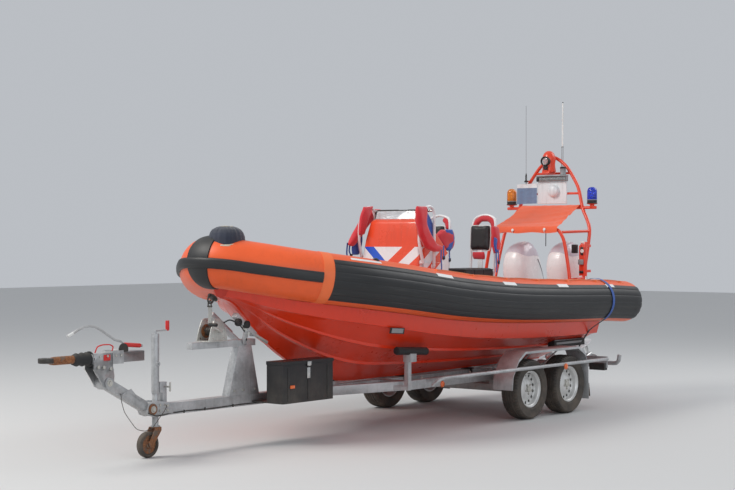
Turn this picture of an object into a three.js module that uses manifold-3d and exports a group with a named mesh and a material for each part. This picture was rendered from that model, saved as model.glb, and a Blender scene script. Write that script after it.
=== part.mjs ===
// Rigid inflatable fireboat on a tandem-axle road trailer.
// Millimetres, +X forward, +Y to port, +Z up. Inside the group `rig` x = 0 is the front axle and
// z = 0 the road. The outer group then puts the origin on the road under the middle of the length.
import * as THREE from "three";
import { mergeVertices } from "three/addons/utils/BufferGeometryUtils.js";
import Module from "manifold-3d";

const wasm = await Module();
wasm.setup();

// Driving dimensions
const GAP = 0.3;                    // left between pieces that touch
const TIP_X = 5680;                 // front of the towing eye
const TRACK = 1858;                 // between the tyres' middles
const AXLE_SPACING = 765;
const TYRE_R = 314;
const RIM_R = 190;
const COLLAR_R = 232;               // the inflated tube
const DECK_Z = 950;
const TRANSOM_X = -1720;            // aft face of the transom
const TRANSOM_TOP = 1080;
const BEAM_Z = 405;                 // middle height of the trailer's main beam
const RAIL_Y = 520;                 // side rails at the axles
const ENGINE_Y = 300;
const ENGINE_TILT = 17;             // degrees, as it is parked
const CONSOLE_X = 1080;             // front edge of the console's top

// Finishes: colour, roughness, metalness
const FINISH = {
  orange: [0xe8451a, 0.45, 0],
  red: [0xd2231c, 0.5, 0],
  black: [0x17181a, 0.7, 0],
  white: [0xf0f0ec, 0.35, 0],
  galvanised: [0x9a9d9f, 0.55, 0.7],
  silver: [0xb9bbbd, 0.4, 0.7],
  grey: [0x6e7072, 0.6, 0.3],
  amber: [0xe87f12, 0.3, 0],
  blue: [0x2a50b8, 0.3, 0],
  cloth: [0xe34a22, 0.9, 0],
  jacket: [0xc9202a, 0.85, 0],
};

const rig = new THREE.Group();

function addPart(name, geometry, finish, group = rig) {
  const [color, roughness, metalness] = FINISH[finish];
  const mesh = new THREE.Mesh(geometry, new THREE.MeshStandardMaterial({ color, roughness, metalness }));
  mesh.name = name;
  group.add(mesh);
  return mesh;
}

const at = (x, y, z) => new THREE.Vector3(x, y, z);
const degrees = THREE.MathUtils.degToRad;
const SIDES = [["port", 1], ["starboard", -1]];

// Solids: join and cut closed meshes
function solidOf(geometry) {
  if (geometry instanceof wasm.Manifold) return geometry;
  const bare = geometry.index ? geometry.clone() : mergeVertices(geometry.clone());
  bare.deleteAttribute("normal");
  bare.deleteAttribute("uv");
  const merged = mergeVertices(bare, 0.01);
  return new wasm.Manifold(new wasm.Mesh({
    numProp: 3,
    vertProperties: new Float32Array(merged.attributes.position.array),
    triVerts: new Uint32Array(merged.index.array),
  }));
}

function geometryOf(solid) {
  const mesh = solid.getMesh();
  const geometry = new THREE.BufferGeometry();
  geometry.setAttribute("position", new THREE.BufferAttribute(mesh.vertProperties, 3));
  geometry.setIndex(new THREE.BufferAttribute(mesh.triVerts, 1));
  return geometry;
}

const join = (...pieces) => pieces.flat().map(solidOf).reduce((all, piece) => all.add(piece));
const cut = (piece, ...tools) =>
  tools.flat().map(solidOf).reduce((rest, tool) => rest.subtract(tool), solidOf(piece));
const joined = (...pieces) => geometryOf(join(...pieces));
// The largest of the bodies that a cut leaves
const largest = (solid) => solid.decompose().reduce((a, b) => (b.volume() > a.volume() ? b : a));

// Plain shapes, placed by their limits or their middle
function block(x0, x1, y0, y1, z0, z1) {
  const geometry = new THREE.BoxGeometry(x1 - x0, y1 - y0, z1 - z0);
  return geometry.translate((x0 + x1) / 2, (y0 + y1) / 2, (z0 + z1) / 2);
}

function rod(from, to, radius, sides = 10, endRadius = radius) {
  const along = to.clone().sub(from);
  const geometry = new THREE.CylinderGeometry(endRadius, radius, along.length(), sides);
  const turn = new THREE.Quaternion().setFromUnitVectors(at(0, 1, 0), along.normalize());
  const middle = from.clone().add(to).multiplyScalar(0.5);
  return geometry.applyQuaternion(turn).translate(middle.x, middle.y, middle.z);
}

function beam(from, to, width, height) {
  const along = to.clone().sub(from);
  const length = along.length();
  const geometry = new THREE.BoxGeometry(length, width, height);
  const forward = along.normalize();
  const side = at(0, 0, 1).cross(forward).normalize();
  const up = forward.clone().cross(side);
  const middle = from.clone().add(to).multiplyScalar(0.5);
  const turn = new THREE.Matrix4().makeBasis(forward, side, up);
  return geometry.applyMatrix4(turn).translate(middle.x, middle.y, middle.z);
}

function pipe(points, radius, steps, sides = 8) {
  const path = new THREE.CatmullRomCurve3(points, false, "catmullrom", 0.35);
  const section = new THREE.Shape();
  section.absarc(0, 0, radius, 0, Math.PI * 2);
  return new THREE.ExtrudeGeometry(section,
    { steps, extrudePath: path, bevelEnabled: false, curveSegments: sides / 2 });
}

// A profile drawn in the X-Z plane and made `width` wide about y
function plate(points, y, width, bevel = 0) {
  const shape = new THREE.Shape(points.map(([x, z]) => new THREE.Vector2(x, z)));
  const options = { depth: width - 2 * bevel, bevelEnabled: bevel > 0, bevelThickness: bevel,
    bevelSize: bevel, bevelOffset: -bevel, bevelSegments: 2 };
  const geometry = new THREE.ExtrudeGeometry(shape, options);
  return geometry.rotateX(Math.PI / 2).translate(0, y + width / 2 - bevel, 0);
}

// A profile of [radius, height] pairs turned about an axis: "x", "y" or "z"
function turned(profile, axis, centre, sides = 24) {
  const geometry = new THREE.LatheGeometry(profile.map(([r, h]) => new THREE.Vector2(r, h)), sides);
  if (axis === "x") geometry.rotateZ(-Math.PI / 2);
  if (axis === "z") geometry.rotateX(Math.PI / 2);
  return geometry.translate(centre.x, centre.y, centre.z);
}

// Rings of equally many points, joined into one closed skin
function loft(rings) {
  const count = rings[0].length;
  const positions = rings.flat().flatMap((p) => [p.x, p.y, p.z]);
  const index = [];
  for (let r = 0; r + 1 < rings.length; r += 1) {
    for (let k = 0; k < count; k += 1) {
      const a = r * count + k;
      const b = r * count + (k + 1) % count;
      index.push(a, b, b + count, a, b + count, a + count);
    }
  }
  const caps = [[rings[0], 0, true], [rings.at(-1), (rings.length - 1) * count, false]];
  for (const [ring, start, flip] of caps) {
    const [u, v] = flatAxes(ring);
    const contour = ring.map((p) => new THREE.Vector2(p[u], p[v]));
    const clockwise = THREE.ShapeUtils.isClockWise(contour);
    const faces = THREE.ShapeUtils.triangulateShape(clockwise ? [...contour].reverse() : contour, []);
    for (const face of faces) {
      const [a, b, c] = face.map((k) => start + (clockwise ? count - 1 - k : k));
      const keep = clockwise !== flip;
      index.push(...(keep ? [a, c, b] : [a, b, c]));
    }
  }
  const geometry = new THREE.BufferGeometry();
  geometry.setAttribute("position", new THREE.Float32BufferAttribute(positions, 3));
  geometry.setIndex(index);
  return outward(geometry);
}

function flatAxes(ring) {
  const box = new THREE.Box3().setFromPoints(ring);
  const size = box.getSize(at(0, 0, 0));
  const order = ["x", "y", "z"].sort((a, b) => size[b] - size[a]);
  return order.slice(0, 2).sort();
}

function outward(geometry) {
  const p = geometry.attributes.position;
  const index = geometry.index.array;
  let volume = 0;
  for (let k = 0; k < index.length; k += 3) {
    const [a, b, c] = [0, 1, 2].map((i) => new THREE.Vector3().fromBufferAttribute(p, index[k + i]));
    volume += a.dot(b.cross(c));
  }
  if (volume < 0) {
    for (let k = 0; k < index.length; k += 3) [index[k + 1], index[k + 2]] = [index[k + 2], index[k + 1]];
  }
  return geometry;
}

// A level ring between an ellipse (power 2) and a rectangle
function roundedRing(x, y, z, halfX, halfY, power, count) {
  const squeeze = (value) => Math.sign(value) * Math.abs(value) ** (2 / power);
  return Array.from({ length: count }, (_, k) => {
    const angle = (k / count) * Math.PI * 2;
    return at(x + halfX * squeeze(Math.cos(angle)), y + halfY * squeeze(Math.sin(angle)), z);
  });
}

// Inflated collar: the tube's middle line from the port tail round the nose
const COLLAR_LINE = [
  // x, y, z
  [-2070, 930, 1168], [-1560, 930, 1194], [-500, 930, 1220], [460, 930, 1258], [1350, 930, 1326],
  [2150, 905, 1420], [2750, 800, 1492], [3180, 590, 1553], [3500, 300, 1620],
];
const NOSE = [3690, 0, 1668];
const COLLAR_STEPS = 50;
const SEAM_STEP = 21;                     // where the bow piece meets the side tubes
const TAIL_LENGTH = 185;                  // tapered end of each tube

function collarCurve() {
  const port = COLLAR_LINE.map(([x, y, z]) => at(x, y, z));
  const starboard = [...COLLAR_LINE].reverse().map(([x, y, z]) => at(x, -y, z));
  return new THREE.CatmullRomCurve3([...port, at(...NOSE), ...starboard], false, "centripetal");
}

function collarSkin(radius) {
  const path = collarCurve();
  const section = new THREE.Shape();
  section.absarc(0, 0, radius, 0, Math.PI * 2);
  const tube = new THREE.ExtrudeGeometry(section,
    { steps: COLLAR_STEPS, extrudePath: path, bevelEnabled: false, curveSegments: 8 });
  const tails = SIDES.map(([, side]) => {
    const [x, y, z] = COLLAR_LINE[0];
    const taper = [[0.98, 0], [0.9, 0.35], [0.7, 0.7], [0.4, 0.92], [0, 1]].map(([r, along]) =>
      [radius * r, TAIL_LENGTH * along]);
    const tail = turned([[0, -60], [radius, -60], ...taper], "x", at(0, 0, 0), 16).rotateZ(Math.PI);
    return tail.translate(x, side * y, z);
  });
  return join(tube, tails);
}

const clearCollar = collarSkin(COLLAR_R + GAP);

// A half space that ends at a seam, ahead of it or behind it
function seamCutter(side, ahead) {
  const path = collarCurve();
  const t = side > 0 ? SEAM_STEP / COLLAR_STEPS : 1 - SEAM_STEP / COLLAR_STEPS;
  const point = path.getPointAt(t);
  const forward = path.getTangentAt(t).multiplyScalar(side);
  const reach = 8000;
  const shift = (reach - GAP) / 2 * (ahead ? 1 : -1);
  const space = new THREE.BoxGeometry(reach, reach, reach).translate(shift, 0, 0);
  return space.rotateZ(Math.atan2(forward.y, forward.x)).translate(point.x, point.y, point.z);
}

function collar() {
  const whole = collarSkin(COLLAR_R);
  const nose = cut(whole, SIDES.map(([, side]) => seamCutter(side, false)));
  addPart("collar_bow", geometryOf(nose), "orange");
  for (const [name, side] of SIDES) {
    const half = cut(whole, block(-4000, 5000, side > 0 ? -1500 : 0, side > 0 ? 0 : 1500, 0, 3000));
    addPart(`collar_${name}`, geometryOf(cut(half, seamCutter(side, true))), "black");
  }
}

// Black rubbing strake round the bow with the upright strip on the nose
function bowStrake() {
  const path = collarCurve();
  const from = SEAM_STEP / COLLAR_STEPS;
  const count = 16;
  const rings = [];
  for (let k = 0; k <= count; k += 1) {
    const t = from + (1 - 2 * from) * (k / count);
    const point = path.getPointAt(t);
    const tangent = path.getTangentAt(t);
    const out = at(-tangent.y, tangent.x, 0).normalize();
    const place = (reach, z) => point.clone().addScaledVector(out, reach).add(at(0, 0, z));
    rings.push([place(COLLAR_R - 30, -48), place(COLLAR_R + 22, -40), place(COLLAR_R + 28, 0),
      place(COLLAR_R + 22, 40), place(COLLAR_R - 30, 48)]);
  }
  const [noseX, , noseZ] = NOSE;
  const sweep = Array.from({ length: 9 }, (_, k) => degrees(-100 + k * 19));
  const outline = sweep.map((angle) => [noseX + 254 * Math.cos(angle), noseZ + 254 * Math.sin(angle)]);
  const rise = plate([...outline, [noseX - 20, noseZ + 100], [noseX - 20, noseZ - 100]], 0, 110, 10);
  addPart("bow_strake", geometryOf(largest(cut(join(loft(rings), rise), clearCollar))), "black");
}

// Black cloth bag with the anchor line, lashed on top of the nose
function bowBag() {
  const [x, y, half] = [3640, 110, 172];
  const rings = [[1750, 1], [1905, 0.94], [1965, 0.72], [1990, 0.36]].map(([z, share]) =>
    roundedRing(x, y, z, half * share, 170 * share, 2.4, 14));
  addPart("bow_bag", geometryOf(largest(cut(loft(rings), clearCollar))), "black");
}

// Hull: V bottom with two lifting strakes and a chine each side, bulwark and deck
const HULL_STATIONS = [
  // x, keel z, chine y, chine z, inner wall y, deck z
  [TRANSOM_X, 492, 800, 820, 640, DECK_Z],
  [-600, 484, 835, 826, 650, DECK_Z],
  [400, 478, 840, 862, 650, DECK_Z],
  [1300, 478, 832, 936, 650, DECK_Z],
  [2000, 494, 790, 1030, 610, DECK_Z],
  [2020, 496, 787, 1033, 608, 1190],
  [2420, 600, 730, 1090, 545, 1230],
  [2800, 780, 620, 1148, 440, 1285],
  [3080, 965, 480, 1205, 310, 1340],
  [3330, 1185, 300, 1275, 150, 1400],
  [3480, 1300, 160, 1335, 60, 1440],
  [3600, 1345, 60, 1362, 20, 1470],
];
const STRAKES = [[0.32, 0.055], [0.64, 0.055]];       // place and width as shares of the half bottom
const DECK_PANELS = [[-1380, -260], [1310, 1930]];    // raised non-slip panels: rear x, front x
const PANEL_TOP = DECK_Z + 8;

function collarAt(x) {
  const path = collarCurve();
  let [low, high] = [0, 0.5];
  for (let k = 0; k < 30; k += 1) {
    const middle = (low + high) / 2;
    if (path.getPoint(middle).x < x) low = middle;
    else high = middle;
  }
  return path.getPoint(low);
}

function hullRing([x, keelZ, chineY, chineZ, innerY, deckZ]) {
  const tube = collarAt(x);
  const half = [[0, keelZ]];
  for (const [share, width] of STRAKES) {
    const y = chineY * share;
    const z = keelZ + (chineZ - keelZ) * share;
    const rise = (chineZ - keelZ) * width;
    half.push([y, z], [y + chineY * width, z], [y + chineY * width, z + rise]);
  }
  half.push([chineY * 0.95, chineZ - 4], [chineY, chineZ], [chineY + 60, tube.z - 150],
    [innerY + 30, tube.z + 40], [innerY, tube.z + 20], [innerY, deckZ]);
  const port = half.map(([y, z]) => at(x, y, z));
  const starboard = half.slice(1).reverse().map(([y, z]) => at(x, -y, z));
  return [...port, ...starboard];
}

const hullBelow = loft(HULL_STATIONS.map(hullRing)).translate(0, 0, -GAP);

function hull() {
  const shell = loft(HULL_STATIONS.map(hullRing));
  const transom = block(TRANSOM_X, TRANSOM_X + 70, -560, 560, DECK_Z - 30, TRANSOM_TOP);
  const foot = block(TRANSOM_X, 1990, -640, 640, 905, DECK_Z);
  const panels = DECK_PANELS.map(([x0, x1]) => block(x0, x1, -480, 480, DECK_Z - 10, PANEL_TOP));
  addPart("hull", geometryOf(cut(join(shell, transom, foot, panels), clearCollar)), "orange");
}

// Helm console: tapered towards the top, with a low screen frame
const CONSOLE_HALF = 365;
const CONSOLE_TOP = 2095;
const SHOULDER_Z = 1790;

const HELM_TILT = degrees(27);            // the column rises towards the seats
const HELM_HUB = at(CONSOLE_X - 490, 0, 1846);
const HELM_COLUMN = at(Math.cos(HELM_TILT), 0, -Math.sin(HELM_TILT));

function consoleBody() {
  const [front, foot] = [CONSOLE_X, DECK_Z + GAP];
  const body = plate([[front + 170, foot], [front + 20, 1700], [front - 30, 2060], [front - 90, CONSOLE_TOP],
    [front - 330, 1960], [front - 520, 1720], [front - 520, foot]], 0, 1);
  const p = body.attributes.position;
  for (let k = 0; k < p.count; k += 1) {
    const narrow = Math.max(0, p.getZ(k) - SHOULDER_Z) * 0.24;
    p.setY(k, Math.sign(p.getY(k)) * (CONSOLE_HALF - narrow));
  }
  const screen = plate([[CONSOLE_X - 60, 2050], [CONSOLE_X - 110, 2175], [CONSOLE_X - 122, 2175],
    [CONSOLE_X - 110, 2050]], 0, 2 * CONSOLE_HALF - 190);
  const columnEnd = HELM_HUB.clone().addScaledVector(HELM_COLUMN, 14 + GAP);
  const dash = rod(columnEnd, columnEnd.clone().addScaledVector(HELM_COLUMN, 110), 34, 12);
  addPart("console", joined(body, screen, dash), "red");
}

function helmWheel() {
  const parts = [turned([[0, -12], [32, -12], [32, 14], [0, 14]], "x", at(0, 0, 0), 12),
    new THREE.TorusGeometry(165, 13, 6, 16).rotateY(Math.PI / 2)];
  for (const angle of [90, 210, 330]) {
    const tip = at(0, 165 * Math.cos(degrees(angle)), 165 * Math.sin(degrees(angle)));
    parts.push(rod(at(0, 0, 0), tip, 9, 6));
  }
  const wheel = addPart("helm_wheel", joined(parts), "black");
  wheel.rotation.y = HELM_TILT;
  wheel.position.copy(HELM_HUB);
}

const HOOP_Y = 390;
const HOOP_FEET = [[870, 1600], [1060, 1640]];                // x, z on the console's sides
const GRAB_RAIL = [872, 2172];                               // x, z of the bar between the hoops

function railHoops(radius) {
  const [[rearX, rearZ], [frontX, frontZ]] = HOOP_FEET;
  return SIDES.map(([, side]) => pipe([[rearX, rearZ], [868, 1800], [866, 2120], [890, 2192], [955, 2212],
    [1030, 2182], [1105, 2050], [1122, 1850], [frontX, frontZ]].map(([x, z]) => at(x, side * HOOP_Y, z)),
  radius, 15, 6));
}

function consoleRails() {
  const [railX, railZ] = GRAB_RAIL;
  const across = rod(at(railX, HOOP_Y, railZ), at(railX, -HOOP_Y, railZ), 14, 6);
  const feet = SIDES.map(([, side]) => HOOP_FEET.flatMap(([x, z]) => [
    rod(at(x, side * (CONSOLE_HALF + GAP), z), at(x, side * HOOP_Y, z), 16, 8),
    rod(at(x, side * (CONSOLE_HALF + GAP), z), at(x, side * (CONSOLE_HALF + 6), z), 30, 8)]));
  addPart("console_rails", joined(railHoops(16), across, feet.flat()), "white");
}

// Twin helm seats
const SEAT_Y = 300;

function seatHoops(radius) {
  return SIDES.map(([, side]) => {
    const y = side * SEAT_Y;
    return pipe([at(-130, y + 150, 1440), at(-170, y + 150, 1980), at(-190, y + 120, 2105), at(-195, y, 2140),
      at(-190, y - 120, 2105), at(-170, y - 150, 1980), at(-130, y - 150, 1440)], radius, 12, 6);
  });
}

function seats() {
  const pod = [[-200, DECK_Z + GAP], [-200, 1420], [-150, 1470], [400, 1470], [400, DECK_Z + GAP]];
  const pods = SIDES.map(([, side]) => plate(pod, side * SEAT_Y, 400, 20));
  const plinth = block(-180, 380, -SEAT_Y, SEAT_Y, DECK_Z + GAP, DECK_Z + 80);
  addPart("seat_frame", joined(pods, seatHoops(15), plinth), "orange");
  for (const [name, side] of SIDES) {
    const cushion = plate([[-110, 1470 + GAP], [-110, 1560], [-90, 1572], [430, 1572], [450, 1555],
      [450, 1495], [430, 1470 + GAP]], side * SEAT_Y, 380, 20);
    const back = plate([[-135, 1750], [-158, 2010], [-145, 2030], [-95, 2030], [-75, 2010], [-60, 1750]],
      side * SEAT_Y, 262, 15);
    const stem = block(-112, -92, side * SEAT_Y - 30, side * SEAT_Y + 30, 1550, 1790);
    addPart(`seat_${name}`, geometryOf(cut(join(cushion, back, stem), seatHoops(15 + GAP))), "black");
  }
}

// Life jackets hung over the rails and seat backs
const JACKETS = [
  // name, x, y, z, half x, half y, half z, how far the top leans forward
  ["rail_starboard", 1000, -432, 1995, 125, 42, 215, -175],
  ["rail_port", 1020, 436, 1980, 130, 45, 235, 110],
  ["seat_starboard", -15, -106, 1875, 178, 43, 130, 0],
  ["seat_port", -115, 482, 1870, 78, 40, 160, 0],
];

function lifeJackets() {
  const clear = [...railHoops(16 + GAP), ...seatHoops(15 + GAP)];
  for (const [name, x, y, z, halfX, halfY, halfZ, lean] of JACKETS) {
    const rings = [-1, -0.75, 0, 0.75, 1].map((share) => {
      const size = 1 - 0.35 * Math.abs(share) ** 3;
      return roundedRing(x + share * lean, y, z + share * halfZ, halfX * size, halfY * size, 3, 10);
    });
    addPart(`life_jacket_${name}`, geometryOf(largest(cut(loft(rings), clear))), "jacket");
  }
}

// Arch over the stern, with its lamps and aerials
const ARCH_R = 20;
const BAR_X = -2030;
const BAR_Z = 2250;
const BAR_R = 18;
const BEACON_Y = 555;
const UPPER_BAR = [-2045, 2420];
const TOP_BAR = [-2075, 2660];
const WHIP_X = -1997;
const WHIP_Y = -330;
const WHIP_R = 5;

function archSide(side, extra) {
  const spread = (x, y, z) => at(x, side * y, z);
  const rear = pipe([spread(-1660, 600, DECK_Z + 20), spread(-1740, 605, 1400), spread(-1930, 580, 1980),
    spread(-2012, 440, 2240), spread(-2055, 350, 2500), spread(-2080, 180, 2740), spread(-2090, 0, 2850)],
    ARCH_R + extra, 14, 6);
  const front = pipe([spread(-1480, 590, DECK_Z + 20), spread(-1490, 575, 1450), spread(-1500, 500, 1850),
    spread(-1500, 430, 1975), spread(-1505, 340, 1992), spread(-1505, 0, 1992)], ARCH_R + extra, 11, 6);
  const sideRod = rod(spread(-1500, 440, 1960), spread(-1930, 580, 1975), ARCH_R - 4 + extra, 6);
  const lowRod = rod(spread(-1490, 576, 1420), spread(-1745, 604, 1430), ARCH_R - 4 + extra, 6);
  const stalk = rod(spread(BAR_X, BEACON_Y, BAR_Z), spread(BAR_X, BEACON_Y, BAR_Z + 40), 26, 10);
  const saucer = rod(spread(BAR_X, BEACON_Y, BAR_Z + 36), spread(BAR_X, BEACON_Y, BAR_Z + 44), 62, 12);
  const feet = [[-1660, 600], [-1480, 590]].map(([x, y]) =>
    rod(spread(x, y, DECK_Z + GAP), spread(x, y, DECK_Z + 30), 34, 8));
  return [rear, front, sideRod, lowRod, stalk, saucer, ...feet];
}

function archFrame(extra) {
  const crossBars = [[BAR_X, BAR_Z, 610, BAR_R], [...UPPER_BAR, 370, 14], [...TOP_BAR, 245, 14]];
  const bars = crossBars.map(([x, z, half, radius]) =>
    rod(at(x, -half, z), at(x, half, z), radius + extra, 8));
  return join(SIDES.flatMap(([, side]) => archSide(side, extra)), bars);
}

const clearArch = archFrame(GAP);

function arch() {
  const shelf = block(-2085, -1900, -50, 50, 2655, 2675);
  const tallWhip = rod(at(-2100, 100, 2400), at(-2140, 100, 3510), 9, 6, 4);
  const shortWhip = rod(at(WHIP_X, WHIP_Y, 2395), at(WHIP_X, WHIP_Y, 3480), WHIP_R, 6, 3);
  const seats = [block(-2110, -2040, 85, 115, 2400, 2430),
    block(-2050, WHIP_X + 3, WHIP_Y - 9, WHIP_Y + 9, 2412, 2430)];
  addPart("arch", joined(archFrame(0), shelf, tallWhip, shortWhip, seats), "red");
}

function archGear() {
  for (const [name, side] of SIDES) {
    const profile = [[0, 0], [58, 0], [60, 40], [56, 45], [56, 150], [44, 182], [0, 195]];
    const beacon = turned(profile, "z", at(BAR_X, side * BEACON_Y, BAR_Z + 44 + GAP), 16);
    addPart(`beacon_${name}`, beacon, side > 0 ? "blue" : "amber");
  }
  const dome = turned([[0, 0], [64, 0], [82, 40], [84, 110], [74, 175], [44, 232], [0, 250]], "z",
    at(-1980, 0, 2675 + GAP), 16);
  const lens = rod(at(-1960, 0, 2800), at(-1875, 0, 2800), 56, 14);
  addPart("searchlight", joined(dome, lens), "red");
  const front = BAR_X + BAR_R + GAP;
  const board = block(front, front + 16, -170, 230, 2300, 2560);
  const lamp = block(front, front + 60, -165, 245, 2560, 2630);
  const puck = turned([[0, 0], [70, 0], [72, 40], [40, 62], [0, 66]], "x", at(front + 12, 60, 2450), 16);
  const [clipX, clipZ] = UPPER_BAR;
  const clips = [-120, 150].map((y) => block(clipX - 4, front + 4, y, y + 40, clipZ - 20, clipZ + 20));
  addPart("arch_board", geometryOf(cut(join(board, lamp, puck, clips), clearArch)), "white");
  const panel = block(-1700, -1640, 645, 688, 1460, 1850);
  const straps = [1500, 1790].map((z) => block(-1870, -1640, 605, 650, z, z + 34));
  addPart("equipment_panel", geometryOf(largest(cut(join(panel, straps), clearArch))), "red");
}

// Folded cloth cover lashed over the arch, sagging between the two bars
function archCover() {
  const rings = [-1, -0.6, 0, 0.6, 1].map((share) => {
    const sag = 26 * (1 - share * share);
    const top = [[-1466, 1950], [-1468, 2020], [-1500, 2046], [-1640, 2112 - sag], [-1850, 2215 - sag],
      [-1990, 2290], [-2046, 2298]];
    const under = [[-2046, 2262], [-2005, 2262], [-1850, 2188 - sag], [-1640, 2084 - sag], [-1530, 2008],
      [-1486, 2006], [-1486, 1950]];
    return [...top, ...under].map(([x, z]) => at(x, share * (x < -1700 ? 385 : 425), z));
  });
  addPart("arch_cover", geometryOf(largest(cut(loft(rings), clearArch))), "cloth");
}

function flag() {
  const face = WHIP_X + WHIP_R + GAP;
  addPart("flag", block(face, face + 5, -460, -170, 2304, 2545), "white");
}

// Outboard engine, drawn upright about its tilt pivot, then tilted
const PIVOT = at(TRANSOM_X - 75, 0, TRANSOM_TOP + 10);
const KINGPIN_X = -60;                    // steering axis behind the tilt pivot
const SHAFT_Z = -735;                     // propeller shaft below the pivot
const PLATE_Z = -560;

function engine(name, side) {
  const face = TRANSOM_X - PIVOT.x - GAP;
  const hook = [[-52, 22], [-52, -260], [face, -260], [face, -9], [148, -9], [148, 8], [10, 22]];
  const arms = [-105, 105].map((y) => plate(hook, y, 26));
  const web = block(face - 30, face, -105, 105, -250, -60);
  const bracket = addPart(`clamp_${name}`, joined(arms, web), "black");
  bracket.position.set(PIVOT.x, side * ENGINE_Y, PIVOT.z);

  const tilting = new THREE.Group();
  tilting.position.set(PIVOT.x, side * ENGINE_Y, PIVOT.z);
  tilting.rotation.y = degrees(ENGINE_TILT);
  rig.add(tilting);

  const swivel = [
    rod(at(0, -92 + GAP, 0), at(0, 92 - GAP, 0), 24, 14),
    block(KINGPIN_X, 12, -70, 70, -22, 22),
    rod(at(KINGPIN_X, 0, -300), at(KINGPIN_X, 0, 30), 36, 14),
    block(KINGPIN_X, -25, -45, 45, -330, 0)];
  addPart(`swivel_${name}`, joined(swivel), "black", tilting);

  const pan = [roundedRing(-195, 0, 36, 160, 105, 3, 12), roundedRing(-195, 0, 72, 190, 120, 3, 12)];
  const housing = [roundedRing(-215, 0, 50, 105, 75, 3, 12), roundedRing(-200, 0, -120, 85, 58, 2.4, 12),
    roundedRing(-205, 0, PLATE_Z + 8, 75, 40, 2.2, 12)];
  const plateRing = roundedRing(-250, 0, PLATE_Z, 200, 90, 2.2, 16);
  const cavitation = loft([plateRing, plateRing.map((p) => p.clone().setZ(PLATE_Z + 16))]);
  const strut = loft([roundedRing(-205, 0, PLATE_Z + 10, 100, 30, 2, 10),
    roundedRing(-215, 0, SHAFT_Z, 95, 22, 2, 10)]);
  const pod = turned([[0, -120], [40, -120], [54, -60], [58, 0], [52, 90], [28, 150], [0, 165]], "x",
    at(-200, 0, SHAFT_Z), 14);
  const skeg = plate([[-130, SHAFT_Z - 20], [-150, SHAFT_Z - 150], [-205, SHAFT_Z - 185],
    [-250, SHAFT_Z - 170], [-290, SHAFT_Z - 20]], 0, 12);
  const steeringArm = rod(at(KINGPIN_X, 0, 30 + GAP), at(KINGPIN_X, 0, 60), 34, 12);
  const leg = joined(loft(pan), loft(housing), cavitation, strut, pod, skeg, steeringArm);
  addPart(`leg_${name}`, leg, "white", tilting);

  const cowl = [
    // z, half length, half width, fore-aft middle
    [72 + GAP, 225, 150, -195], [120, 258, 174, -195], [330, 265, 178, -195], [520, 240, 162, -200],
    [640, 185, 128, -210], [700, 110, 78, -220], [712, 60, 40, -225],
  ];
  const rings = cowl.map(([z, halfX, halfY, x]) => roundedRing(x, 0, z, halfX, halfY, 3, 20));
  addPart(`cowl_${name}`, loft(rings), "white", tilting);

  propeller(name, tilting);
}

function propeller(name, group) {
  const hubX = -375;
  const hub = [[0, -55], [30, -55], [37, 40], [37, 55 - GAP], [0, 55 - GAP]];
  const parts = [turned(hub, "x", at(0, 0, 0), 12)];
  for (const turn of [0, 120, 240]) {
    const blade = new THREE.SphereGeometry(1, 8, 5).scale(8, 50, 64).rotateZ(degrees(28));
    parts.push(blade.translate(0, 0, 90).rotateX(degrees(turn)));
  }
  const part = addPart(`propeller_${name}`, joined(parts), "grey", group);
  part.position.set(hubX, 0, SHAFT_Z);
}

// Trailer's main beam, with the drawbar's ears at its front end and the keel rollers
const BEAM_HALF = 50;
const BEAM_TOP = BEAM_Z + BEAM_HALF;
const BEAM_TAIL = -1610;
const EAR_Y = 55.75;                      // plates each side of the drawbar arm
const EAR_THICK = 12.5;
const KEEL_ROLLERS = [[2100, 474], [900, 440], [-300, 440], [-1150, 440]];       // x, z
const EAR = [[4260, 362], [4260, 448], [4340, 472], [4440, 487], [4510, 484], [4560, 455], [4570, 415],
  [4548, 372], [4490, 352], [4380, 352]];

function chassis() {
  const parts = [block(BEAM_TAIL, 4350, -BEAM_HALF, BEAM_HALF, BEAM_Z - BEAM_HALF, BEAM_TOP)];
  for (const [, side] of SIDES) parts.push(plate(EAR, side * EAR_Y, EAR_THICK));
  for (const [x, z] of KEEL_ROLLERS) {
    parts.push(rod(at(x, -70, z), at(x, 70, z), 34, 10));
    parts.push(block(x - 20, x + 20, -85, -72, 420, z + 18), block(x - 20, x + 20, 72, 85, 420, z + 18));
    parts.push(block(x - 24, x + 24, -85, 85, BEAM_TOP - 10, BEAM_TOP + 7));
  }
  addPart("chassis", geometryOf(cut(join(parts), hullBelow)), "galvanised");
}

// Each side of the frame: side rail, cross members, hull supports and the tubular side guard
const RAIL_Z = 435;
const RAIL_WIDTH = 60;
const RAILS = [
  // x, y, z along the rail
  [2250, 60, BEAM_Z], [1500, RAIL_Y, RAIL_Z], [-1650, RAIL_Y, RAIL_Z],
];
const CROSS_MEMBERS = [
  // x, half length, reach in y, bottom z, top z
  [1625, 25, 645, 400, 440], [1300, 35, RAIL_Y, 400, 455], [-500, 35, RAIL_Y, 400, 455],
  [-1250, 35, RAIL_Y, 400, 455], [-1430, 25, 645, 425, 470], [-1570, 30, RAIL_Y, 400, 470],
];
const GUARD_Y = 1075;
const GUARD_Z = 545;
const GUARD_R = 18;

function guard(spot) {
  const frontBend = pipe([spot(1650, GUARD_Y, GUARD_Z), spot(1710, GUARD_Y - 12, GUARD_Z - 12),
    spot(1740, GUARD_Y - 70, GUARD_Z - 70)], GUARD_R, 4, 6);
  return [rod(spot(1651, GUARD_Y, GUARD_Z), spot(-1480, GUARD_Y, GUARD_Z), GUARD_R, 8), frontBend,
    beam(spot(1200, RAIL_Y, 460), spot(1200, GUARD_Y, GUARD_Z - 6), 50, 30),
    beam(spot(-1430, RAIL_Y, 460), spot(-1430, GUARD_Y, GUARD_Z - 6), 50, 30)];
}

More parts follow.
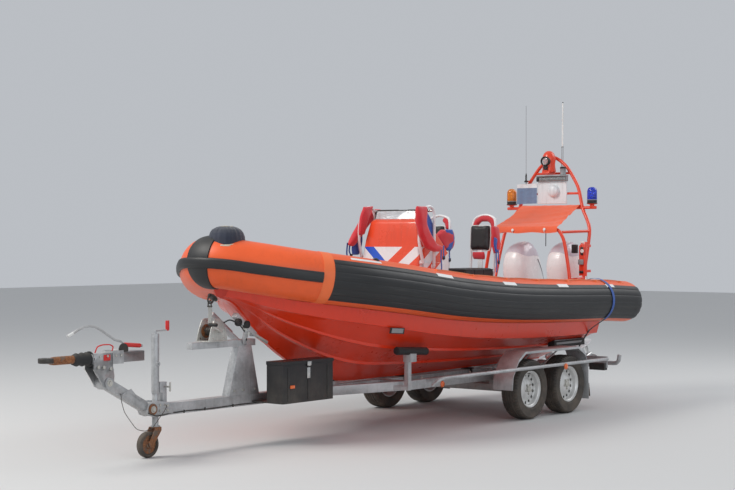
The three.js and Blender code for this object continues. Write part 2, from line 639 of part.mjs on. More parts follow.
// Rear lamp board across the rails' ends, with a lamp on each side and a tube that turns up
const BOARD_X = -1650;
const BOARD_END = 965;

function lampBoard(spot, span) {
  const tube = pipe([spot(-1755, 860, 478), spot(-1755, 1000, 478), spot(-1755, 1052, 492),
    spot(-1755, 1072, 575)], 24, 8, 8);
  return [span(BOARD_X - 30, BOARD_X, 0, BOARD_END, 430, 482),
    span(BOARD_X - 30, BOARD_X, 700, BOARD_END, 480, 556),
    span(BOARD_X - 36, BOARD_X + 30, 760, 950, 405, 478),
    span(-1760, BOARD_X - 20, 862, 902, 462, 494), tube];
}

function hullSupports(spot, span) {
  return [
    span(1595, 1645, 595, 645, 425, 690), span(1570, 1670, 600, 690, 680, 765),
    rod(spot(1380, 660, 772), spot(1850, 660, 800), 38, 10),
    span(-1455, -1405, 595, 645, 425, 705),
    beam(spot(-1640, 640, 726), spot(-1000, 640, 730), 90, 60)];
}

function sideFrame(name, side) {
  const spot = (x, y, z) => at(x, side * y, z);
  const span = (x0, x1, y0, y1, z0, z1) => {
    const [low, high] = [side * y0, side * y1].sort((a, b) => a - b);
    return block(x0, x1, low, high, z0, z1);
  };
  const rails = [0, 1].map((k) => beam(spot(...RAILS[k]), spot(...RAILS[k + 1]), RAIL_WIDTH, 90));
  const members = CROSS_MEMBERS.map(([x, half, reach, low, high]) =>
    span(x - half, x + half, 0, reach, low, high));
  const frame = join(rails, members, hullSupports(spot, span), guard(spot), lampBoard(spot, span));
  const beyond = span(-2000, 5000, -1500, BEAM_HALF + GAP, 0, 2000);
  addPart(`side_frame_${name}`, geometryOf(largest(cut(frame, beyond, hullBelow))), "galvanised");
}

const HUB_Y = TRACK / 2 - 44;             // inner face of the rims' hubs

function axles() {
  for (const [name, x] of [["front", 0], ["rear", -AXLE_SPACING]]) {
    const parts = [block(x - 75, x + 15, -700, 700, 270, 345)];
    for (const [, side] of SIDES) {
      const station = (y) => at(x, side * y, TYRE_R);
      parts.push(beam(at(x - 60, side * 725, 310), at(x, side * 725, TYRE_R), 46, 70));
      parts.push(rod(station(700), station(800), 26, 10), rod(station(765), station(830), 110, 14));
      parts.push(rod(station(820), station(HUB_Y - GAP), 58, 12));
      parts.push(block(x - 60, x + 10, side * RAIL_Y - 28, side * RAIL_Y + 28, 340, RAIL_Z - 45 - GAP));
    }
    addPart(`axle_${name}`, joined(parts), "galvanised");
  }
}

function wheels() {
  const wall = [[RIM_R + GAP, 70], [RIM_R + 8, 84], [235, 96], [288, 98], [306, 86], [TYRE_R, 62]];
  const tyre = [...wall.map(([r, h]) => [r, -h]), ...[...wall].reverse(), [RIM_R + GAP, -70]];
  const rim = [[0, 20], [60, 20], [66, 42], [142, 8], [172, 60], [RIM_R, 78], [RIM_R, -78], [172, -70],
    [150, -20], [62, -44], [0, -44]];
  for (const [axle, x] of [["front", 0], ["rear", -AXLE_SPACING]]) {
    for (const [name, side] of SIDES) {
      const centre = at(x, side * TRACK / 2, TYRE_R);
      const profile = (rows) => rows.map(([r, h]) => [r, h * side]);
      addPart(`tyre_${axle}_${name}`, outwardLathe(profile(tyre), centre, 20), "black");
      addPart(`rim_${axle}_${name}`, outwardLathe(profile(rim), centre, 20), "silver");
    }
  }
}

function outwardLathe(profile, centre, sides) {
  const geometry = turned(profile, "y", centre, sides);
  geometry.deleteAttribute("normal");
  geometry.deleteAttribute("uv");
  return outward(mergeVertices(geometry, 0.01));
}

function mudguards() {
  for (const [name, side] of SIDES) {
    const outer = [[420, 330], [405, 470], [290, 640], [170, 715], [-900, 715], [-1018, 660],
      [-1100, 520], [-1110, 130]];
    const inner = [[-1102, 130], [-1092, 520], [-1012, 652], [-896, 707], [168, 707], [284, 634],
      [397, 466], [412, 330]];
    const skin = plate([...outer, ...inner], side * (TRACK / 2 + 3), 240);
    const lip = [[-1060, 600], [-1012, 652], [-896, 707], [168, 707], [284, 634], [300, 610], [160, 690],
      [-890, 690]];
    const flange = plate(lip, side * (TRACK / 2 + 121), 6);
    const railFace = RAIL_Y + RAIL_WIDTH / 2 + GAP;
    const stays = [140, -350, -880].map((x) => {
      const [low, high] = [railFace, railFace + 8].map((y) => side * y).sort((a, b) => a - b);
      return [block(x - 20, x + 20, low, high, 440, 480),
        beam(at(x, side * (railFace + 6), 460), at(x, side * (TRACK / 2 - 90), 708), 30, 8)];
    });
    addPart(`mudguard_${name}`, joined(skin, flange, stays.flat()), "galvanised");
  }
}

// Winch post with the bow stop, and the winch on it
const ARM_TOP_Z = 960;

function winchPost() {
  const post = plate([[3140, BEAM_TOP + GAP], [3245, 905], [3410, 905], [3540, BEAM_TOP + GAP]], 0, 90);
  const arm = block(3180, 4000, -35, 35, 900, ARM_TOP_Z);
  const rollers = SIDES.map(([, side]) => [
    beam(at(3330, side * 30, 930), at(3420, side * 150, 1065), 34, 50),
    beam(at(3330, side * 150, 1010), at(3580, side * 150, 1195), 60, 44)]);
  addPart("winch_post", geometryOf(cut(join(post, arm, rollers.flat()), hullBelow)), "galvanised");
  const drum = rod(at(3720, -70, 1050), at(3720, 70, 1050), 62, 16);
  const cheek = [[3600, ARM_TOP_Z + GAP], [3640, 1110], [3700, 1165], [3770, 1150], [3840, ARM_TOP_Z + GAP]];
  const cheeks = [-75, 75].map((y) => plate(cheek, y, 10));
  const handle = [
    rod(at(3720, 80, 1050), at(3720, 130, 1050), 12, 8),
    rod(at(3720, 125, 1050), at(3880, 125, 1120), 9, 8),
    rod(at(3880, 125, 1120), at(3880, 220, 1120), 16, 10)];
  const sole = block(3600, 3840, -85, 85, ARM_TOP_Z + GAP, ARM_TOP_Z + 8);
  addPart("winch", joined(drum, cheeks, sole, handle), "grey");
}

// Tool box on the beam's port side, with its hinged lid
const BOX = { x0: 2568, x1: 3272, y0: 258, y1: 456, z0: 385, rim: 735, wall: 6 };
const BOX_LID_H = 32;

function toolbox() {
  const { x0, x1, y0, y1, z0, rim, wall } = BOX;
  const tray = cut(block(x0, x1, y0, y1, z0, rim),
    block(x0 + wall, x1 - wall, y0 + wall, y1 - wall, z0 + wall, rim + 5));
  const shelf = block(x0 + 30, x1 - 30, 50 + GAP, y0 + 10, z0 - 4, z0 + 8);
  addPart("toolbox", joined(tray, shelf), "black");
  const lid = cut(block(x0 - 4, x1 + 4, y0 - 4, y1 + 6, rim + GAP, rim + BOX_LID_H),
    block(x0 + wall, x1 - wall, y0 + wall, y1, rim - 5, rim + BOX_LID_H - wall));
  addPart("toolbox_lid", joined(lid, block(2890, 2950, y1 + 4, y1 + 12, rim - 22, rim + 22)), "black");
}

// Jockey wheel on its leg, between the beam's end plates
const JOCKEY_R = 112;
const JOCKEY_Y = -15;
const SWIVEL_X = 4400;
const TRAIL = 90;
const FORK_TOP = 258;

function jockey() {
  const onLeg = (z, x = 0) => at(SWIVEL_X + x, JOCKEY_Y, z);
  const leg = cut(rod(onLeg(545), onLeg(1060), 34, 16), rod(onLeg(500), onLeg(1040), 28, 16));
  const clamp = [block(4290, 4340, JOCKEY_Y - 28, JOCKEY_Y + 28, BEAM_TOP + GAP, 560),
    block(4290, 4369, JOCKEY_Y - 28, JOCKEY_Y + 28, 550, 640)];
  const crank = [rod(onLeg(1055), onLeg(1090), 12, 10), rod(onLeg(1085), onLeg(1085, -150), 8, 8),
    rod(onLeg(1080, -145), onLeg(1170, -145), 16, 10)];
  addPart("jockey_leg", joined(leg, clamp, crank), "galvanised");
  const foot = FORK_TOP + GAP;
  const tube = joined(rod(onLeg(foot), onLeg(900), 28 - GAP, 16), rod(onLeg(foot), onLeg(268), 40, 16));
  addPart("jockey_tube", tube, "galvanised");
  const trail = SWIVEL_X + TRAIL;
  const cheek = [[SWIVEL_X - 34, FORK_TOP], [SWIVEL_X + 34, FORK_TOP], [trail + 26, 125], [trail + 10, 88],
    [trail - 22, 92], [SWIVEL_X - 34, 225]];
  const cheeks = [-40, 40].map((y) => plate(cheek, JOCKEY_Y + y, 6));
  const crown = block(SWIVEL_X - 34, SWIVEL_X + 34, JOCKEY_Y - 43, JOCKEY_Y + 43, FORK_TOP - 8, FORK_TOP);
  const axle = rod(at(trail, JOCKEY_Y - 43, JOCKEY_R), at(trail, JOCKEY_Y + 43, JOCKEY_R), 9, 12);
  addPart("jockey_fork", joined(cheeks, crown, axle), "grey");
  const bore = 9 + 2 * GAP;
  const half = [[bore, 30], [32, 30], [34, 14], [78, 14], [82, 28], [104, 28], [JOCKEY_R, 14]];
  const wheel = [...half.map(([r, h]) => [r, -h]), ...[...half].reverse(), [bore, -30]];
  addPart("jockey_wheel", outwardLathe(wheel, at(trail, JOCKEY_Y, JOCKEY_R), 16), "black");
}

// Height-adjustable drawbar arm and the overrun coupling head
const ARM_FOOT = at(4505, 0, 420);
const ARM_TOP = at(5000, 0, 680);
const EYE_R = 62;
const EYE_BORE_R = 26;

function drawbarArm() {
  const hubs = [ARM_FOOT, ARM_TOP].map(({ x, z }) => rod(at(x, -49.2, z), at(x, 49.2, z), 60, 18));
  const bar = beam(at(4555, 0, 446), at(4950, 0, 654), 70, 90);
  addPart("drawbar_arm", joined(hubs, bar), "galvanised");
}

function couplingHead() {
  const cheek = [[4945, 650], [5000, 622], [5060, 650], [5165, 800], [5165, 850], [4960, 850], [4940, 740]];
  const fork = SIDES.map(([, side]) => plate(cheek, side * EAR_Y, EAR_THICK));
  const housing = [block(4600, 5170, -62, 62, 845, 930), block(4840, 4960, -66, 66, 835, 945)];
  const folds = [[0, 0], [50, 0], [58, 25], [46, 50], [57, 75], [45, 105], [54, 135], [40, 170], [0, 170]];
  const bellows = turned(folds, "x", at(5168, 0, 888), 12);
  const shaft = rod(at(5330, 0, 892), at(5600, 0, 898), 34, 14, 15);
  const inEye = (z) => at(TIP_X - EYE_R, 0, z);
  const eye = cut(rod(inEye(880), inEye(916), EYE_R, 24), rod(inEye(860), inEye(930), EYE_BORE_R, 18));
  const lever = [
    pipe([at(4830, 30, 940), at(4800, 30, 1010), at(4900, 30, 1030), at(5120, 30, 1150),
      at(5260, 30, 1150), at(5420, 30, 1085)], 11, 12, 6),
    rod(at(4820, 30, 988), at(4600, 30, 970), 17, 10, 12), block(4800, 4860, 15, 45, 925, 960)];
  addPart("coupling_head", joined(fork, housing, bellows, shaft, eye, lever), "galvanised");
}

// Breakaway cable: out of the ear's face, in a loop under the drawbar, to the arm's port face
const CABLE_R = 3;
const CABLE_LINE = [
  // x, y, z
  [4362, EAR_Y + EAR_THICK / 2 + GAP, 448], [4362, 76, 448], [4370, 92, 435], [4410, 104, 398],
  [4497, 121, 333], [4542, 130, 300], [4577, 132, 273], [4658, 130, 255], [4745, 120, 280],
  [4810, 104, 361], [4848, 84, 429], [4866, 68, 514], [4862, 58, 560], [4860, 48, 578],
  [4860, 35 + GAP, 578],
];

function breakawayCable() {
  const route = pipe(CABLE_LINE.map(([x, y, z]) => at(x, y, z)), CABLE_R, 64, 8);
  addPart("breakaway_cable", route, "black");
}

function build() {
  collar();
  bowStrake();
  bowBag();
  hull();
  consoleBody();
  helmWheel();
  consoleRails();
  seats();
  lifeJackets();
  arch();
  archGear();
  archCover();
  flag();
  for (const [name, side] of SIDES) engine(name, side);
  chassis();
  for (const [name, side] of SIDES) sideFrame(name, side);
  axles();
  wheels();
  mudguards();
  winchPost();
  toolbox();
  jockey();
  drawbarArm();
  couplingHead();
  breakawayCable();
}

build();

const span = new THREE.Box3().setFromObject(rig, true);
rig.position.x = -(span.min.x + span.max.x) / 2;

const fireboat = new THREE.Group();
fireboat.add(rig);

export default fireboat;
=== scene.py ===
# %% [markdown]
# # A fireboat on its road trailer
# This lesson dresses a finished construction model: a rigid inflatable boat with two outboard
# engines, standing on a tandem-axle trailer. The construction model holds every size and joint.
# Here each visible surface is made: inflated tubes, gelcoat, upholstery, zinc, rubber and cloth.
# Lengths are metres. +X points to the bow, +Y to port and +Z up, and z = 0 is the road.

# %% Load the construction model
import math

import bpy
from mathutils import Matrix, Vector, noise as ripple


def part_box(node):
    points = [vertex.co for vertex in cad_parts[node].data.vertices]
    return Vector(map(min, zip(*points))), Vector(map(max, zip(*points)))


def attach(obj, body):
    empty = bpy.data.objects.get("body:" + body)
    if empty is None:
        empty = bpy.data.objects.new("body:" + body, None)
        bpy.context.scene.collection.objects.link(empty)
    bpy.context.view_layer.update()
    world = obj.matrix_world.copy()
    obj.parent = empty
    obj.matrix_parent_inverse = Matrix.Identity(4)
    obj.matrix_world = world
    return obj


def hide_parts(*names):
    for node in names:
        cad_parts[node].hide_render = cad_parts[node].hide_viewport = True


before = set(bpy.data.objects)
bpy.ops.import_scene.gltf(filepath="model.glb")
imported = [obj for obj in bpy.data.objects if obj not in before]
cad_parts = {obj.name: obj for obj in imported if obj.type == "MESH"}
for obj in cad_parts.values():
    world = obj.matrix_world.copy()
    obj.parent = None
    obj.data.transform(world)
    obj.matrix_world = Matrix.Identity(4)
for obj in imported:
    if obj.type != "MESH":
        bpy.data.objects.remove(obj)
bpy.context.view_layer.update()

# %% [markdown]
# Sizes along the boat are measured from the front axle, as a trailer maker would chalk them
# on the floor. The axle's place in the model is read from the front wheel, so that `at` can
# turn workshop sizes into places in the model.

# %% Where things are
low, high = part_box("tyre_front_port")
AXLE_X = (low.x + high.x) / 2
SIDES = {"port": 1, "starboard": -1}
DECK_Z = 0.95
TRACK = 1.858
TYRE_R = 0.314


def at(x, y, z):
    return Vector((x + AXLE_X, y, z))


def side_span(sign, inner, outer):
    """The lower and the upper y of something between inner and outer on one side."""
    return sorted((sign * inner, sign * outer))


def circle(count):
    """Evenly spaced angles round a circle."""
    return [2 * math.pi * k / count for k in range(count)]


print("front axle at x =", round(AXLE_X, 4))

# %% [markdown]
# Blender's operators act on what is selected, so every step starts by selecting one thing
# only. `keep` is how each piece is finished: its place goes into its mesh, it gets its name,
# its finish and the body of the model that carries it.

# %% Selecting and keeping pieces
FINISHES = {}


def only(*pieces):
    if bpy.context.object and bpy.context.object.mode != "OBJECT":
        bpy.ops.object.mode_set(mode="OBJECT")
    bpy.ops.object.select_all(action="DESELECT")
    for piece in pieces:
        piece.select_set(True)
    bpy.context.view_layer.objects.active = pieces[-1]
    return pieces[-1]


def settle(piece):
    only(piece)
    bpy.ops.object.transform_apply(location=True, rotation=True, scale=True)


def smooth(piece, angle=40):
    only(piece)
    bpy.ops.object.shade_smooth_by_angle(angle=math.radians(angle))


def keep(piece, name, finish, body="root", stands_for=(), angle=40):
    settle(piece)
    smooth(piece, angle)
    piece.name = piece.data.name = name
    material, slot = FINISHES[finish]
    piece.data.materials.clear()
    piece.data.materials.append(material)
    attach(piece, body)
    if stands_for:
        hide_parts(*([stands_for] if isinstance(stands_for, str) else stands_for))
    return piece


def modify(piece, kind, **settings):
    only(piece)
    modifier = piece.modifiers.new(kind.title(), kind)
    for key, value in settings.items():
        setattr(modifier, key, value)
    bpy.ops.object.modifier_apply(modifier=modifier.name)


def join(name, pieces):
    only(*pieces)
    bpy.ops.object.join()
    bpy.context.object.name = name
    return bpy.context.object


print("helpers ready")

# %% [markdown]
# Most of a boat is curved skin. A flat grid has its rows and columns in order, so it can be
# laid over rows of computed points, like a net over a plug in a boatyard. Its UV map is then
# set in metres along and across, so that weave and seams come out at their real size.

# %% A net laid over rows of points
def lengths(points):
    run, total = [0.0], 0.0
    for a, b in zip(points, points[1:]):
        total += (b - a).length
        run.append(total)
    return run


def skin(rows, closed=False, caps=False):
    """rows: lists of equally many points. closed joins each row's end to its start."""
    rows = [list(row) + [row[0]] if closed else list(row) for row in rows]
    across, along = len(rows[0]), len(rows)
    bpy.ops.mesh.primitive_grid_add(x_subdivisions=across - 1, y_subdivisions=along - 1, size=1)
    piece = bpy.context.object
    mesh = piece.data
    mesh.vertices.foreach_set("co", [c for row in rows for point in row for c in point])
    middle, edge = rows[along // 2], [row[0] for row in rows]
    u, v = lengths(edge), lengths(middle)
    for loop, uv in zip(mesh.loops, mesh.uv_layers.active.data):
        uv.uv = (u[loop.vertex_index // across], v[loop.vertex_index % across])
    tidy(piece, caps)
    return piece


def tidy(piece, caps=False, merge=0.0002):
    """Merge doubled points, close open ends if asked, and turn every face outwards."""
    only(piece)
    bpy.ops.object.mode_set(mode="EDIT")
    bpy.ops.mesh.select_all(action="SELECT")
    bpy.ops.mesh.remove_doubles(threshold=merge)
    if caps:
        bpy.ops.mesh.select_all(action="SELECT")
        bpy.ops.mesh.fill_holes(sides=0)
    bpy.ops.mesh.select_all(action="SELECT")
    bpy.ops.mesh.normals_make_consistent(inside=False)
    bpy.ops.object.mode_set(mode="OBJECT")


trial = skin([[Vector((i, j, 0)) for i in range(3)] for j in range(4)])
print("trial net:", len(trial.data.vertices), "points,", len(trial.data.polygons), "faces")
bpy.data.objects.remove(trial)

# %% [markdown]
# # Finishes
# No real surface is one flat colour. What they share is made once, as node groups: slow
# unevenness of tone, road dust that can also paint light on top faces, rain streaks, rust, a fine
# grain and a woven cloth. Each material places the groups it needs with its own values and keeps
# its own shader.

# %% Small helpers for node trees
def node(tree, kind, inputs=None, **settings):
    made = tree.nodes.new("ShaderNode" + kind)
    for key, value in settings.items():
        setattr(made, key, value)
    for key, value in (inputs or {}).items():
        if isinstance(value, bpy.types.NodeSocket):
            tree.links.new(value, made.inputs[key])
        else:
            made.inputs[key].default_value = value
    return made


def math_node(tree, operation, a, b, clamp=False):
    return node(tree, "Math", {0: a, 1: b}, operation=operation, use_clamp=clamp).outputs[0]


def ramp(tree, value, low, high, to_low=0.0, to_high=1.0):
    made = node(tree, "MapRange", {"Value": value, "From Min": low, "From Max": high,
                                   "To Min": to_low, "To Max": to_high}, clamp=True)
    return made.outputs["Result"]


def mix(tree, factor, a, b):
    made = node(tree, "Mix", data_type="RGBA")
    for socket, value in ((made.inputs[0], factor), (made.inputs[6], a), (made.inputs[7], b)):
        if isinstance(value, bpy.types.NodeSocket):
            tree.links.new(value, socket)
        else:
            socket.default_value = value
    return made.outputs[2]


KINDS = {"vector": "NodeSocketVector", "color": "NodeSocketColor", "float": "NodeSocketFloat"}


def new_group(name, takes, gives):
    """takes and gives: {socket name: kind}. Returns the tree and its two ends."""
    tree = bpy.data.node_groups.new(name, "ShaderNodeTree")
    for sockets, way in ((takes, "INPUT"), (gives, "OUTPUT")):
        for label, kind in sockets.items():
            tree.interface.new_socket(label, in_out=way, socket_type=KINDS[kind])
    start, end = tree.nodes.new("NodeGroupInput"), tree.nodes.new("NodeGroupOutput")
    return tree, start.outputs, end.inputs


def use(tree, name, **inputs):
    made = node(tree, "Group", node_tree=bpy.data.node_groups[name])
    for key, value in inputs.items():
        socket = made.inputs[key.replace("_", " ")]
        if isinstance(value, bpy.types.NodeSocket):
            tree.links.new(value, socket)
        else:
            socket.default_value = value
    return made.outputs


def noise(tree, vector, scale, detail=3.0, rough=0.55):
    made = node(tree, "TexNoise", {"Vector": vector, "Scale": scale, "Detail": detail,
                                   "Roughness": rough})
    return made.outputs[0]


def stretched(tree, vector, scale):
    return node(tree, "Mapping", {"Vector": vector, "Scale": scale}).outputs[0]


print("node helpers ready")

# %% [markdown]
# Uneven tone is what the eye reads first: paint, rubber and cloth all fade in patches. Two
# sizes of noise lift and drop the brightness of whatever colour comes in.

# %% Group: uneven tone
def build_uneven():
    tree, take, give = new_group("Uneven tone",
                                 {"Vector": "vector", "Color": "color", "Scale": "float",
                                  "Amount": "float"}, {"Color": "color", "Mask": "float"})
    coarse = noise(tree, take["Vector"], take["Scale"])
    fine = noise(tree, take["Vector"], math_node(tree, "MULTIPLY", take["Scale"], 9.0), 5.0)
    both = math_node(tree, "ADD", math_node(tree, "MULTIPLY", coarse, 0.7),
                     math_node(tree, "MULTIPLY", fine, 0.3))
    swing = ramp(tree, both, 0.32, 0.68, -1.0, 1.0)
    value = math_node(tree, "ADD", math_node(tree, "MULTIPLY", swing, take["Amount"]), 1.0)
    shifted = node(tree, "HueSaturation", {"Value": value, "Color": take["Color"]})
    tree.links.new(shifted.outputs[0], give["Color"])
    tree.links.new(both, give["Mask"])


build_uneven()
print("group:", "Uneven tone")

# %% [markdown]
# Dust settles on what faces up and is thrown on what is near the road. The mask adds the two,
# broken up by noise, and mixes the dust's colour over the surface's own. On the black tube cover
# the up-facing part is also painted light: it lightens the tops as light falling on them would.

# %% Group: road dust, and painted light on top faces
def build_dust():
    tree, take, give = new_group("Road dust and top light",
                                 {"Vector": "vector", "Color": "color", "Dust": "color",
                                  "Height": "float", "Low": "float", "Top": "float"},
                                 {"Color": "color", "Mask": "float"})
    height = node(tree, "SeparateXYZ", {0: take["Vector"]}).outputs["Z"]
    near = node(tree, "MapRange", {"Value": height, "From Min": take["Height"], "From Max": 0.0},
                clamp=True).outputs["Result"]
    facing = node(tree, "SeparateXYZ", {0: node(tree, "NewGeometry").outputs["Normal"]})
    # Up-facing mask: settled dust, and on the black tube cover also a painted highlight where light
    # falls on the top.
    up = ramp(tree, facing.outputs["Z"], 0.35, 1.0)
    patches = ramp(tree, noise(tree, take["Vector"], 7.0, 6.0, 0.65), 0.38, 0.72)
    total = math_node(tree, "ADD", math_node(tree, "MULTIPLY", near, take["Low"]),
                      math_node(tree, "MULTIPLY", up, take["Top"]))
    mask = math_node(tree, "MULTIPLY", total,
                     math_node(tree, "ADD", math_node(tree, "MULTIPLY", patches, 0.75), 0.25), True)
    tree.links.new(mix(tree, mask, take["Color"], take["Dust"]), give["Color"])
    tree.links.new(mask, give["Mask"])


build_dust()
print("group:", "Road dust and top light")

# %% [markdown]
# Rain leaves streaks: noise that is long in height and narrow across. Rust starts in spots,
# so its noise is cut off sharply, with a soft brown rim.

# %% Groups: rain streaks and rust
def build_streaks():
    tree, take, give = new_group("Rain streaks",
                                 {"Vector": "vector", "Color": "color", "Stain": "color",
                                  "Amount": "float"}, {"Color": "color", "Mask": "float"})
    thin = noise(tree, stretched(tree, take["Vector"], (26.0, 26.0, 1.6)), 1.0, 4.0, 0.6)
    patch = noise(tree, take["Vector"], 2.2, 2.0)
    mask = math_node(tree, "MULTIPLY", ramp(tree, thin, 0.5, 0.72),
                     ramp(tree, patch, 0.4, 0.62))
    mask = math_node(tree, "MULTIPLY", mask, take["Amount"], True)
    tree.links.new(mix(tree, mask, take["Color"], take["Stain"]), give["Color"])
    tree.links.new(mask, give["Mask"])


def build_rust():
    tree, take, give = new_group("Rust",
                                 {"Vector": "vector", "Color": "color", "Spread": "float"},
                                 {"Color": "color", "Mask": "float"})
    spots = noise(tree, take["Vector"], 19.0, 8.0, 0.68)
    edge = math_node(tree, "SUBTRACT", 0.78, math_node(tree, "MULTIPLY", take["Spread"], 0.5))
    mask = node(tree, "MapRange", {"Value": spots, "From Min": edge,
                                   "From Max": math_node(tree, "ADD", edge, 0.09)}, clamp=True)
    tint = mix(tree, ramp(tree, noise(tree, take["Vector"], 70.0), 0.35, 0.65),
               (0.16, 0.052, 0.018, 1), (0.32, 0.13, 0.05, 1))
    tree.links.new(mix(tree, mask.outputs["Result"], take["Color"], tint), give["Color"])
    tree.links.new(mask.outputs["Result"], give["Mask"])


build_streaks()
build_rust()
print("groups:", "Rain streaks", "Rust")

# %% [markdown]
# Grain is bump only: moulded plastic, cast paint and coated rubber are never mirror smooth.
# Cloth is two waves that cross, read from the UV map in metres, so the threads run with the
# piece and keep their size. Hot-dip zinc has crystals, which are cells of different greys.

# %% Groups: grain, woven cloth and zinc
def build_grain():
    tree, take, give = new_group("Grain", {"Vector": "vector", "Scale": "float",
                                           "Depth": "float"}, {"Normal": "vector"})
    fine = noise(tree, take["Vector"], take["Scale"], 4.0, 0.6)
    bump = node(tree, "Bump", {"Strength": take["Depth"], "Distance": 0.002, "Height": fine})
    tree.links.new(bump.outputs[0], give["Normal"])


def build_weave():
    tree, take, give = new_group("Woven cloth",
                                 {"Vector": "vector", "Threads": "float", "Depth": "float"},
                                 {"Normal": "vector", "Mask": "float"})
    parts = node(tree, "SeparateXYZ", {0: take["Vector"]})
    turn = math_node(tree, "MULTIPLY", take["Threads"], 2 * math.pi)
    warp = math_node(tree, "SINE", math_node(tree, "MULTIPLY", parts.outputs["X"], turn), 0.0)
    weft = math_node(tree, "SINE", math_node(tree, "MULTIPLY", parts.outputs["Y"], turn), 0.0)
    cross = math_node(tree, "MULTIPLY", warp, weft)
    folds = noise(tree, take["Vector"], 9.0, 4.0, 0.6)
    height = math_node(tree, "ADD", math_node(tree, "MULTIPLY", cross, 0.15), folds)
    bump = node(tree, "Bump", {"Strength": take["Depth"], "Distance": 0.004, "Height": height})
    tree.links.new(bump.outputs[0], give["Normal"])
    tree.links.new(ramp(tree, folds, 0.35, 0.65), give["Mask"])


def build_zinc():
    tree, take, give = new_group("Zinc crystals", {"Vector": "vector", "Color": "color"},
                                 {"Color": "color", "Roughness": "float"})
    cells = node(tree, "TexVoronoi", {"Vector": take["Vector"], "Scale": 55.0,
                                      "Randomness": 1.0})
    tone = node(tree, "SeparateColor", {0: cells.outputs["Color"]}).outputs[0]
    weather = noise(tree, take["Vector"], 3.5, 5.0, 0.6)
    value = math_node(tree, "ADD", ramp(tree, tone, 0.0, 1.0, -0.07, 0.07),
                      ramp(tree, weather, 0.3, 0.7, 0.78, 1.18))
    shifted = node(tree, "HueSaturation", {"Value": value, "Color": take["Color"]})
    tree.links.new(shifted.outputs[0], give["Color"])
    rough = math_node(tree, "ADD", ramp(tree, tone, 0.0, 1.0, 0.0, 0.14),
                      ramp(tree, weather, 0.3, 0.7, 0.36, 0.52))
    tree.links.new(rough, give["Roughness"])


build_grain()
build_weave()
build_zinc()
print("groups:", "Grain", "Woven cloth", "Zinc crystals")

# %% [markdown]
# `finish` makes one material. It gives back the tree, the shader and the two kinds of place
# that a pattern can be read from: Object coordinates, which are metres in the model, and the
# piece's own UV map, which follows its skin.

# %% Starting a material
def finish(name, slot=None, metallic=0.0, coat=0.0, coat_rough=0.1, sheen=0.0):
    material = bpy.data.materials.new(name)
    material.use_nodes = True
    tree = material.node_tree
    shader = tree.nodes["Principled BSDF"]
    shader.inputs["Metallic"].default_value = metallic
    shader.inputs["Coat Weight"].default_value = coat
    shader.inputs["Coat Roughness"].default_value = coat_rough
    shader.inputs["Sheen Weight"].default_value = sheen
    places = node(tree, "TexCoord").outputs
    FINISHES[name] = (material, slot)
    return tree, shader, places["Object"], places["UV"]


def feed(tree, shader, **sockets):
    """Wire or set the shader's inputs: Base_Color, Roughness, Normal and so on."""
    for key, value in sockets.items():
        socket = shader.inputs[key.replace("_", " ")]
        if isinstance(value, bpy.types.NodeSocket):
            tree.links.new(value, socket)
        else:
            socket.default_value = value


ROAD_DUST_AND_TOP_LIGHT = (0.30, 0.26, 0.21, 1)
DARK_STAIN = (0.035, 0.03, 0.027, 1)


def paint(name, color, slot, rough, coat, uneven, dust, top, streak, grain):
    """A coated, moulded or painted surface, with tone, streaks, dust and a fine grain."""
    tree, shader, place, _ = finish(name, slot, coat=coat)
    tone = use(tree, "Uneven tone", Vector=place, Color=(*color, 1), Scale=1.7, Amount=uneven)
    rain = use(tree, "Rain streaks", Vector=place, Color=tone["Color"], Stain=DARK_STAIN,
               Amount=streak)
    dust_and_top_light = use(tree, "Road dust and top light", Vector=place, Color=rain["Color"], Dust=ROAD_DUST_AND_TOP_LIGHT,
                Height=0.75, Low=dust, Top=top)
    roughness = math_node(tree, "ADD", ramp(tree, tone["Mask"], 0.3, 0.7, rough - 0.06,
                                            rough + 0.08),
                          math_node(tree, "MULTIPLY", dust_and_top_light["Mask"], 0.35), True)
    grained = use(tree, "Grain", Vector=place, Scale=grain[0], Depth=grain[1])
    feed(tree, shader, Base_Color=dust_and_top_light["Color"], Roughness=roughness, Normal=grained["Normal"])


print("finish and paint ready")

# %% [markdown]
# The painted and moulded finishes differ by colour, gloss and dirt only, so they come from one
# table.

